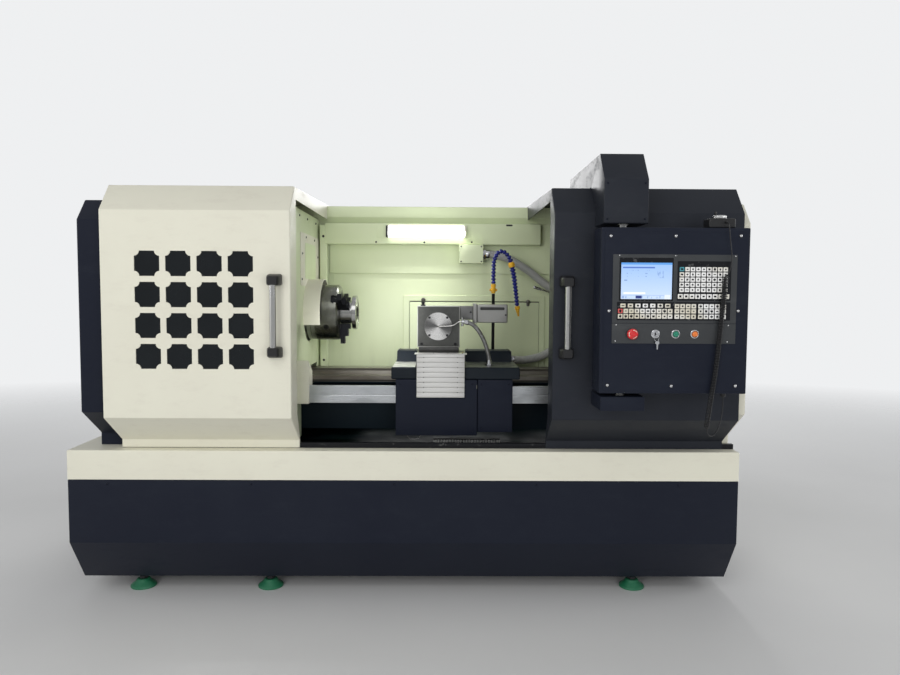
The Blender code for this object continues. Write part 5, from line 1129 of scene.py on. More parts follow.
def jaw_line():
    """A jaw's outline in (X, outwards): three steps, with teeth 0.6 mm deep on each gripping face."""
    steps = [(-0.3480, 0.0570), (-0.3480, 0.1190), (ring_seat, 0.1190), (ring_seat, 0.1420),
             (-0.2980, 0.1420), (-0.2980, 0.1080), (-0.2830, 0.1080), (-0.2830, 0.0750),
             (-0.2730, 0.0750), (-0.2730, 0.0503), (ring_seat, 0.0503), (ring_seat, 0.0570)]
    line = []
    for start, end in zip(steps, steps[1:] + steps[:1]):
        line.append(start)
        gripping = start[1] == end[1] and start[0] > -0.3170
        count = int(abs(end[0] - start[0]) / 0.0020) if gripping else 0
        for number in range(count):
            share = (number + 1.0) / (count + 1.0)
            tooth = 0.0006 if number % 2 == 0 else 0.0
            line.append((start[0] + (end[0] - start[0]) * share,
                         start[1] + (tooth if start[1] < 0.06 else -tooth)))
    return line


def hard_black(name="hardened_black", roughness=0.34):
    """Hardened and blackened steel: a deep blue-black that wears to bright metal in small rubs."""
    finish = Finish(name, (0.028, 0.029, 0.033), roughness, Metallic=0.9)
    rub = finish.noise(55.0, 4.0).above(0.66, 0.06)
    fine = finish.noise(900.0, 2.0)
    return finish.wear(Base_Color=finish.mix(rub * 0.6, finish.base, (0.20, 0.20, 0.20, 1)),
                       Normal=finish.bump(fine, 0.00005),
                       Roughness=finish.noise(30.0) * 0.22 + (roughness - 0.10))


jaw_black = hard_black()
jaw_bolts = ((0.0640, -0.273), (0.0960, -0.283), (0.1250, -0.298))
for number, angle in enumerate(jaw_angles):
    name = "chuck_jaw_%d" % (number + 1)
    jaw = piece(name + "_skin", spun_slab(jaw_line(), 0.0169, angle, 0.0008), jaw_black, name, name)
    bores = []
    heads = []
    for out, top in jaw_bolts:
        bore_line = [(top - 0.012, 0.0), (top - 0.012, 0.0070), (top + 0.01, 0.0070), (top + 0.01, 0.0)]
        bores.append(piece("bore_cutter", [turned(bore_line, spun((0, out, 0), angle), "x", 18)], dark_bore))
        head_line = [(top - 0.0115, 0.0), (top - 0.0115, 0.0064), (top - 0.0045, 0.0064),
                     (top - 0.0038, 0.0057), (top - 0.0038, 0.0032), (top - 0.0080, 0.0032),
                     (top - 0.0080, 0.0)]
        heads.append(turned(head_line, spun((0, out, 0), angle), "x", 18))
    carved(jaw, *bores)
    piece(name + "_bolts", heads, black_screw, name, sharp=30)

plate_line = [(-0.4850, 0.0551), (-0.4850, 0.0885), (-0.4835, 0.0900), (-0.4580, 0.0900),
              (-0.4580, 0.1205), (-0.4565, 0.1220), (-0.4405, 0.1220), (-0.4400, 0.1214),
              (-0.4380, 0.1214), (-0.4375, 0.1220), (-0.4210, 0.1220), (-0.4203, 0.1205),
              (-0.4203, 0.0551), (-0.4850, 0.0551)]
lathe_piece("backplate", plate_line,
            turned_steel("backplate_steel", (0.33, 0.33, 0.325), 0.32, face=False), "spindle")
ring_line = [(ring_seat, 0.0300), (ring_seat, 0.0490), (-0.3160, 0.0500), (-0.2640, 0.0500),
             (-0.2620, 0.0520), (-0.2620, 0.0755), (-0.2610, 0.0765), (-0.2440, 0.0765),
             (-0.2430, 0.0755), (-0.2430, 0.0610), (-0.2445, 0.0600), (-0.2445, 0.0420),
             (-0.2430, 0.0410), (-0.2430, 0.0310), (-0.2440, 0.0300), (ring_seat, 0.0300)]
lathe_piece("setting_ring_skin", ring_line, turned_steel("ring_steel", (0.60, 0.60, 0.585), 0.20),
            "spindle", "setting_ring")
coat_node("spindle", dull_steel("spindle_steel", (0.16, 0.16, 0.155), 0.45))

# Bed and headstock: grey iron castings. The ways are ground and oiled, the flanks painted dark; the
# headstock, the drive under it and the lead screw are closed in by the covers.


def bed_iron():
    """Ground and oiled on the ways, with brown oil stains and dark seams; dark paint below the way's edge."""
    finish = Finish("bed_iron", (0.0045, 0.0085, 0.0120), 0.45, Specular_IOR_Level=0.15)
    high = finish.axis("Z")
    ground = high.above(0.8495, 0.001)
    grind = finish.noise(700.0, 2.0, (0.03, 1, 1))
    stain = finish.noise(11.0, 5.0, (0.35, 1, 1)).above(0.50, 0.3)
    strip = high.between(0.8500, 0.8575, 0.0008)
    steel = finish.mix(stain * 0.75, (0.33, 0.31, 0.275, 1), (0.105, 0.088, 0.066, 1))
    steel = finish.mix(strip, steel, (0.055, 0.052, 0.047, 1))
    rough_paint = finish.noise(160.0, 4.0)
    return finish.wear(Base_Color=finish.mix(ground, finish.base, steel), Metallic=ground * 0.85,
                       Roughness=ground * (stain * 0.2 - 0.16) + rough_paint * 0.10 + 0.40,
                       Normal=finish.bump(rough_paint * (1.0 - ground) * 6.0 + grind * ground, 0.00008))


coat_node("bed", bed_iron())


def cast_paint(name, colour, gloss=0.40, lumps=0.00045, sheen=0.5):
    """Enamel over a casting: soft lumps of the sand mould and patches of dust."""
    finish = Finish(name, colour, gloss, Specular_IOR_Level=sheen)
    lump = finish.noise(46.0, 4.0)
    dust = finish.noise(4.0, 5.0).above(0.55, 0.35)
    grime = tuple(part * 0.75 + 0.02 for part in colour) + (1,)
    return finish.wear(Base_Color=finish.mix(dust * 0.5, finish.base, grime),
                       Roughness=dust * 0.2 + (gloss - 0.05), Normal=finish.bump(lump, lumps))


coat_node("headstock", cast_paint("headstock_enamel", (0.60, 0.585, 0.52)))
coat_node("main_motor", cast_paint("motor_enamel", (0.030, 0.060, 0.100), 0.45))
coat_node("motor_pulley", dull_steel("motor_pulley_iron", (0.14, 0.14, 0.135), 0.5))
coat_node("drive_belt", moulded_black("belt_rubber", 0.75))
coat_node("lead_screw", dull_steel("lead_screw_steel", (0.42, 0.42, 0.41), 0.28))
coat_node("z_servo", moulded_black("servo_black", 0.5))
coat_node("door_rail", hard_black("rail_black", 0.42))


def strip_steel():
    """Stainless strip over the lead screw: brushed lengthwise, with two shallow rolled lines and scuffs."""
    finish = Finish("screw_cover_stainless", (0.64, 0.66, 0.68), 0.32, Metallic=0.9)
    grain = finish.noise(600.0, 2.0, (0.02, 1, 1))
    scuff = finish.noise(13.0, 5.0, (0.6, 1, 1.6)).above(0.56, 0.12)
    high = finish.axis("Z")
    rolled = high.between(0.8010, 0.8040, 0.0015)
    shade = finish.mix(scuff * 0.30 + grain * 0.25, finish.base, (0.44, 0.465, 0.49, 1))
    return finish.wear(Base_Color=shade, Roughness=grain * 0.2 + scuff * 0.16 + 0.20,
                       Normal=finish.bump(rolled, -0.0006, 1.0, finish.bump(grain, 0.00006)))


cover_strip = [(0.2225, 0.768), (0.2210, 0.768), (0.2210, 0.842), (0.2350, 0.842)]
strip_section = np.concatenate([bent(cover_strip, 0.002, 3),
                                bent(offset_line(cover_strip, 0.0014), 0.0006, 3)[::-1]])
piece("screw_cover_strip", slab(in_depth(strip_section), -0.4130, 1.130, "x", 0.0003, 1), strip_steel(),
      "machine", "screw_cover")
piece("screw_cover_pad",
      rounded_block((1.080, behind(0.2226), 0.768), (1.130, behind(0.2296), 0.832), 0.001), latch_steel,
      "machine")

# Carriage: a cast saddle over both ways, with machined wing tops and wipers, an apron of two folded covers,
# and a curtain of linked aluminium slats that hangs from the cross slide over the apron.
saddle_paint = cast_paint("saddle_enamel", (0.0060, 0.0100, 0.0150), 0.36, 0.0003, 0.2)
coat_node("saddle", saddle_paint)


def wing_metal(name, bright, dark, speck):
    """A machined wing top: milling marks in one direction, an oil film and specks of swarf."""
    finish = Finish(name, bright, 0.30, Metallic=0.7)
    mill = finish.noise(420.0, 2.0, (1, 0.04, 1))
    film = finish.noise(20.0, 5.0).above(0.5, 0.35)
    swarf = finish.noise(620.0, 1.0).above(speck, 0.04)
    shade = finish.mix(film, finish.base, (*dark, 1))
    return finish.wear(Base_Color=finish.mix(swarf * 0.8, shade, (0.62, 0.62, 0.60, 1)),
                       Roughness=mill * 0.2 + film * 0.15 + 0.20, Normal=finish.bump(mill, 0.00006))


# One machined finish twice: a light copy on the left wing top, a dark one on the right.
bright_wing = wing_metal("bright_wing_top", (0.80, 0.80, 0.78), (0.42, 0.42, 0.41), 0.80)
dark_wing = wing_metal("darker_wing_top", (0.070, 0.078, 0.080), (0.020, 0.024, 0.026), 0.66)
wing_top = 0.925
piece("left_wing_top", bent_plate((-0.061, behind(0.176)), (0.0335, behind(0.405)), 0.004,
                                  wing_top + 0.0002, wing_top + 0.0014, "z", 0.0004, 1), bright_wing,
      "carriage")
piece("right_wing_top", bent_plate((0.2475, behind(0.176)), (0.466, behind(0.415)), 0.004,
                                   wing_top + 0.0002, wing_top + 0.0014, "z", 0.0004, 1), dark_wing,
      "carriage")
for name, x_span in (("left_rear_lid", (-0.055, 0.033)), ("right_rear_lid", (0.253, 0.457))):
    lid = bent_plate((x_span[0], behind(0.4535)), (x_span[1], behind(0.557)), 0.006, 0.9702, 0.9722, "z",
                     0.0008)
    piece(name, lid, navy_coat, "carriage")
lid_screws = [(x, behind(y), 0.9722) for x in (-0.047, 0.025, 0.262, 0.448) for y in (0.462, 0.548)]
screw_set("lid_screw_heads", lid_screws, "z", 1, 0.0032, black_screw, "carriage")
wiper_line = [(0.300, 0.8765), (0.300, 0.905), (0.350, 0.912), (0.380, 0.912), (0.425, 0.905),
              (0.425, 0.8765), (0.388, 0.8765), (0.365, 0.8930), (0.342, 0.8765)]
wiper_rubber = moulded_black("wiper_rubber", 0.6)
for name, low, high in (("left_wiper", -0.0705, -0.0655), ("right_wiper", 0.4705, 0.4755)):
    piece(name, slab(in_depth(wiper_line), low, high, "x", 0.0012), wiper_rubber, "carriage")
for x, facing in ((-0.0705, -1), (0.4755, 1)):
    screw_set("wiper_screws", [(x, behind(y), 0.8985) for y in (0.318, 0.407)], "x", facing, 0.0034,
              black_screw, "carriage")

apron_front, apron_back = behind(0.160), behind(0.217)
piece("apron_left", rounded_block((-0.046, apron_front, 0.642), (0.2922, apron_back, 0.8747), 0.0030),
      navy_coat, "carriage", "apron_cover")
piece("apron_right", rounded_block((0.2938, behind(0.168), 0.655), (0.440, apron_back, 0.8747), 0.0030),
      navy_coat, "carriage", "apron_cover")
left_cover_screws = [(x, behind(0.160), z) for x in (-0.030, 0.273) for z in (0.660, 0.858)]
right_cover_screws = [(x, behind(0.168), z) for x in (0.310, 0.424) for z in (0.672, 0.858)]
screw_set("apron_screws", left_cover_screws + right_cover_screws, "y", -1, 0.0038, navy_coat, "carriage")
catch = bent_plate((0.2885, 0.8385), (0.2915, 0.8540), 0.0014, behind(0.1585), behind(0.1600), "y", 0.0004, 1)
piece("apron_catch", catch, latch_steel, "carriage")


def slat_aluminium():
    """Mill-finish extrusions: drawn along their length, with soft clouds of a darker tone."""
    finish = Finish("slat_aluminium", (0.86, 0.85, 0.83), 0.36, Metallic=0.6)
    drawn = finish.noise(900.0, 2.0, (0.02, 1, 1))
    cloud = finish.noise(14.0, 4.0, (0.5, 1, 2)).above(0.55, 0.4)
    shade = finish.mix(drawn * 0.35 + cloud * 0.25, finish.base, (0.64, 0.635, 0.62, 1))
    return finish.wear(Base_Color=shade, Roughness=drawn * 0.18 + cloud * 0.1 + 0.24,
                       Normal=finish.bump(drawn, 0.00005))


slat_metal = slat_aluminium()
slat_pitch, curtain_top = 0.0208, 0.9805
slat_front, slat_back = 0.1501, 0.1546
slat_tops = [curtain_top - 0.0122 - slat_pitch * number for number in range(8)]
slats = slab(closed_bend([(slat_front, slat_tops[0] + 0.0006), (slat_back, slat_tops[0] + 0.0006),
                          (slat_back, curtain_top),
                          (slat_front, curtain_top)] + np.array((tray_front, 0)), 0.0010, 3), 0.0412,
             0.2388, "x", 0.0005, 1)
for top in slat_tops:
    low = top - slat_pitch
    face = [(slat_front + 0.0016, low + 0.0004), (slat_back, low + 0.0004), (slat_back, top - 0.0003),
            (slat_front + 0.0012, top - 0.0003), (slat_front + 0.0004, top - 0.0016),
            (slat_front, low + slat_pitch * 0.62), (slat_front, low + 0.0044),
            (slat_front + 0.0010, low + 0.0026)]
    slats += slab(closed_bend(in_depth(face), 0.0008, 2), 0.0412, 0.2388, "x", 0.0005, 1)
piece("curtain_slats", slats, slat_metal, "carriage", "slat_curtain", sharp=45)
band = slab(rectangle((behind(0.1547), 0.8060), (behind(0.1554), 0.979)), 0.046, 0.234, "x", 0.0001, 1)
piece("curtain_band", band, wiper_rubber, "carriage", "slat_curtain")
rivets = [patch for top in slat_tops for x in (0.070, 0.210)
          for patch in button_screw((x, behind(slat_front) + 0.0006, top + 0.0006), "y", -1, 0.0017)]
piece("curtain_rivets", rivets, black_screw, "carriage")

# Cross slide: a planed casting on the saddle's dovetail, with the aluminium strip that clamps the curtain.
slide_metal = dull_steel("planed_iron", (0.17, 0.17, 0.165), 0.36)
slide_low, slide_high, slide_mid = 0.039, 0.241, 0.140
slide_line = [(slide_low, 0.9253), (slide_mid - 0.0590, 0.9253), (slide_mid - 0.0655, 0.9415),
              (slide_mid + 0.0655, 0.9415), (slide_mid + 0.0590, 0.9253), (slide_high, 0.9253),
              (slide_high, 0.962), (slide_low, 0.962)]
piece("slide_body", slab(slide_line, behind(0.157), behind(0.540), "y", 0.0010, 1), slide_metal,
      "cross_slide", "cross_slide")
piece("slide_pad",
      rounded_block((slide_low, behind(0.157), 0.9600), (slide_high, behind(0.372), 0.9810), 0.0015),
      slide_metal, "cross_slide", "cross_slide")
piece("curtain_strip",
      rounded_block((0.032, behind(0.149), 0.98115), (0.248, behind(0.205), 0.9840), 0.0008), slat_metal,
      "cross_slide", "cross_slide")
screw_set("strip_screws", [(x, behind(0.177), 0.9840) for x in (0.050, 0.110, 0.170, 0.230)], "z", 1,
          0.0028, black_screw, "cross_slide")

# Tool turret: a ground cast housing with a turned cap and four bolts, a worm motor on its right in an
# aluminium case, and a four-station tool head behind it.
housing_low, housing_high = (0.039, behind(0.270), 1.002), (0.221, behind(0.372), 1.178)
cap_x, cap_z = 0.129, 1.091


def ground_housing():
    """Ground grey iron: fine vertical grind, oil clouds, and a lighter tone within 3 mm of its X and Z ends.
    """
    finish = Finish("ground_housing", (0.120, 0.122, 0.115), 0.42, Metallic=0.75)
    grind = finish.noise(800.0, 2.0, (1, 1, 0.05))
    cloud = finish.noise(24.0, 5.0).above(0.5, 0.4)
    pits = finish.noise(420.0, 2.0).above(0.70, 0.05)
    core = finish.axis("X").between(housing_low[0] + 0.0030, housing_high[0] - 0.0030, 0.0020)
    core = core * finish.axis("Z").between(housing_low[2] + 0.0030, housing_high[2] - 0.0030, 0.0020)
    shade = finish.mix(grind * 0.45 + cloud * 0.35, finish.base, (0.062, 0.063, 0.060, 1))
    shade = finish.mix(pits * 0.5, shade, (0.26, 0.26, 0.25, 1))
    return finish.wear(Base_Color=finish.mix(core, (0.52, 0.52, 0.50, 1), shade),
                       Roughness=grind * 0.2 + cloud * 0.12 + 0.28, Normal=finish.bump(grind, 0.00008))


housing_iron = ground_housing()
housing = piece("turret_block", rounded_block(housing_low, housing_high, 0.0022), housing_iron,
                "cross_slide", "turret_housing")
socket_places = [(0.058, 1.0150), (0.202, 1.0150), (0.073, 1.0090), (0.187, 1.0090)]
socket_sizes = (0.0068, 0.0068, 0.0022, 0.0022)
carved(housing, *[piece("socket_cutter", [turned([(-0.02, 0.0), (-0.02, size), (0.014, size), (0.014, 0.0)],
                                                 (x, housing_low[1], z), "y", 24)], dark_bore)
                  for (x, z), size in zip(socket_places, socket_sizes)])
sockets = [turned([(0.0135, 0.0), (0.0135, 0.0062), (0.0030, 0.0062), (0.0020, 0.0052), (0.0020, 0.0034),
                   (0.0085, 0.0034), (0.0085, 0.0)], (x, housing_low[1], z), "y", 20)
           for x, z in socket_places[:2]]
piece("turret_sockets", sockets, black_screw, "cross_slide", sharp=30)
piece("turret_foot",
      rounded_block((0.045, behind(0.262), 0.9848), (0.217, behind(0.372), 1.0018), 0.0015), slide_metal,
      "cross_slide", "turret_housing")
piece("turret_tenon",
      rounded_block((0.045, behind(0.262), 0.9815), (0.217, behind(0.372), 0.9846), 0.0004, 1),
      slide_metal, "cross_slide", "turret_housing")


def fan_face():
    """A faced aluminium cap: two bright fans and two dark ones where its circular marks catch the lamps.

    The shade follows cos 2a round the cap's middle, broken up by streaks that also run outwards.
    """
    finish = Finish("faced_cap", (0.93, 0.92, 0.90), 0.24, Metallic=0.85)
    x, z = finish.axis("X") - cap_x, finish.axis("Z") - cap_z
    angle = z.math("ARCTAN2", x)
    radius = (x * x + z * z).math("SQRT", 0.0)
    fan = ((angle * 2.0 + 0.35).math("COSINE", 0.0) * 0.5 + 0.5).math("POWER", 1.6)
    streak = finish.node("ShaderNodeTexNoise", {"noise_dimensions": "1D"},
                         {"W": angle * 9.0, "Detail": 5.0, "Roughness": 0.7})
    marks = finish.node("ShaderNodeTexNoise", {"noise_dimensions": "1D"},
                        {"W": radius * 2400.0, "Detail": 1.0})
    dark = (fan * 1.05 + (streak - 0.5) * 1.5).math("ADD", 0.02, clamp=True)
    return finish.wear(Base_Color=finish.mix(dark, finish.base, (0.13, 0.13, 0.128, 1)),
                       Roughness=marks * 0.14 + dark * 0.10 + 0.14, Normal=finish.bump(marks, 0.00005))


cap_line = [(-0.0040, 0.0), (-0.0040, 0.0585), (-0.0034, 0.0595), (-0.0020, 0.0600), (-0.0001, 0.0600),
            (-0.0001, 0.0)]
cap = lathe_piece("turret_cap", cap_line, fan_face(), "cross_slide", None, 96, 30,
                  (cap_x, housing_low[1], cap_z), "y")
cap_bolts = [(cap_x + a * 0.038, cap_z + b * 0.038) for a in (-1, 1) for b in (-1, 1)]
carved(cap, *[piece("cap_cutter", [turned([(-0.02, 0.0), (-0.02, 0.0058), (-0.0008, 0.0058),
                                           (-0.0008, 0.0)], (x, housing_low[1], z), "y", 24)], dark_bore)
              for x, z in cap_bolts])
heads = [turned([(-0.0009, 0.0), (-0.0009, 0.0050), (-0.0032, 0.0050), (-0.0038, 0.0044),
                 (-0.0038, 0.0026), (-0.0015, 0.0026), (-0.0015, 0.0)], (x, housing_low[1], z), "y", 18)
         for x, z in cap_bolts]
piece("cap_bolts", heads, black_screw, "cross_slide", sharp=30)

case_metal = stainless("motor_case_aluminium", "x", (0.44, 0.44, 0.425), 0.34, 700.0)
case = piece("motor_case",
             rounded_block((0.2942, behind(0.280), 1.107), (0.426, behind(0.360), 1.185), 0.0045),
             case_metal, "cross_slide", "turret_motor")
slot_line = closed_bend(rectangle((0.3080, 1.1610), (0.4130, 1.1740)), 0.0045, 4)
carved(case, piece("slot_cutter", slab(slot_line, behind(0.270), behind(0.2845), "y", 0.0001, 1), case_metal))
lens_line = closed_bend(rectangle((0.3085, 1.1615), (0.4125, 1.1735)), 0.0040, 4)
piece("motor_slot_face", slab(lens_line, behind(0.2835), behind(0.2844), "y", 0.0003, 1), dark_bore,
      "cross_slide")
piece("motor_flange",
      rounded_block((0.2775, behind(0.277), 1.104), (0.2940, behind(0.363), 1.188), 0.0020), case_metal,
      "cross_slide", "turret_motor")
piece("motor_neck", rounded_block((0.2213, behind(0.285), 1.120), (0.2772, behind(0.352), 1.178), 0.0020),
      dull_steel("neck_iron", (0.27, 0.27, 0.265), 0.36), "cross_slide", "turret_motor")
screw_set("motor_screws", [(0.4175, behind(0.2801), 1.1405), (0.2675, behind(0.2851), 1.1520)], "y", -1,
          0.0040, black_screw, "cross_slide")
lug_line = [(-0.004, 0.0), (-0.004, 0.0100), (0.0015, 0.0110), (0.0050, 0.0110), (0.0055, 0.0060),
            (0.0080, 0.0055), (0.0110, 0.0075), (0.0140, 0.0075), (0.0160, 0.0055), (0.0160, 0.0)]
piece("turret_lug", [turned(lug_line, (0.063, behind(0.300), housing_high[2]), "z", 24)], black_screw,
      "cross_slide", sharp=30)
coat_node("tool_head", hard_black("tool_head_black", 0.36))
head_bolts = []
for across in (-1, 0, 1):
    for a, b in ((1, 0), (-1, 0), (0, 1), (0, -1)):
        x, z = cap_x + a * 0.071 + b * across * 0.042, cap_z + b * 0.071 + a * across * 0.042
        shank = [(0.4448, 0.0), (0.4448, 0.0058), (0.4500, 0.0058), (0.4500, 0.0)]
        head = [(0.4501, 0.0), (0.4501, 0.0080), (0.4512, 0.0092), (0.4590, 0.0092), (0.4600, 0.0082),
                (0.4600, 0.0)]
        head_bolts.append(turned(shank, (x, tray_front, z), "y", 12))
        head_bolts.append(turned(head, (x, tray_front, z), "y", 4))
piece("tool_clamp_bolts", head_bolts, black_screw, "tool_head", sharp=30)

# Hoses: a black pole with yellow fittings carries the blue ball-link hose, ribbed grey conduits run along the
# wall and to the saddle, and a braided coolant hose ends in a bent pipe in the middle of the turret's cap.


def smooth_route(route, count):
    """Evenly spaced points on a Catmull-Rom curve with a straight first and last stretch, as in the solids.

    Between two stops, with t from 0 to 1, a point is half of 2 b + (c - a) t + (2 a - 5 b + 4 c - d) t^2
    + (3 b - a - 3 c + d) t^3.
    """
    route = np.asarray(route, dtype=float)
    before, start, stop, after = (route[first:len(route) - 3 + first, None] for first in range(4))
    t = (np.arange(24) / 24)[None, :, None]
    dense = 0.5 * (2 * start + (stop - before) * t + (2 * before - 5 * start + 4 * stop - after) * t ** 2
                   + (3 * start - before - 3 * stop + after) * t ** 3)
    dense = np.concatenate([route[:1], dense.reshape(-1, 3), route[-2:]])
    lengths = np.concatenate([[0], np.cumsum(np.linalg.norm(np.diff(dense, axis=0), axis=1))])
    wanted = np.linspace(0, lengths[-1], count)
    return np.stack([np.interp(wanted, lengths, dense[:, axis]) for axis in range(3)], axis=1)


def run_length(points):
    """The length of a line of points."""
    return float(np.sum(np.linalg.norm(np.diff(points, axis=0), axis=1)))


def carried_sides(points):
    """Two unit vectors across a line at each of its points, carried along without twist."""
    tangent = np.gradient(points, axis=0)
    tangent /= np.linalg.norm(tangent, axis=1)[:, None]
    side = np.cross(tangent[0], (0.31, 0.87, 0.38))
    sides = []
    for direction in tangent:
        side = side - direction * (side @ direction)
        side = side / np.linalg.norm(side)
        sides.append(side)
    sides = np.array(sides)
    return sides, np.cross(tangent, sides)


def swept(points, radii, sides=24):
    """A round skin along a line, p + r (cos a u + sin a v), closed at both ends."""
    points = np.asarray(points, dtype=float)
    radii = np.broadcast_to(radii, len(points))
    across, beside = carried_sides(points)
    angle = np.linspace(0, 2 * math.pi, sides + 1)[None, :, None]
    spokes = np.cos(angle) * across[:, None] + np.sin(angle) * beside[:, None]
    ring = points[:, None] + radii[:, None, None] * spokes
    return np.concatenate([points[:1, None] + 0 * angle, ring, points[-1:, None] + 0 * angle])


def ribbed(route, outer, root, pitch, sides=32):
    """A corrugated tube, r = root + (outer - root) |cos(pi s / pitch)|^0.7, and its centreline."""
    length = run_length(smooth_route(route, 400))
    ribs = int(length / pitch)
    points = smooth_route(route, ribs * 6 + 1)
    phase = np.arange(len(points)) / 6
    radii = root + (outer - root) * np.abs(np.cos(math.pi * phase)) ** 0.7
    return swept(points, radii, sides), points


def conduit_skin():
    """Grey flexible conduit: satin plastic with patches of dust."""
    finish = Finish("conduit_grey_skin", (0.37, 0.375, 0.37), 0.40, Specular_IOR_Level=0.55)
    dust = finish.noise(30.0, 4.0).above(0.52, 0.3)
    fine = finish.noise(700.0, 2.0)
    shade = finish.mix(dust * 0.5, finish.base, (0.50, 0.50, 0.47, 1))
    return finish.wear(Base_Color=finish.mix(fine * 0.25, shade, (0.25, 0.255, 0.255, 1)),
                       Roughness=dust * 0.2 + 0.32, Normal=finish.bump(fine, 0.0001))


conduit_coat = conduit_skin()
chrome = stainless("plated_connectors", "x", (0.72, 0.73, 0.75), 0.14, 900.0)
union_x, conduit_in, gland_in, gland_high = 0.760, 0.750, 0.735, 0.905
wall_route = [(x, behind(conduit_in), z) for x, z in (
    (0.3413, 1.420), (0.370, 1.420), (0.400, 1.420), (0.470, 1.400), (0.560, 1.348),
    (0.640, 1.285), (0.710, 1.235), (0.748, 1.195), (union_x, 1.165), (union_x, 1.148),
    (union_x, 1.1303))]
saddle_route = [(x, behind(depth), z) for x, depth, z in (
    (union_x, conduit_in, 1.0997), (union_x, conduit_in, 1.082),
    (union_x, conduit_in, 1.060), (0.745, 0.749, 1.010), (0.700, 0.746, 0.962),
    (0.635, 0.741, 0.925), (0.570, 0.737, 0.908), (0.540, gland_in, gland_high),
    (0.520, gland_in, gland_high), (0.5003, gland_in, gland_high))]
conduit_size = (0.0200, 0.0176)
wall_skin, wall_line = ribbed(wall_route, *conduit_size, 0.0062)
wall_conduit = piece("wall_conduit_ribs", [wall_skin], conduit_coat, "machine", "wall_conduit", sharp=80)
saddle_skin, saddle_line = ribbed(saddle_route, *conduit_size, 0.0062)
saddle_conduit = piece("saddle_conduit_ribs", [saddle_skin], conduit_coat, None, "saddle_conduit", sharp=80)
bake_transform(saddle_conduit)


def union_patches(centre, axis, facing, radius):
    """A conduit union: a lock ring, a hexagon and a domed cap nut, one after the other along an axis."""
    ring = np.array([[0.0, 0.0], [0.0, 1.26], [0.16, 1.30], [0.28, 1.26], [0.28, 0.0]]) * radius
    hexagon = np.array([[0.30, 0.0], [0.30, 1.24], [0.36, 1.34], [0.74, 1.34], [0.80, 1.24],
                        [0.80, 0.0]]) * radius
    cap = np.array([[0.80, 0.0], [0.80, 1.16], [0.90, 1.20], [1.45, 1.20], [1.72, 1.14], [1.80, 1.04],
                    [1.80, 0.0]]) * radius
    for profile in (ring, hexagon, cap):
        profile[:, 0] *= facing
    return [turned(ring, centre, axis, 32), turned(hexagon, centre, axis, 6), turned(cap, centre, axis, 32)]


piece("box_union", union_patches((0.3413, behind(conduit_in), 1.420), "x", 1, 0.0195), chrome, "machine")
unions = union_patches((union_x, behind(conduit_in), 1.1300), "z", 1, 0.0195)
unions += union_patches((union_x, behind(conduit_in), 1.1000), "z", -1, 0.0195)
piece("clamp_unions", unions, chrome, "machine")
piece("conduit_clamp",
      rounded_block((0.734, behind(0.722), 1.1005), (0.786, behind(0.778), 1.1295), 0.0025),
      dull_steel("clamp_steel"), "machine")
piece("clamp_foot",
      rounded_block((0.732, behind(0.776), 1.0980), (0.788, behind(0.8012), 1.1320), 0.0015), green_coat,
      "machine")
screw_set("clamp_screws", [(x, behind(0.722), 1.115) for x in (0.742, 0.778)], "y", -1, 0.0036,
          black_screw, "machine")
gland = union_patches((0.5003, behind(gland_in), gland_high), "x", -1, 0.0180)
piece("saddle_gland", gland, chrome, "carriage")

# The pole and its hose of ball links: each link flares from a neck over the next one's ball.


def link_plastic(name, colour):
    """Glossy moulded acetal with a waxy sheen and a little oil."""
    finish = Finish(name, colour, 0.24, Specular_IOR_Level=0.6, Coat_Weight=0.3, Coat_Roughness=0.12)
    oil = finish.noise(60.0, 4.0).above(0.55, 0.25)
    shade = tuple(0.55 * part for part in colour)
    return finish.wear(Base_Color=finish.mix(oil * 0.6, finish.base, (*shade, 1)),
                       Roughness=oil * 0.18 + 0.18, Normal=finish.bump(finish.noise(260.0, 2.0), 0.00012))


hose_blue = link_plastic("link_blue", (0.012, 0.018, 0.190))
hose_yellow = link_plastic("link_yellow", (0.86, 0.47, 0.025))
pole_x, pole_in = 0.3854, 0.600
pole_base = (pole_x, behind(pole_in), 0.0)
pole_black = hard_black("pole_black", 0.30)
pole_line = [(0.9254, 0.0), (0.9254, 0.0215), (0.9262, 0.0220), (0.9340, 0.0220), (0.9350, 0.0210),
             (0.9352, 0.0130), (0.9450, 0.0120), (0.9460, 0.0075), (1.2300, 0.0075), (1.2310, 0.0)]
lathe_piece("pole_rod", pole_line, pole_black, "carriage", "coolant_pole", 32, 30, pole_base, "z")
fitting_line = [(1.2320, 0.0), (1.2320, 0.0085), (1.2335, 0.0098), (1.2400, 0.0098), (1.2405, 0.0120),
                (1.2560, 0.0120), (1.2568, 0.0100), (1.2620, 0.0096), (1.2625, 0.0118), (1.2700, 0.0120),
                (1.2762, 0.0108), (1.2766, 0.0)]
lathe_piece("pole_fitting", fitting_line, hose_yellow, "carriage", None, 24, 30, pole_base, "z")
piece("pole_valve", [turned([(-0.0180, 0.0), (-0.0180, 0.0050), (-0.0168, 0.0062), (0.0168, 0.0062),
                             (0.0180, 0.0050), (0.0180, 0.0)], (pole_x, behind(pole_in), 1.2480), "x",
                            20)], hose_yellow, "carriage", sharp=30)
hose_route = [(x, behind(depth), z) for x, depth, z in (
    (0.3854, 0.600, 1.2771), (0.3854, 0.600, 1.300), (0.3854, 0.600, 1.330),
    (0.3885, 0.599, 1.385), (0.408, 0.597, 1.424), (0.436, 0.595, 1.424),
    (0.461, 0.593, 1.392), (0.479, 0.590, 1.320), (0.490, 0.588, 1.240),
    (0.498, 0.586, 1.165), (0.503, 0.585, 1.125))]
links, rings_each = 31, 12
hose_points = smooth_route(hose_route, links * rings_each + 1)
link_share = np.array([0.60, 0.84, 0.96, 1.0, 1.0, 0.985, 0.95, 0.89, 0.80, 0.70, 0.60, 0.54])
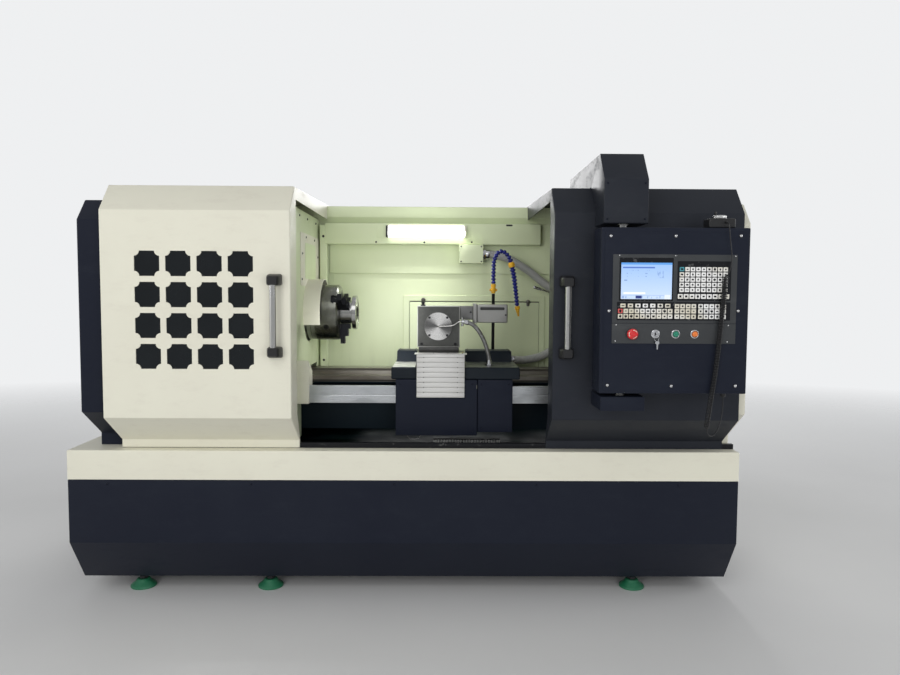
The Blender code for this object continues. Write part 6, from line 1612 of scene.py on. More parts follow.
phase = np.arange(len(hose_points)) % rings_each
along = np.arange(len(hose_points)) / rings_each
swell = 0.0112 * (1 + 0.22 * np.clip((along - 13.0) / 2.0, 0, 1) * (1 - np.clip((along - 18.0) / 9.0, 0, 1)))
blue_radii = link_share[phase] * swell


def stretch(first, last):
    """The hose's rings from one link to another, counted from the pole."""
    return slice(int(first * rings_each), int(last * rings_each) + 1)


blue_parts = [swept(hose_points[stretch(0, 15)], blue_radii[stretch(0, 15)], 20),
              swept(hose_points[stretch(16.5, 28)], blue_radii[stretch(16.5, 28)], 20)]
piece("link_hose_beads", blue_parts, hose_blue, "carriage", "link_hose", sharp=50)
collar_share = np.interp(np.arange(19), (0, 1, 5, 6, 12, 13, 17, 18),
                         (0.0118, 0.0132, 0.0132, 0.0158, 0.0158, 0.0138, 0.0138, 0.0122))
piece("hose_collar", [swept(hose_points[stretch(15, 16.5)], collar_share, 20)], hose_yellow, "carriage",
      sharp=30)
nozzle_radii = np.interp(np.arange(37), (0, 2, 10, 12, 30, 36),
                         (0.0105, 0.0125, 0.0125, 0.0095, 0.0052, 0.0048))
piece("hose_nozzle", [swept(hose_points[stretch(28, 31)], nozzle_radii, 20)], hose_yellow, "carriage",
      sharp=30)

# The coolant hose: steel braid from the saddle to a fitting at the turret, then a thin bent pipe.


def braid_skin():
    """Woven steel braid: fine bright strands with dark gaps, under a patchy dull film."""
    finish = Finish("hose_braid", (0.30, 0.30, 0.295), 0.34, Metallic=0.8)
    strands = finish.noise(1500.0, 1.0)
    film = finish.noise(60.0, 3.0).above(0.5, 0.3)
    shade = finish.mix(strands.above(0.5, 0.1), finish.base, (0.09, 0.09, 0.09, 1))
    return finish.wear(Base_Color=finish.mix(film * 0.4, shade, (0.5, 0.5, 0.49, 1)),
                       Roughness=strands * 0.3 + 0.22, Normal=finish.bump(strands, 0.0002))


cap_front = 0.2657
foot_x, foot_in = 0.345, 0.250
coolant_route = [(x, behind(depth), z) for x, depth, z in (
    (foot_x, foot_in, 0.9253), (foot_x, foot_in, 0.940), (foot_x, foot_in, 0.955),
    (0.332, 0.249, 1.010), (0.308, 0.247, 1.062), (0.278, 0.246, 1.098),
    (0.245, 0.246, 1.111), (0.215, 0.248, 1.111), (0.199, 0.251, 1.100),
    (0.180, 0.252, 1.094), (0.150, 0.252, 1.092), (0.133, 0.253, cap_z),
    (cap_x, 0.258, cap_z), (cap_x, 0.262, cap_z), (cap_x, cap_front, cap_z))]
line_places = 181
pipe_start = 117
coolant_line = smooth_route(coolant_route, line_places)
hose_radius, pipe_radius = 0.0085, 0.0032
coolant_radii = np.interp(np.arange(line_places), (0, pipe_start - 1, pipe_start, line_places - 1),
                          (hose_radius, hose_radius, pipe_radius, pipe_radius))
coolant = piece("coolant_hose_skin", [swept(coolant_line, coolant_radii, 24)], braid_skin(), None,
                "coolant_hose", sharp=60)
pipe_metal = turned_steel("pipe_steel", (0.74, 0.73, 0.71), 0.18, face=False)
coolant.data.materials.append(pipe_metal)
places = np.empty(len(coolant.data.polygons) * 3)
coolant.data.polygons.foreach_get("center", places)
slots = (places.reshape(-1, 3)[:, 0] < coolant_line[pipe_start][0]).astype(np.int32)
coolant.data.polygons.foreach_set("material_index", slots)
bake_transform(coolant)
ferrule = swept(coolant_line[108:124], np.interp(np.arange(16), (0, 1, 8, 9, 14, 15),
                                                 (0.0095, 0.0105, 0.0105, 0.0078, 0.0078, 0.0040)), 20)
stem = [(-0.0190, 0.0), (-0.0190, 0.0048), (-0.0180, 0.0058), (-0.0060, 0.0058), (-0.0055, 0.0040),
        (0.0180, 0.0040), (0.0190, 0.0)]
piece("hose_ferrule", [ferrule, turned(stem, coolant_line[121], "z", 16)], chrome, "cross_slide", sharp=30)
foot_profile = [(0.0001, 0.0), (0.0001, 0.0150), (0.0012, 0.0162), (0.0080, 0.0162), (0.0090, 0.0150),
                (0.0092, 0.0112), (0.0230, 0.0105), (0.0240, 0.0)]
piece("hose_foot", [turned(foot_profile, (foot_x, behind(foot_in), 0.9252), "z", 6),
                    turned([(0.0090, 0.0), (0.0090, 0.0108), (0.0260, 0.0100), (0.0265, 0.0)],
                           (foot_x, behind(foot_in), 0.9252), "z", 24)], chrome, "carriage", sharp=30)

# Loose bits in view: a spare spray bar hung in front of the conduits and a wire loop under the apron.
bar_route = smooth_route([(0.587, behind(0.700), 1.264), (0.610, behind(0.700), 1.2567),
                          (0.640, behind(0.700), 1.2470), (0.690, behind(0.702), 1.2300),
                          (0.735, behind(0.715), 1.2150), (0.752, behind(0.750), 1.2080),
                          (0.756, behind(0.785), 1.2065), (0.756, behind(0.8015), 1.2065)], 60)
bar_radii = np.interp(np.arange(60), (0, 1, 9, 10, 59), (0.0060, 0.0072, 0.0072, 0.0048, 0.0048))
piece("spray_bar", [swept(bar_route, bar_radii, 16)], chrome, "machine", sharp=30)
loop_route = smooth_route([(0.000, behind(0.190), 0.6425), (0.000, behind(0.190), 0.6400),
                           (0.002, behind(0.189), 0.6330), (0.014, behind(0.187), 0.6235),
                           (0.030, behind(0.186), 0.6205), (0.046, behind(0.187), 0.6250),
                           (0.055, behind(0.189), 0.6340), (0.056, behind(0.190), 0.6400),
                           (0.056, behind(0.190), 0.6425)], 48)
piece("wire_loop", [swept(loop_route, 0.0011, 10)], pipe_metal, "carriage", sharp=80)

# Tailstock: a painted casting on the bed with two clamp nuts, an oil cup and a lever that locks its quill.
# The quill is ground steel with a dead centre, and a dished wheel with a turned grip drives it.
tail_left, tail_right = (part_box("tailstock")[end][0] for end in (0, 1))
coat_node("tailstock", cast_paint("tailstock_enamel", (0.60, 0.585, 0.52)))
coat_node("quill", turned_steel("quill_steel", (0.52, 0.52, 0.51), 0.20, face=False))
nose_line = [(tail_left - 0.0030, 0.0346), (tail_left - 0.0030, 0.0500), (tail_left - 0.0015, 0.0515),
             (tail_left - 0.0002, 0.0515), (tail_left - 0.0002, 0.0346), (tail_left - 0.0030, 0.0346)]
lathe_piece("quill_wiper", nose_line, latch_steel, "tailstock")
lever_x, lever_foot = 0.905, spindle_high + 0.0660
boss_line = [(-0.006, 0.0), (-0.006, 0.0150), (0.0035, 0.0150), (0.0050, 0.0135), (0.0050, 0.0095),
             (0.0170, 0.0095), (0.0185, 0.0080), (0.0185, 0.0)]
cup_line = [(-0.006, 0.0), (-0.006, 0.0060), (0.0060, 0.0060), (0.0075, 0.0050), (0.0110, 0.0050),
            (0.0125, 0.0030), (0.0125, 0.0)]
piece("quill_lock", [turned(boss_line, (lever_x, spindle_y, lever_foot), "z", 32),
                     turned(cup_line, (lever_x + 0.085, spindle_y, lever_foot), "z", 24)], latch_steel,
      "tailstock", sharp=30)
lever_line = [(0.0, 0.0), (0.0, 0.0050), (0.070, 0.0042), (0.070, 0.0080), (0.074, 0.0105),
              (0.098, 0.0105), (0.104, 0.0075), (0.106, 0.0)]
lever_rod = turned([(-along, radius) for along, radius in lever_line],
                   (lever_x, spindle_y, lever_foot + 0.0120), "y", 20)
piece("quill_lever", [lever_rod], hard_black("lever_black"), "tailstock", sharp=30)
clamp_line = [(0.0, 0.0), (0.0, 0.0165), (0.0018, 0.0175), (0.0030, 0.0175), (0.0030, 0.0125),
              (0.0150, 0.0125), (0.0168, 0.0110), (0.0168, 0.0)]
clamp_face = behind(0.3245)
clamp_patches = [turned(clamp_line, (x, clamp_face, 0.8885), "y", 6) for x in (0.900, 1.055)]
for patch in clamp_patches:
    patch[..., 1] = 2 * clamp_face - patch[..., 1] - 0.0045
piece("tailstock_clamps", clamp_patches, black_screw, "tailstock", sharp=30)

wheel_left, wheel_right = tail_right + 0.022, tail_right + 0.040
wheel_line = [(tail_right + 0.0004, 0.0), (tail_right + 0.0004, 0.0250), (tail_right + 0.0020, 0.0280),
              (wheel_left + 0.0050, 0.0280), (wheel_left + 0.0065, 0.0310), (wheel_left + 0.0060, 0.0780),
              (wheel_left + 0.0020, 0.0850), (wheel_left, 0.0890), (wheel_left + 0.0030, 0.0935),
              (wheel_left + 0.0090, 0.0950), (wheel_right - 0.0020, 0.0940),
              (wheel_right + 0.0045, 0.0910), (wheel_right + 0.0045, 0.0865),
              (wheel_right - 0.0030, 0.0830), (wheel_right - 0.0060, 0.0780),
              (wheel_right - 0.0070, 0.0330), (wheel_right - 0.0040, 0.0280),
              (wheel_right + 0.0230, 0.0270), (wheel_right + 0.0250, 0.0250),
              (wheel_right + 0.0250, 0.0130), (wheel_right + 0.0235, 0.0120), (wheel_right + 0.0235, 0.0)]
lathe_piece("handwheel_disc", wheel_line,
            turned_steel("handwheel_steel", (0.58, 0.58, 0.57), 0.18, face=False), "tail_handwheel",
            "tail_handwheel")
grip_place = (wheel_right, spindle_y - 0.075, spindle_high)
grip_line = [(-0.0050, 0.0), (-0.0050, 0.0060), (0.0030, 0.0060), (0.0030, 0.0105), (0.0060, 0.0120),
             (0.0200, 0.0108), (0.0380, 0.0112), (0.0520, 0.0120), (0.0570, 0.0105), (0.0595, 0.0060),
             (0.0595, 0.0)]
lathe_piece("handwheel_grip", grip_line, moulded_black("grip_black", 0.40), "tail_handwheel", None, 28,
            30, grip_place)

# Electrical cabinet behind the wall: a welded box, a folded door on two hinges with a cam lock and rows of
# louvres, and inside it a zinc-plated plate with drives, breakers, contactors, a transformer and terminals.
coat_node("electrical_cabinet", cream_coat)
door_low, door_high = (np.array(corner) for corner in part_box("cabinet_door"))
door_face = behind(1.1863)
door_outline = closed_bend(rectangle(door_low[[0, 2]], door_high[[0, 2]]), 0.004)
piece("door_sheet", slab(door_outline, door_low[1], door_face, "y", 0.0025, 3), cream_coat,
      "cabinet_door", "cabinet_door")
louvre_patches = []
for number in range(9):
    low = 0.700 + 0.020 * number
    hood_section = bent([(door_face - 0.0020, low), (door_face + 0.0050, low),
                         (door_face + 0.0050, low + 0.0030), (door_face - 0.0020, low + 0.0125)], 0.002,
                        3)
    louvre_patches += slab(hood_section, -0.800, -0.500, "x", 0.0012)
piece("door_louvres", louvre_patches, cream_coat, "cabinet_door")
lock_line = [(-0.0040, 0.0), (-0.0040, 0.0160), (0.0015, 0.0160), (0.0028, 0.0148), (0.0028, 0.0100),
             (0.0100, 0.0092), (0.0112, 0.0080), (0.0112, 0.0)]
lock_place = (door_high[0] - 0.050, door_face, (door_low[2] + door_high[2]) / 2)
lock_patches = [turned(lock_line, lock_place, "y", 32)]
lock_patches += rounded_block((lock_place[0] - 0.0022, door_face + 0.0100, lock_place[2] - 0.0090),
                              (lock_place[0] + 0.0022, door_face + 0.0120, lock_place[2] + 0.0090), 0.0008)
piece("door_lock", lock_patches, latch_steel, "cabinet_door", sharp=30)
hinge_patches = []
for z in (0.720, 1.390):
    for part in range(3):
        knuckle = [(0.0, 0.0), (0.0, 0.0052), (0.0195, 0.0052), (0.0195, 0.0)]
        hinge_patches.append(turned(knuckle,
                                    (door_low[0] - 0.0040, door_low[1] - 0.0010, z + 0.020 * part), "z",
                                    20))
piece("door_hinges", hinge_patches, latch_steel, "machine", sharp=30)

gear_low, gear_high = (np.array(corner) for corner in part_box("cabinet_gear"))
gear_span = gear_high - gear_low
plate_face = gear_low[1] + 0.004


def zinc_plate():
    """Zinc-plated sheet: crystal patches of slightly different grey."""
    finish = Finish("zinc_plate", (0.52, 0.53, 0.54), 0.36, Metallic=1.0)
    crystal = finish.node("ShaderNodeTexVoronoi", {}, {"Vector": finish.coordinates(), "Scale": 60.0},
                          "Color")
    shade = finish.mix(crystal * 0.5, finish.base, (0.36, 0.37, 0.385, 1))
    return finish.wear(Base_Color=shade, Roughness=crystal * 0.16 + 0.28)


def device_grey(name, colour):
    """Moulded housing in matt grey with a fine spark-eroded grain."""
    finish = Finish(name, colour, 0.55)
    grain = finish.noise(1500.0, 2.0)
    dust = finish.noise(12.0, 4.0).above(0.55, 0.3)
    return finish.wear(Base_Color=finish.mix(dust * 0.35, finish.base, (0.26, 0.255, 0.24, 1)),
                       Roughness=grain * 0.12 + 0.48, Normal=finish.bump(grain, 0.00005))


def share_place(left, right, low, high):
    """The X and Z ends of a device from its shares of the plate's width and height."""
    x = gear_low[0] + gear_span[0] * np.array((left, right))
    z = gear_low[2] + gear_span[2] * np.array((low, high))
    return x, z


def device(left, right, low, high, reach):
    """A housing on the plate: its body with a stepped front cover."""
    (x0, x1), (z0, z1) = share_place(left, right, low, high)
    front = plate_face + gear_span[0] * reach
    body = rounded_block((x0, plate_face - 0.001, z0), (x1, front - 0.012, z1), 0.002)
    return body + rounded_block((x0 + 0.004, front - 0.014, z0 + 0.006), (x1 - 0.004, front, z1 - 0.006),
                                0.003)


def device_row(left, right, low, high, reach, count):
    """Narrow devices side by side on a rail, each with a gap to the next."""
    edges = np.linspace(left, right, count + 1)
    patches = []
    for start, end in zip(edges, edges[1:]):
        patches += device(start, end - (end - start) * 0.06, low, high, reach)
    return patches


drive_grey = device_grey("drive_grey", (0.105, 0.108, 0.110))
light_grey = device_grey("switch_grey", (0.42, 0.42, 0.40))
plate_outline = closed_bend(rectangle(gear_low[[0, 2]], gear_high[[0, 2]]), 0.005)
piece("gear_plate", slab(plate_outline, gear_low[1], plate_face, "y", 0.0006, 1), zinc_plate(), "machine",
      "cabinet_gear")
piece("spindle_drive", device(0.06, 0.30, 0.50, 0.94, 0.165), drive_grey, "machine", "cabinet_gear")
piece("axis_drives", device(0.38, 0.50, 0.52, 0.92, 0.145) + device(0.55, 0.67, 0.52, 0.92, 0.145),
      drive_grey, "machine", "cabinet_gear")
piece("control_rack", device(0.72, 0.94, 0.56, 0.90, 0.115), light_grey, "machine", "cabinet_gear")
piece("breakers", device_row(0.06, 0.60, 0.34, 0.42, 0.065, 12), light_grey, "machine", "cabinet_gear")
piece("contactors", device_row(0.66, 0.94, 0.30, 0.44, 0.085, 4), drive_grey, "machine", "cabinet_gear")
piece("terminals", device_row(0.44, 0.92, 0.08, 0.18, 0.055, 24), light_grey, "machine", "cabinet_gear")
core_x, core_z = share_place(0.10, 0.34, 0.06, 0.24)
core_steel = hard_black("transformer_steel", 0.5)
piece("transformer_core", rounded_block((core_x[0], plate_face - 0.001, core_z[0]),
                                        (core_x[1], plate_face + 0.070, core_z[1]), 0.003), core_steel,
      "machine", "cabinet_gear")
winding_patches = []
for number in range(2):
    middle = core_x[0] + (core_x[1] - core_x[0]) * (0.28 + 0.44 * number)
    winding_patches += rounded_block((middle - 0.030, plate_face + 0.060, core_z[0] + 0.014),
                                     (middle + 0.030, plate_face + 0.096, core_z[1] - 0.014), 0.010)
piece("transformer_windings", winding_patches, moulded_black("winding_tape", 0.6), "machine", "cabinet_gear")

# Coolant pump on the rear rim: a flanged foot, a neck, a ribbed motor with its fan cowl and a terminal box.
pump_middle = (np.array(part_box("coolant_pump")[0]) + np.array(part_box("coolant_pump")[1])) / 2
pump_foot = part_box("coolant_pump")[0][2]
pump_line = [(0.0, 0.0), (0.0, 0.0545), (0.0015, 0.0560), (0.0085, 0.0560), (0.0097, 0.0548),
             (0.0097, 0.0400), (0.0390, 0.0400), (0.0405, 0.0540), (0.0420, 0.0558), (0.0520, 0.0558),
             (0.0535, 0.0520)]
for number in range(9):
    rib = 0.0560 + 0.0125 * number
    pump_line += [(rib, 0.0500), (rib + 0.0045, 0.0500), (rib + 0.0050, 0.0552), (rib + 0.0085, 0.0552)]
pump_line += [(0.1700, 0.0520), (0.1710, 0.0556), (0.1960, 0.0556), (0.2060, 0.0530), (0.2150, 0.0440),
              (0.2180, 0.0380), (0.2180, 0.0)]
pump_paint = cast_paint("pump_enamel", (0.020, 0.045, 0.090), 0.38, 0.0002)
piece("pump_motor", [turned(pump_line, (pump_middle[0], pump_middle[1], pump_foot), "z", 56)], pump_paint,
      "machine", "coolant_pump", sharp=30)
piece("pump_terminal_box", rounded_block((pump_middle[0] - 0.026, pump_middle[1] - 0.086,
                                          pump_foot + 0.085), (pump_middle[0] + 0.026,
                                                               pump_middle[1] - 0.050, pump_foot + 0.135),
                                         0.004), pump_paint, "machine")
flange_bolts = [(pump_middle[0] + 0.048 * math.cos(angle), pump_middle[1] + 0.048 * math.sin(angle),
                 pump_foot + 0.0094) for angle in np.linspace(math.pi / 4, math.pi * 7 / 4, 4)]
screw_set("pump_bolts", flange_bolts, "z", 1, 0.0050, black_screw, "machine")

# Control box: a folded box on two pins with a screwed front cover, and on it the operator panel with its
# screen, membrane keys and four controls. Only blank shapes stand where the real panel has words.
panel_skin = behind(-0.2923)
box_skin = rounded_block((0.700, behind(-0.2884), 0.884), (1.222, behind(-0.165), 1.468), 0.004)
piece("control_box_shell", box_skin, navy_coat, "control_box", "control_box")
cover_outline = closed_bend(rectangle((0.7125, 0.8935), (1.2150, 1.4520)), 0.004)
piece("control_box_cover", slab(cover_outline, behind(-0.2902), behind(-0.2886), "y", 0.0008), navy_coat,
      "control_box")
pins = [turned([(low, 0.0), (low, 0.0140), (high, 0.0140), (high, 0.0)], (0.790, behind(-0.222), 0), "z", 28)
        for low, high in ((0.8703, 0.8838), (1.4682, 1.4837))]
washers = [turned([(low, 0.0), (low, 0.0190), (high, 0.0190), (high, 0.0)], (0.790, behind(-0.222), 0),
                  "z", 28) for low, high in ((0.8704, 0.8730), (1.4810, 1.4836))]
piece("swivel_pins", pins + washers, dull_steel("pin_steel", (0.34, 0.34, 0.335), 0.32), "control_box",
      sharp=30)
cover_screws = [(0.732, 1.437), (0.959, 1.438), (1.187, 1.440), (0.730, 1.176), (1.184, 1.178),
                (0.729, 0.914), (0.955, 0.912), (1.182, 0.913)]
bright_screw = stainless("bright_screws", "z", (0.82, 0.82, 0.83), 0.16, 900.0)


def domed_heads(places, depth, radius):
    """Bright domed screw heads on dark washers, as (x, height) places at a depth."""
    profile = [(0.0, 0.0), (0.0, 1.0), (-0.30, 0.98), (-0.55, 0.82), (-0.72, 0.50), (-0.74, 0.30),
               (-0.30, 0.26), (-0.30, 0.0)]
    return [turned(np.array(profile) * radius, (x, depth, z), "y", 20) for x, z in places]


piece("cover_washers", [turned([(0.0, 0.0), (0.0, 0.0066), (-0.0008, 0.0062), (-0.0008, 0.0)],
                               (x, behind(-0.2902), z), "y", 24) for x, z in cover_screws], black_screw,
      "control_box", sharp=30)
piece("cover_screws", domed_heads(cover_screws, behind(-0.2910), 0.0052), bright_screw, "control_box",
      sharp=30)
side_latch = [turned([(1.2218, 0.0), (1.2218, 0.0090), (1.2245, 0.0090), (1.2250, 0.0070),
                      (1.2290, 0.0060), (1.2290, 0.0)], (0, behind(-0.262), 1.083), "x", 20)]
piece("box_side_lock", side_latch, black_screw, "control_box", sharp=30)

panel_low, panel_high, panel_seam = (0.741, 1.062), (1.177, 1.374), 1.133
panel_coat = powder_coat("panel_coat", (0.030, 0.033, 0.036), (0.055, 0.058, 0.060), 0.36, 0.00004)
upper_plate = closed_bend(rectangle((panel_low[0], panel_seam + 0.0005), panel_high), 0.0020)
lower_plate = closed_bend(rectangle(panel_low, (panel_high[0], panel_seam - 0.0005)), 0.0020)
piece("operator_plate", slab(upper_plate, panel_skin, behind(-0.29035), "y", 0.0005), panel_coat,
      "control_box", "operator_panel")
piece("button_plate", slab(lower_plate, panel_skin, behind(-0.29035), "y", 0.0005), panel_coat,
      "control_box", "operator_panel")
plate_screws = [(0.7635, 1.3700), (0.9590, 1.3695), (1.1700, 1.3690), (0.7560, 1.1275), (1.1500, 1.1265),
                (0.7540, 1.0705), (1.1480, 1.0690)]
piece("plate_screws", domed_heads(plate_screws, panel_skin, 0.0026), bright_screw, "control_box", sharp=30)

# Screen: a black glass bezel and a lit picture with bars, rows and a frame, but no words.


def lit_screen():
    """A blue LCD page, lit from behind: title bar, ruled rows, an entry line and a row of soft keys."""
    finish = Finish("screen_light", (0.02, 0.03, 0.05), 0.16, Emission_Strength=0.92)
    across = (finish.axis("X") - 0.7700) * (1 / 0.1780)
    height = (finish.axis("Z") - 1.2180) * (1 / 0.1270)

    def bar(left, right, low, high, soft=0.006):
        return across.between(left, right, soft) * height.between(low, high, soft)

    glow = finish.mix(height, (0.62, 0.76, 0.98, 1), (0.34, 0.55, 0.93, 1))
    glow = finish.mix(bar(-0.1, 1.1, 0.945, 1.1), glow, (0.12, 0.36, 0.82, 1))
    glow = finish.mix(bar(0.03, 0.66, 0.845, 0.885), glow, (0.10, 0.20, 0.62, 1))
    rows = (height * 12.0).math("FRACT", 0.0).between(0.30, 0.62, 0.1) * height.between(0.55, 0.80, 0.01)
    marks = finish.noise(150.0, 1.0, (1, 1, 0.35)).above(0.56, 0.08)
    cells = across.between(0.10, 0.34, 0.01) + across.between(0.47, 0.60, 0.01)
    glow = finish.mix(rows * marks * cells * 0.6, glow, (0.16, 0.27, 0.62, 1))
    glow = finish.mix(bar(0.71, 0.90, 0.58, 0.80) * marks * 0.45, glow, (0.14, 0.26, 0.60, 1))
    glow = finish.mix(bar(0.76, 0.765, 0.58, 0.80) * 0.6, glow, (0.20, 0.33, 0.70, 1))
    glow = finish.mix(bar(0.06, 0.12, 0.505, 0.53) * 0.8, glow, (0.10, 0.20, 0.50, 1))
    glow = finish.mix(bar(0.05, 0.48, 0.135, 0.19), glow, (0.93, 0.96, 1.0, 1))
    glow = finish.mix(bar(-0.1, 1.1, 0.100, 0.110) * 0.7, glow, (0.20, 0.33, 0.70, 1))
    tabs = height.between(0.02, 0.085, 0.01) * (across * 8.0).math("FRACT", 0.0).between(0.10, 0.90, 0.05)
    glow = finish.mix(tabs * marks * 0.7, glow, (0.20, 0.33, 0.66, 1))
    glow = finish.mix(bar(0.29, 0.41, 0.015, 0.095), glow, (0.03, 0.05, 0.22, 1))
    glow = finish.mix(bar(0.86, 0.98, -0.1, 0.12) * 0.9, glow, (0.86, 0.92, 1.0, 1))
    return finish.wear(Base_Color=finish.mix(0.85, glow, (0, 0, 0, 1)), Emission_Color=glow)


bezel_black = hard_black("bezel_gloss", 0.12)
bezel_back = panel_skin - 0.0002
piece("screen_bezel", bent_plate((0.7640, 1.2115), (0.9530, 1.3620), 0.0020, bezel_back - 0.0012,
                                 bezel_back, "y", 0.0004), bezel_black, "control_box", "screen")
piece("screen_picture", slab(rectangle((0.7700, 1.2180), (0.9480, 1.3450)), bezel_back - 0.0015,
                             bezel_back - 0.0011, "y", 0.0001, 1), lit_screen(), "control_box", "screen")

# Keys: two black pads with rows of blank domed keys, each in one of a few tints and with a small dark mark.


def pad(name, low, high):
    """A black membrane field."""
    piece(name, bent_plate(low, high, 0.0015, panel_skin - 0.0006, panel_skin - 0.0001, "y", 0.0002, 1),
          pad_black, "control_box")


def key_film():
    """Printed key film: each key has its own tint by its place."""
    finish = Finish("key_film", (0.70, 0.70, 0.67), 0.42)
    warm = finish.noise(9.0, 0.0, (1, 0.01, 1)).above(0.50, 0.25)
    tint = finish.mix(warm, (0.86, 0.86, 0.85, 1), (0.66, 0.62, 0.50, 1))
    return finish.wear(Base_Color=tint, Roughness=finish.noise(90.0, 3.0) * 0.2 + 0.32)


pad_black = hard_black("pad_black", 0.30)
key_tint = key_film()
mark_dark = hard_black("key_mark", 0.5)
accent_teal = link_plastic("key_teal", (0.06, 0.30, 0.36))
accent_red = link_plastic("key_red", (0.62, 0.10, 0.09))
pad("keypad_field", (0.9670, 1.2135), (1.1560, 1.3510))
pad("lower_key_field", (0.7570, 1.1440), (1.1560, 1.2080))
key_rows = [(np.arange(9), 0.9745, 0.01915, 0.0160, 1.3305 - 0.01805 * row, 0.0150) for row in range(5)]
key_rows += [(np.arange(9), 0.9700, 0.02040, 0.0175, 1.2365, 0.0165)]
key_rows += [(np.arange(7), 0.7690, 0.02620, 0.0185, 1.2020, 0.0135)]
key_rows += [(np.arange(10), 0.7610, 0.01945, 0.0165, top, 0.0158) for top in (1.1840, 1.1655)]
key_rows += [(np.arange(4), left, 0.01960, 0.0165, top, 0.0155) for left in (0.9600, 1.0430)
             for top in (1.2015, 1.1840, 1.1650)]
key_rows += [(np.arange(1), 1.1240, 0.0196, 0.0165, top, 0.0155) for top in (1.2015, 1.1840, 1.1650)]
keys = [(left + pitch * number, left + pitch * number + wide, top - high, top)
        for numbers, left, pitch, wide, top, high in key_rows for number in numbers]
key_front = panel_skin - 0.0017


def key_patches(spans):
    """Low domed keys: a rounded outline that steps in twice towards its face."""
    patches = []
    for left, right, low, high in spans:
        outline = closed_bend(rectangle((left, low), (right, high)), 0.0014, 2)
        patches += slab(outline, key_front, panel_skin - 0.0005, "y", 0.0006, 2)
    return patches


teal_key, red_key = 0, 61
plain = [key for number, key in enumerate(keys) if number not in (teal_key, red_key)]
piece("membrane_keys", key_patches(plain), key_tint, "control_box")
piece("teal_key", key_patches([keys[teal_key]]), accent_teal, "control_box")
piece("red_key", key_patches([keys[red_key]]), accent_red, "control_box")
marks = []
rng = np.random.default_rng(7)
for left, right, low, high in keys:
    middle_x, middle_z = (left + right) / 2, (low + high) / 2
    wide, tall = (right - left) * rng.uniform(0.16, 0.30), (high - low) * rng.uniform(0.09, 0.24)
    marks += [standing(rectangle((middle_x - wide, middle_z - tall), (middle_x + wide, middle_z + tall)),
                       key_front - 0.00004, "y")]
    if rng.random() < 0.4:
        bar = (middle_x - wide * 0.2, middle_x + wide * 0.2)
        marks += [standing(rectangle((bar[0], middle_z - tall * 2), (bar[1], middle_z + tall * 2)),
                           key_front - 0.00005, "y")]
piece("key_marks", marks, mark_dark, "control_box")

# The four controls: a red mushroom, a key switch with its key ring, and two ringed push buttons.
button_z, collar_face = 1.096, behind(-0.2968)
estop_x, key_x, start_x, hold_x = 0.810, 0.894, 0.965, 1.032


def control_line(profile):
    """(reach, radius) from the collar's face towards the operator, as (along Y, radius)."""
    return [(-reach, radius) for reach, radius in profile]


collar = [(-0.0046, 0.0), (-0.0046, 0.0150), (-0.0038, 0.0154), (-0.0012, 0.0150), (-0.0004, 0.0140),
          (-0.0004, 0.0100), (-0.0030, 0.0100), (-0.0030, 0.0)]
piece("estop_collar", [turned(control_line([(-0.0046, 0.0), (-0.0046, 0.0172), (-0.0034, 0.0176),
                                            (-0.0008, 0.0160), (0.0, 0.0148), (0.0, 0.0102),
                                            (-0.0044, 0.0102), (-0.0044, 0.0)]),
                              (estop_x, collar_face, button_z), "y", 40)], black_moulding, "control_box",
      sharp=40)
rings = [turned(control_line(collar), (x, collar_face, button_z), "y", 40) for x in (key_x, start_x, hold_x)]
piece("chrome_collars", rings, chrome, "control_box", sharp=40)
red_cap = link_plastic("estop_red", (0.62, 0.018, 0.020))
mushroom = [(-0.0002, 0.0), (-0.0002, 0.0092), (0.0046, 0.0092), (0.0052, 0.0150), (0.0060, 0.0180),
            (0.0078, 0.0190), (0.0150, 0.0190), (0.0178, 0.0184), (0.0198, 0.0168), (0.0212, 0.0140),
            (0.0224, 0.0090), (0.0231, 0.0)]
piece("estop_head", [turned(control_line(mushroom), (estop_x, collar_face, button_z), "y", 48)], red_cap,
      "emergency_stop", "emergency_stop", sharp=50)
arrow = []
for turn in range(3):
    angle = np.radians(np.linspace(0, 62, 9) + 120 * turn + 30)
    outer, inner = 0.0150, 0.0132
    face = [np.stack([estop_x + radius * np.cos(angle), np.full(9, collar_face - depth),
                      button_z + radius * np.sin(angle)], axis=-1) for radius, depth in (
        (outer, 0.02098), (inner, 0.02165))]
    arrow.append(np.stack(face))
piece("estop_marks", arrow, cream_coat, "emergency_stop", "emergency_stop")
barrel = [(0.0002, 0.0), (0.0002, 0.0108), (0.0030, 0.0108), (0.0040, 0.0098), (0.0040, 0.0052),
          (0.0034, 0.0050), (0.0034, 0.0)]
piece("key_barrel", [turned(control_line(barrel), (key_x, collar_face, button_z), "y", 36)], chrome,
      "key_switch", "key_switch", sharp=40)
piece("key_slot_plug", [turned(control_line([(0.0030, 0.0), (0.0030, 0.0048), (0.0039, 0.0046),
                                             (0.0039, 0.0)]), (key_x, collar_face, button_z), "y", 28)],
      black_moulding, "key_switch", "key_switch", sharp=40)
bow_outline = closed_bend([(-0.0036, 0.0006), (-0.0036, 0.0036), (-0.0088, 0.0052), (-0.0104, 0.0086),
                           (-0.0088, 0.0120), (0.0088, 0.0120), (0.0104, 0.0086), (0.0088, 0.0052),
                           (0.0036, 0.0036), (0.0036, 0.0006)], 0.0026, 3)
bow = slab([(collar_face - depth, button_z + height) for height, depth in bow_outline + (0, 0.0030)],
           key_x - 0.0011, key_x + 0.0011, "x", 0.0003, 1)
piece("key_bow", bow, chrome, "key_switch", "key_switch")
turn = np.linspace(0, 2 * math.pi, 40)
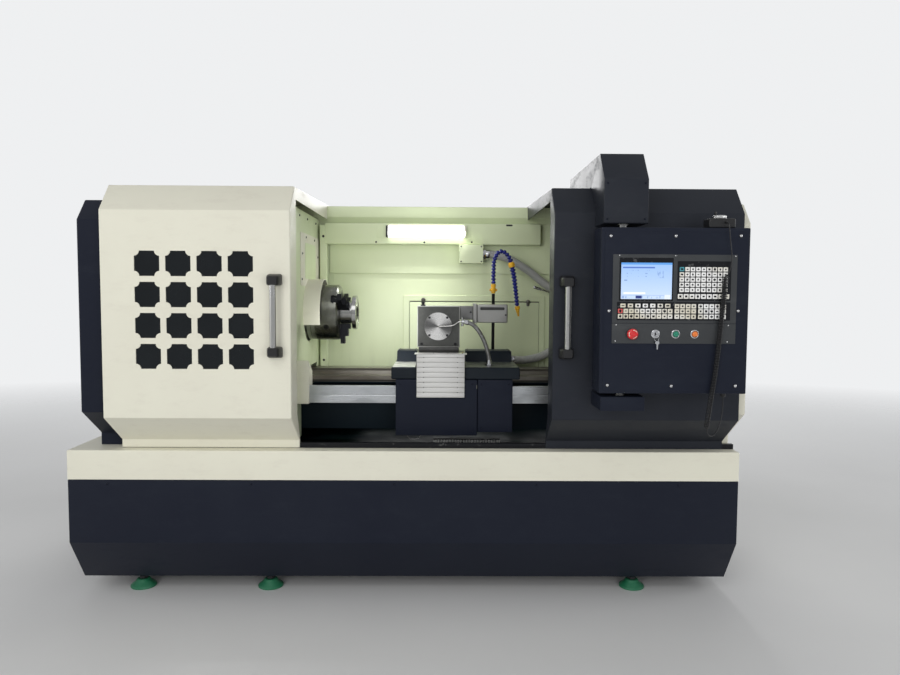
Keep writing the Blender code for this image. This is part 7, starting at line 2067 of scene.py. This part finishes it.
ring_line = np.stack([key_x + 0.0010 + 0.0075 * np.sin(turn), collar_face - 0.0128 - 0.0010 * np.cos(turn),
                      button_z - 0.0150 + 0.0110 * np.cos(turn)], axis=-1)
piece("key_ring", [swept(ring_line, 0.0007, 8)], chrome, "key_switch", sharp=80)
spare = closed_bend([(-0.0060, 0.0), (0.0060, 0.0), (0.0070, -0.0080), (0.0030, -0.0120),
                     (0.0022, -0.0290), (-0.0022, -0.0290), (-0.0030, -0.0120), (-0.0070, -0.0080)],
                    0.0018, 3)
piece("spare_key", slab(spare + (key_x + 0.0035, button_z - 0.0245), collar_face - 0.0136,
                        collar_face - 0.0118, "y", 0.0003, 1), chrome, "key_switch")
push = [(0.0012, 0.0), (0.0012, 0.0097), (0.0046, 0.0097), (0.0058, 0.0088), (0.0063, 0.0070),
        (0.0060, 0.0050), (0.0058, 0.0)]
for name, x, colour in (("start_button", start_x, (0.010, 0.215, 0.130)),
                        ("hold_button", hold_x, (0.80, 0.20, 0.03))):
    piece(name + "_cap", [turned(control_line(push), (x, collar_face, button_z), "y", 36)],
          link_plastic(name + "_lens", colour), name, name, sharp=50)
shroud = [(-0.0004, 0.0101), (-0.0004, 0.0128), (0.0022, 0.0126), (0.0030, 0.0118), (0.0022, 0.0104),
          (-0.0004, 0.0101)]
piece("button_rings",
      [turned(control_line(shroud), (x, collar_face, button_z), "y", 40) for x in (start_x, hold_x)],
      chrome, "control_box", sharp=40)

# Hand pulse generator: a black case that lies on the box, a turned dial with graduations and a crank, and
# its curly cord, which goes from a thin lead into a helix and back through a gland under the box.
pulse_low, pulse_high = (1.078, behind(-0.282), 1.4683), (1.172, behind(-0.218), 1.502)
piece("pulse_case", rounded_block(pulse_low, pulse_high, 0.0055, 4), black_moulding, "control_box",
      "pulse_box")
case_band = closed_bend(rectangle((1.0785, behind(-0.2815)), (1.1715, behind(-0.2185))), 0.006)
piece("pulse_case_seam", slab(case_band, 1.4835, 1.4850, "z", 0.0004, 1), pad_black, "control_box")
dial_x, dial_y, dial_low = 1.125, behind(-0.250), 1.5023
piece("dial_seat", [turned([(1.5015, 0.0), (1.5015, 0.0262), (1.5021, 0.0255), (1.5021, 0.0)],
                           (dial_x, dial_y, 0), "z", 48)], pad_black, "control_box", sharp=30)
dial_profile = [(0.0, 0.0), (0.0, 0.0236), (0.0008, 0.0240), (0.0085, 0.0240), (0.0100, 0.0226),
                (0.0118, 0.0200), (0.0120, 0.0170), (0.0108, 0.0150), (0.0106, 0.0050), (0.0112, 0.0046),
                (0.0112, 0.0)]


def dial_face():
    """Satin chrome with a hundred fine graduations round its shoulder and a knurled rim."""
    finish = Finish("dial_satin", (0.78, 0.78, 0.77), 0.24, Metallic=1.0)
    x, y = finish.axis("X") - dial_x, finish.axis("Y") - dial_y
    angle = y.math("ARCTAN2", x)
    radius = (x * x + y * y).math("SQRT", 0.0)
    share = (angle * (100 / (2 * math.pi))).math("FRACT", 0.0)
    tick = share.between(0.40, 0.60, 0.06) * radius.between(0.0200, 0.0232, 0.0003)
    knurl = (angle * (160 / (2 * math.pi))).math("PINGPONG", 0.5)
    return finish.wear(Base_Color=finish.mix(tick, finish.base, (0.02, 0.02, 0.02, 1)),
                       Roughness=finish.noise(300.0) * 0.14 + 0.16,
                       Normal=finish.bump(knurl * radius.above(0.0233, 0.0003), 0.0003))


piece("dial_knob", [turned([(dial_low + along, radius) for along, radius in dial_profile],
                           (dial_x, dial_y, 0), "z", 72)], dial_face(), "pulse_dial", "pulse_dial",
      sharp=35)
crank_profile = [(0.0108, 0.0), (0.0108, 0.0034), (0.0130, 0.0030), (0.0145, 0.0040), (0.0235, 0.0044),
                 (0.0250, 0.0036), (0.0256, 0.0)]
piece("dial_crank", [turned([(dial_low + along, radius) for along, radius in crank_profile],
                            (dial_x - 0.0144, dial_y, 0), "z", 20)], black_moulding, "pulse_dial",
      "pulse_dial", sharp=40)
cord_route = [(x, behind(depth), z) for x, depth, z in (
    (1.136, -0.2823, 1.487), (1.136, -0.288, 1.487), (1.136, -0.294, 1.4868),
    (1.1368, -0.3045, 1.482), (1.138, -0.3100, 1.466), (1.143, -0.3105, 1.420),
    (1.150, -0.3100, 1.360), (1.144, -0.3090, 1.320), (1.131, -0.3085, 1.285),
    (1.126, -0.3080, 1.220), (1.120, -0.3070, 1.140), (1.112, -0.3065, 1.040),
    (1.103, -0.3060, 0.950), (1.091, -0.3050, 0.860), (1.083, -0.3030, 0.790),
    (1.083, -0.298, 0.755), (1.097, -0.290, 0.734), (1.119, -0.280, 0.739),
    (1.140, -0.266, 0.770), (1.156, -0.247, 0.812), (1.160, -0.240, 0.838),
    (1.160, -0.240, 0.852), (1.160, -0.240, 0.8657))]
cord_size, curl_size, curl_pitch = 0.0036, 0.0077, 0.0056
curl_start, curl_end = 0.215, 0.790
core_length = run_length(smooth_route(cord_route, 800))
turns = core_length * (curl_end - curl_start) / curl_pitch
samples = int(turns * 14 / (curl_end - curl_start))
core = smooth_route(cord_route, samples)
share = np.linspace(0, 1, samples)
across, beside = carried_sides(core)
winding = np.clip((share - curl_start) / (curl_end - curl_start), 0, 1)
spread = curl_size * np.clip(winding * turns / 1.5, 0, 1) * np.clip((1 - winding) * turns / 1.5, 0, 1)
turn = 2 * math.pi * turns * winding
cord_line = core + spread[:, None] * (np.cos(turn)[:, None] * across + np.sin(turn)[:, None] * beside)
cord_rubber = moulded_black("cord_rubber", 0.34)
pulse_cord = piece("pulse_cord_curl", [swept(cord_line, cord_size / 2, 8)], cord_rubber, "control_box",
                   "pulse_cord", sharp=80)
relief = swept(core[:int(samples * 0.020)], np.linspace(0.0044, 0.0024, int(samples * 0.020)), 20)
gland_line = [(0.8836, 0.0), (0.8836, 0.0110), (0.8790, 0.0112), (0.8788, 0.0090), (0.8700, 0.0090),
              (0.8662, 0.0070), (0.8655, 0.0)]
piece("cord_relief", [relief, turned(gland_line, (1.160, behind(-0.240), 0), "z", 24)], black_moulding,
      "control_box", sharp=40)
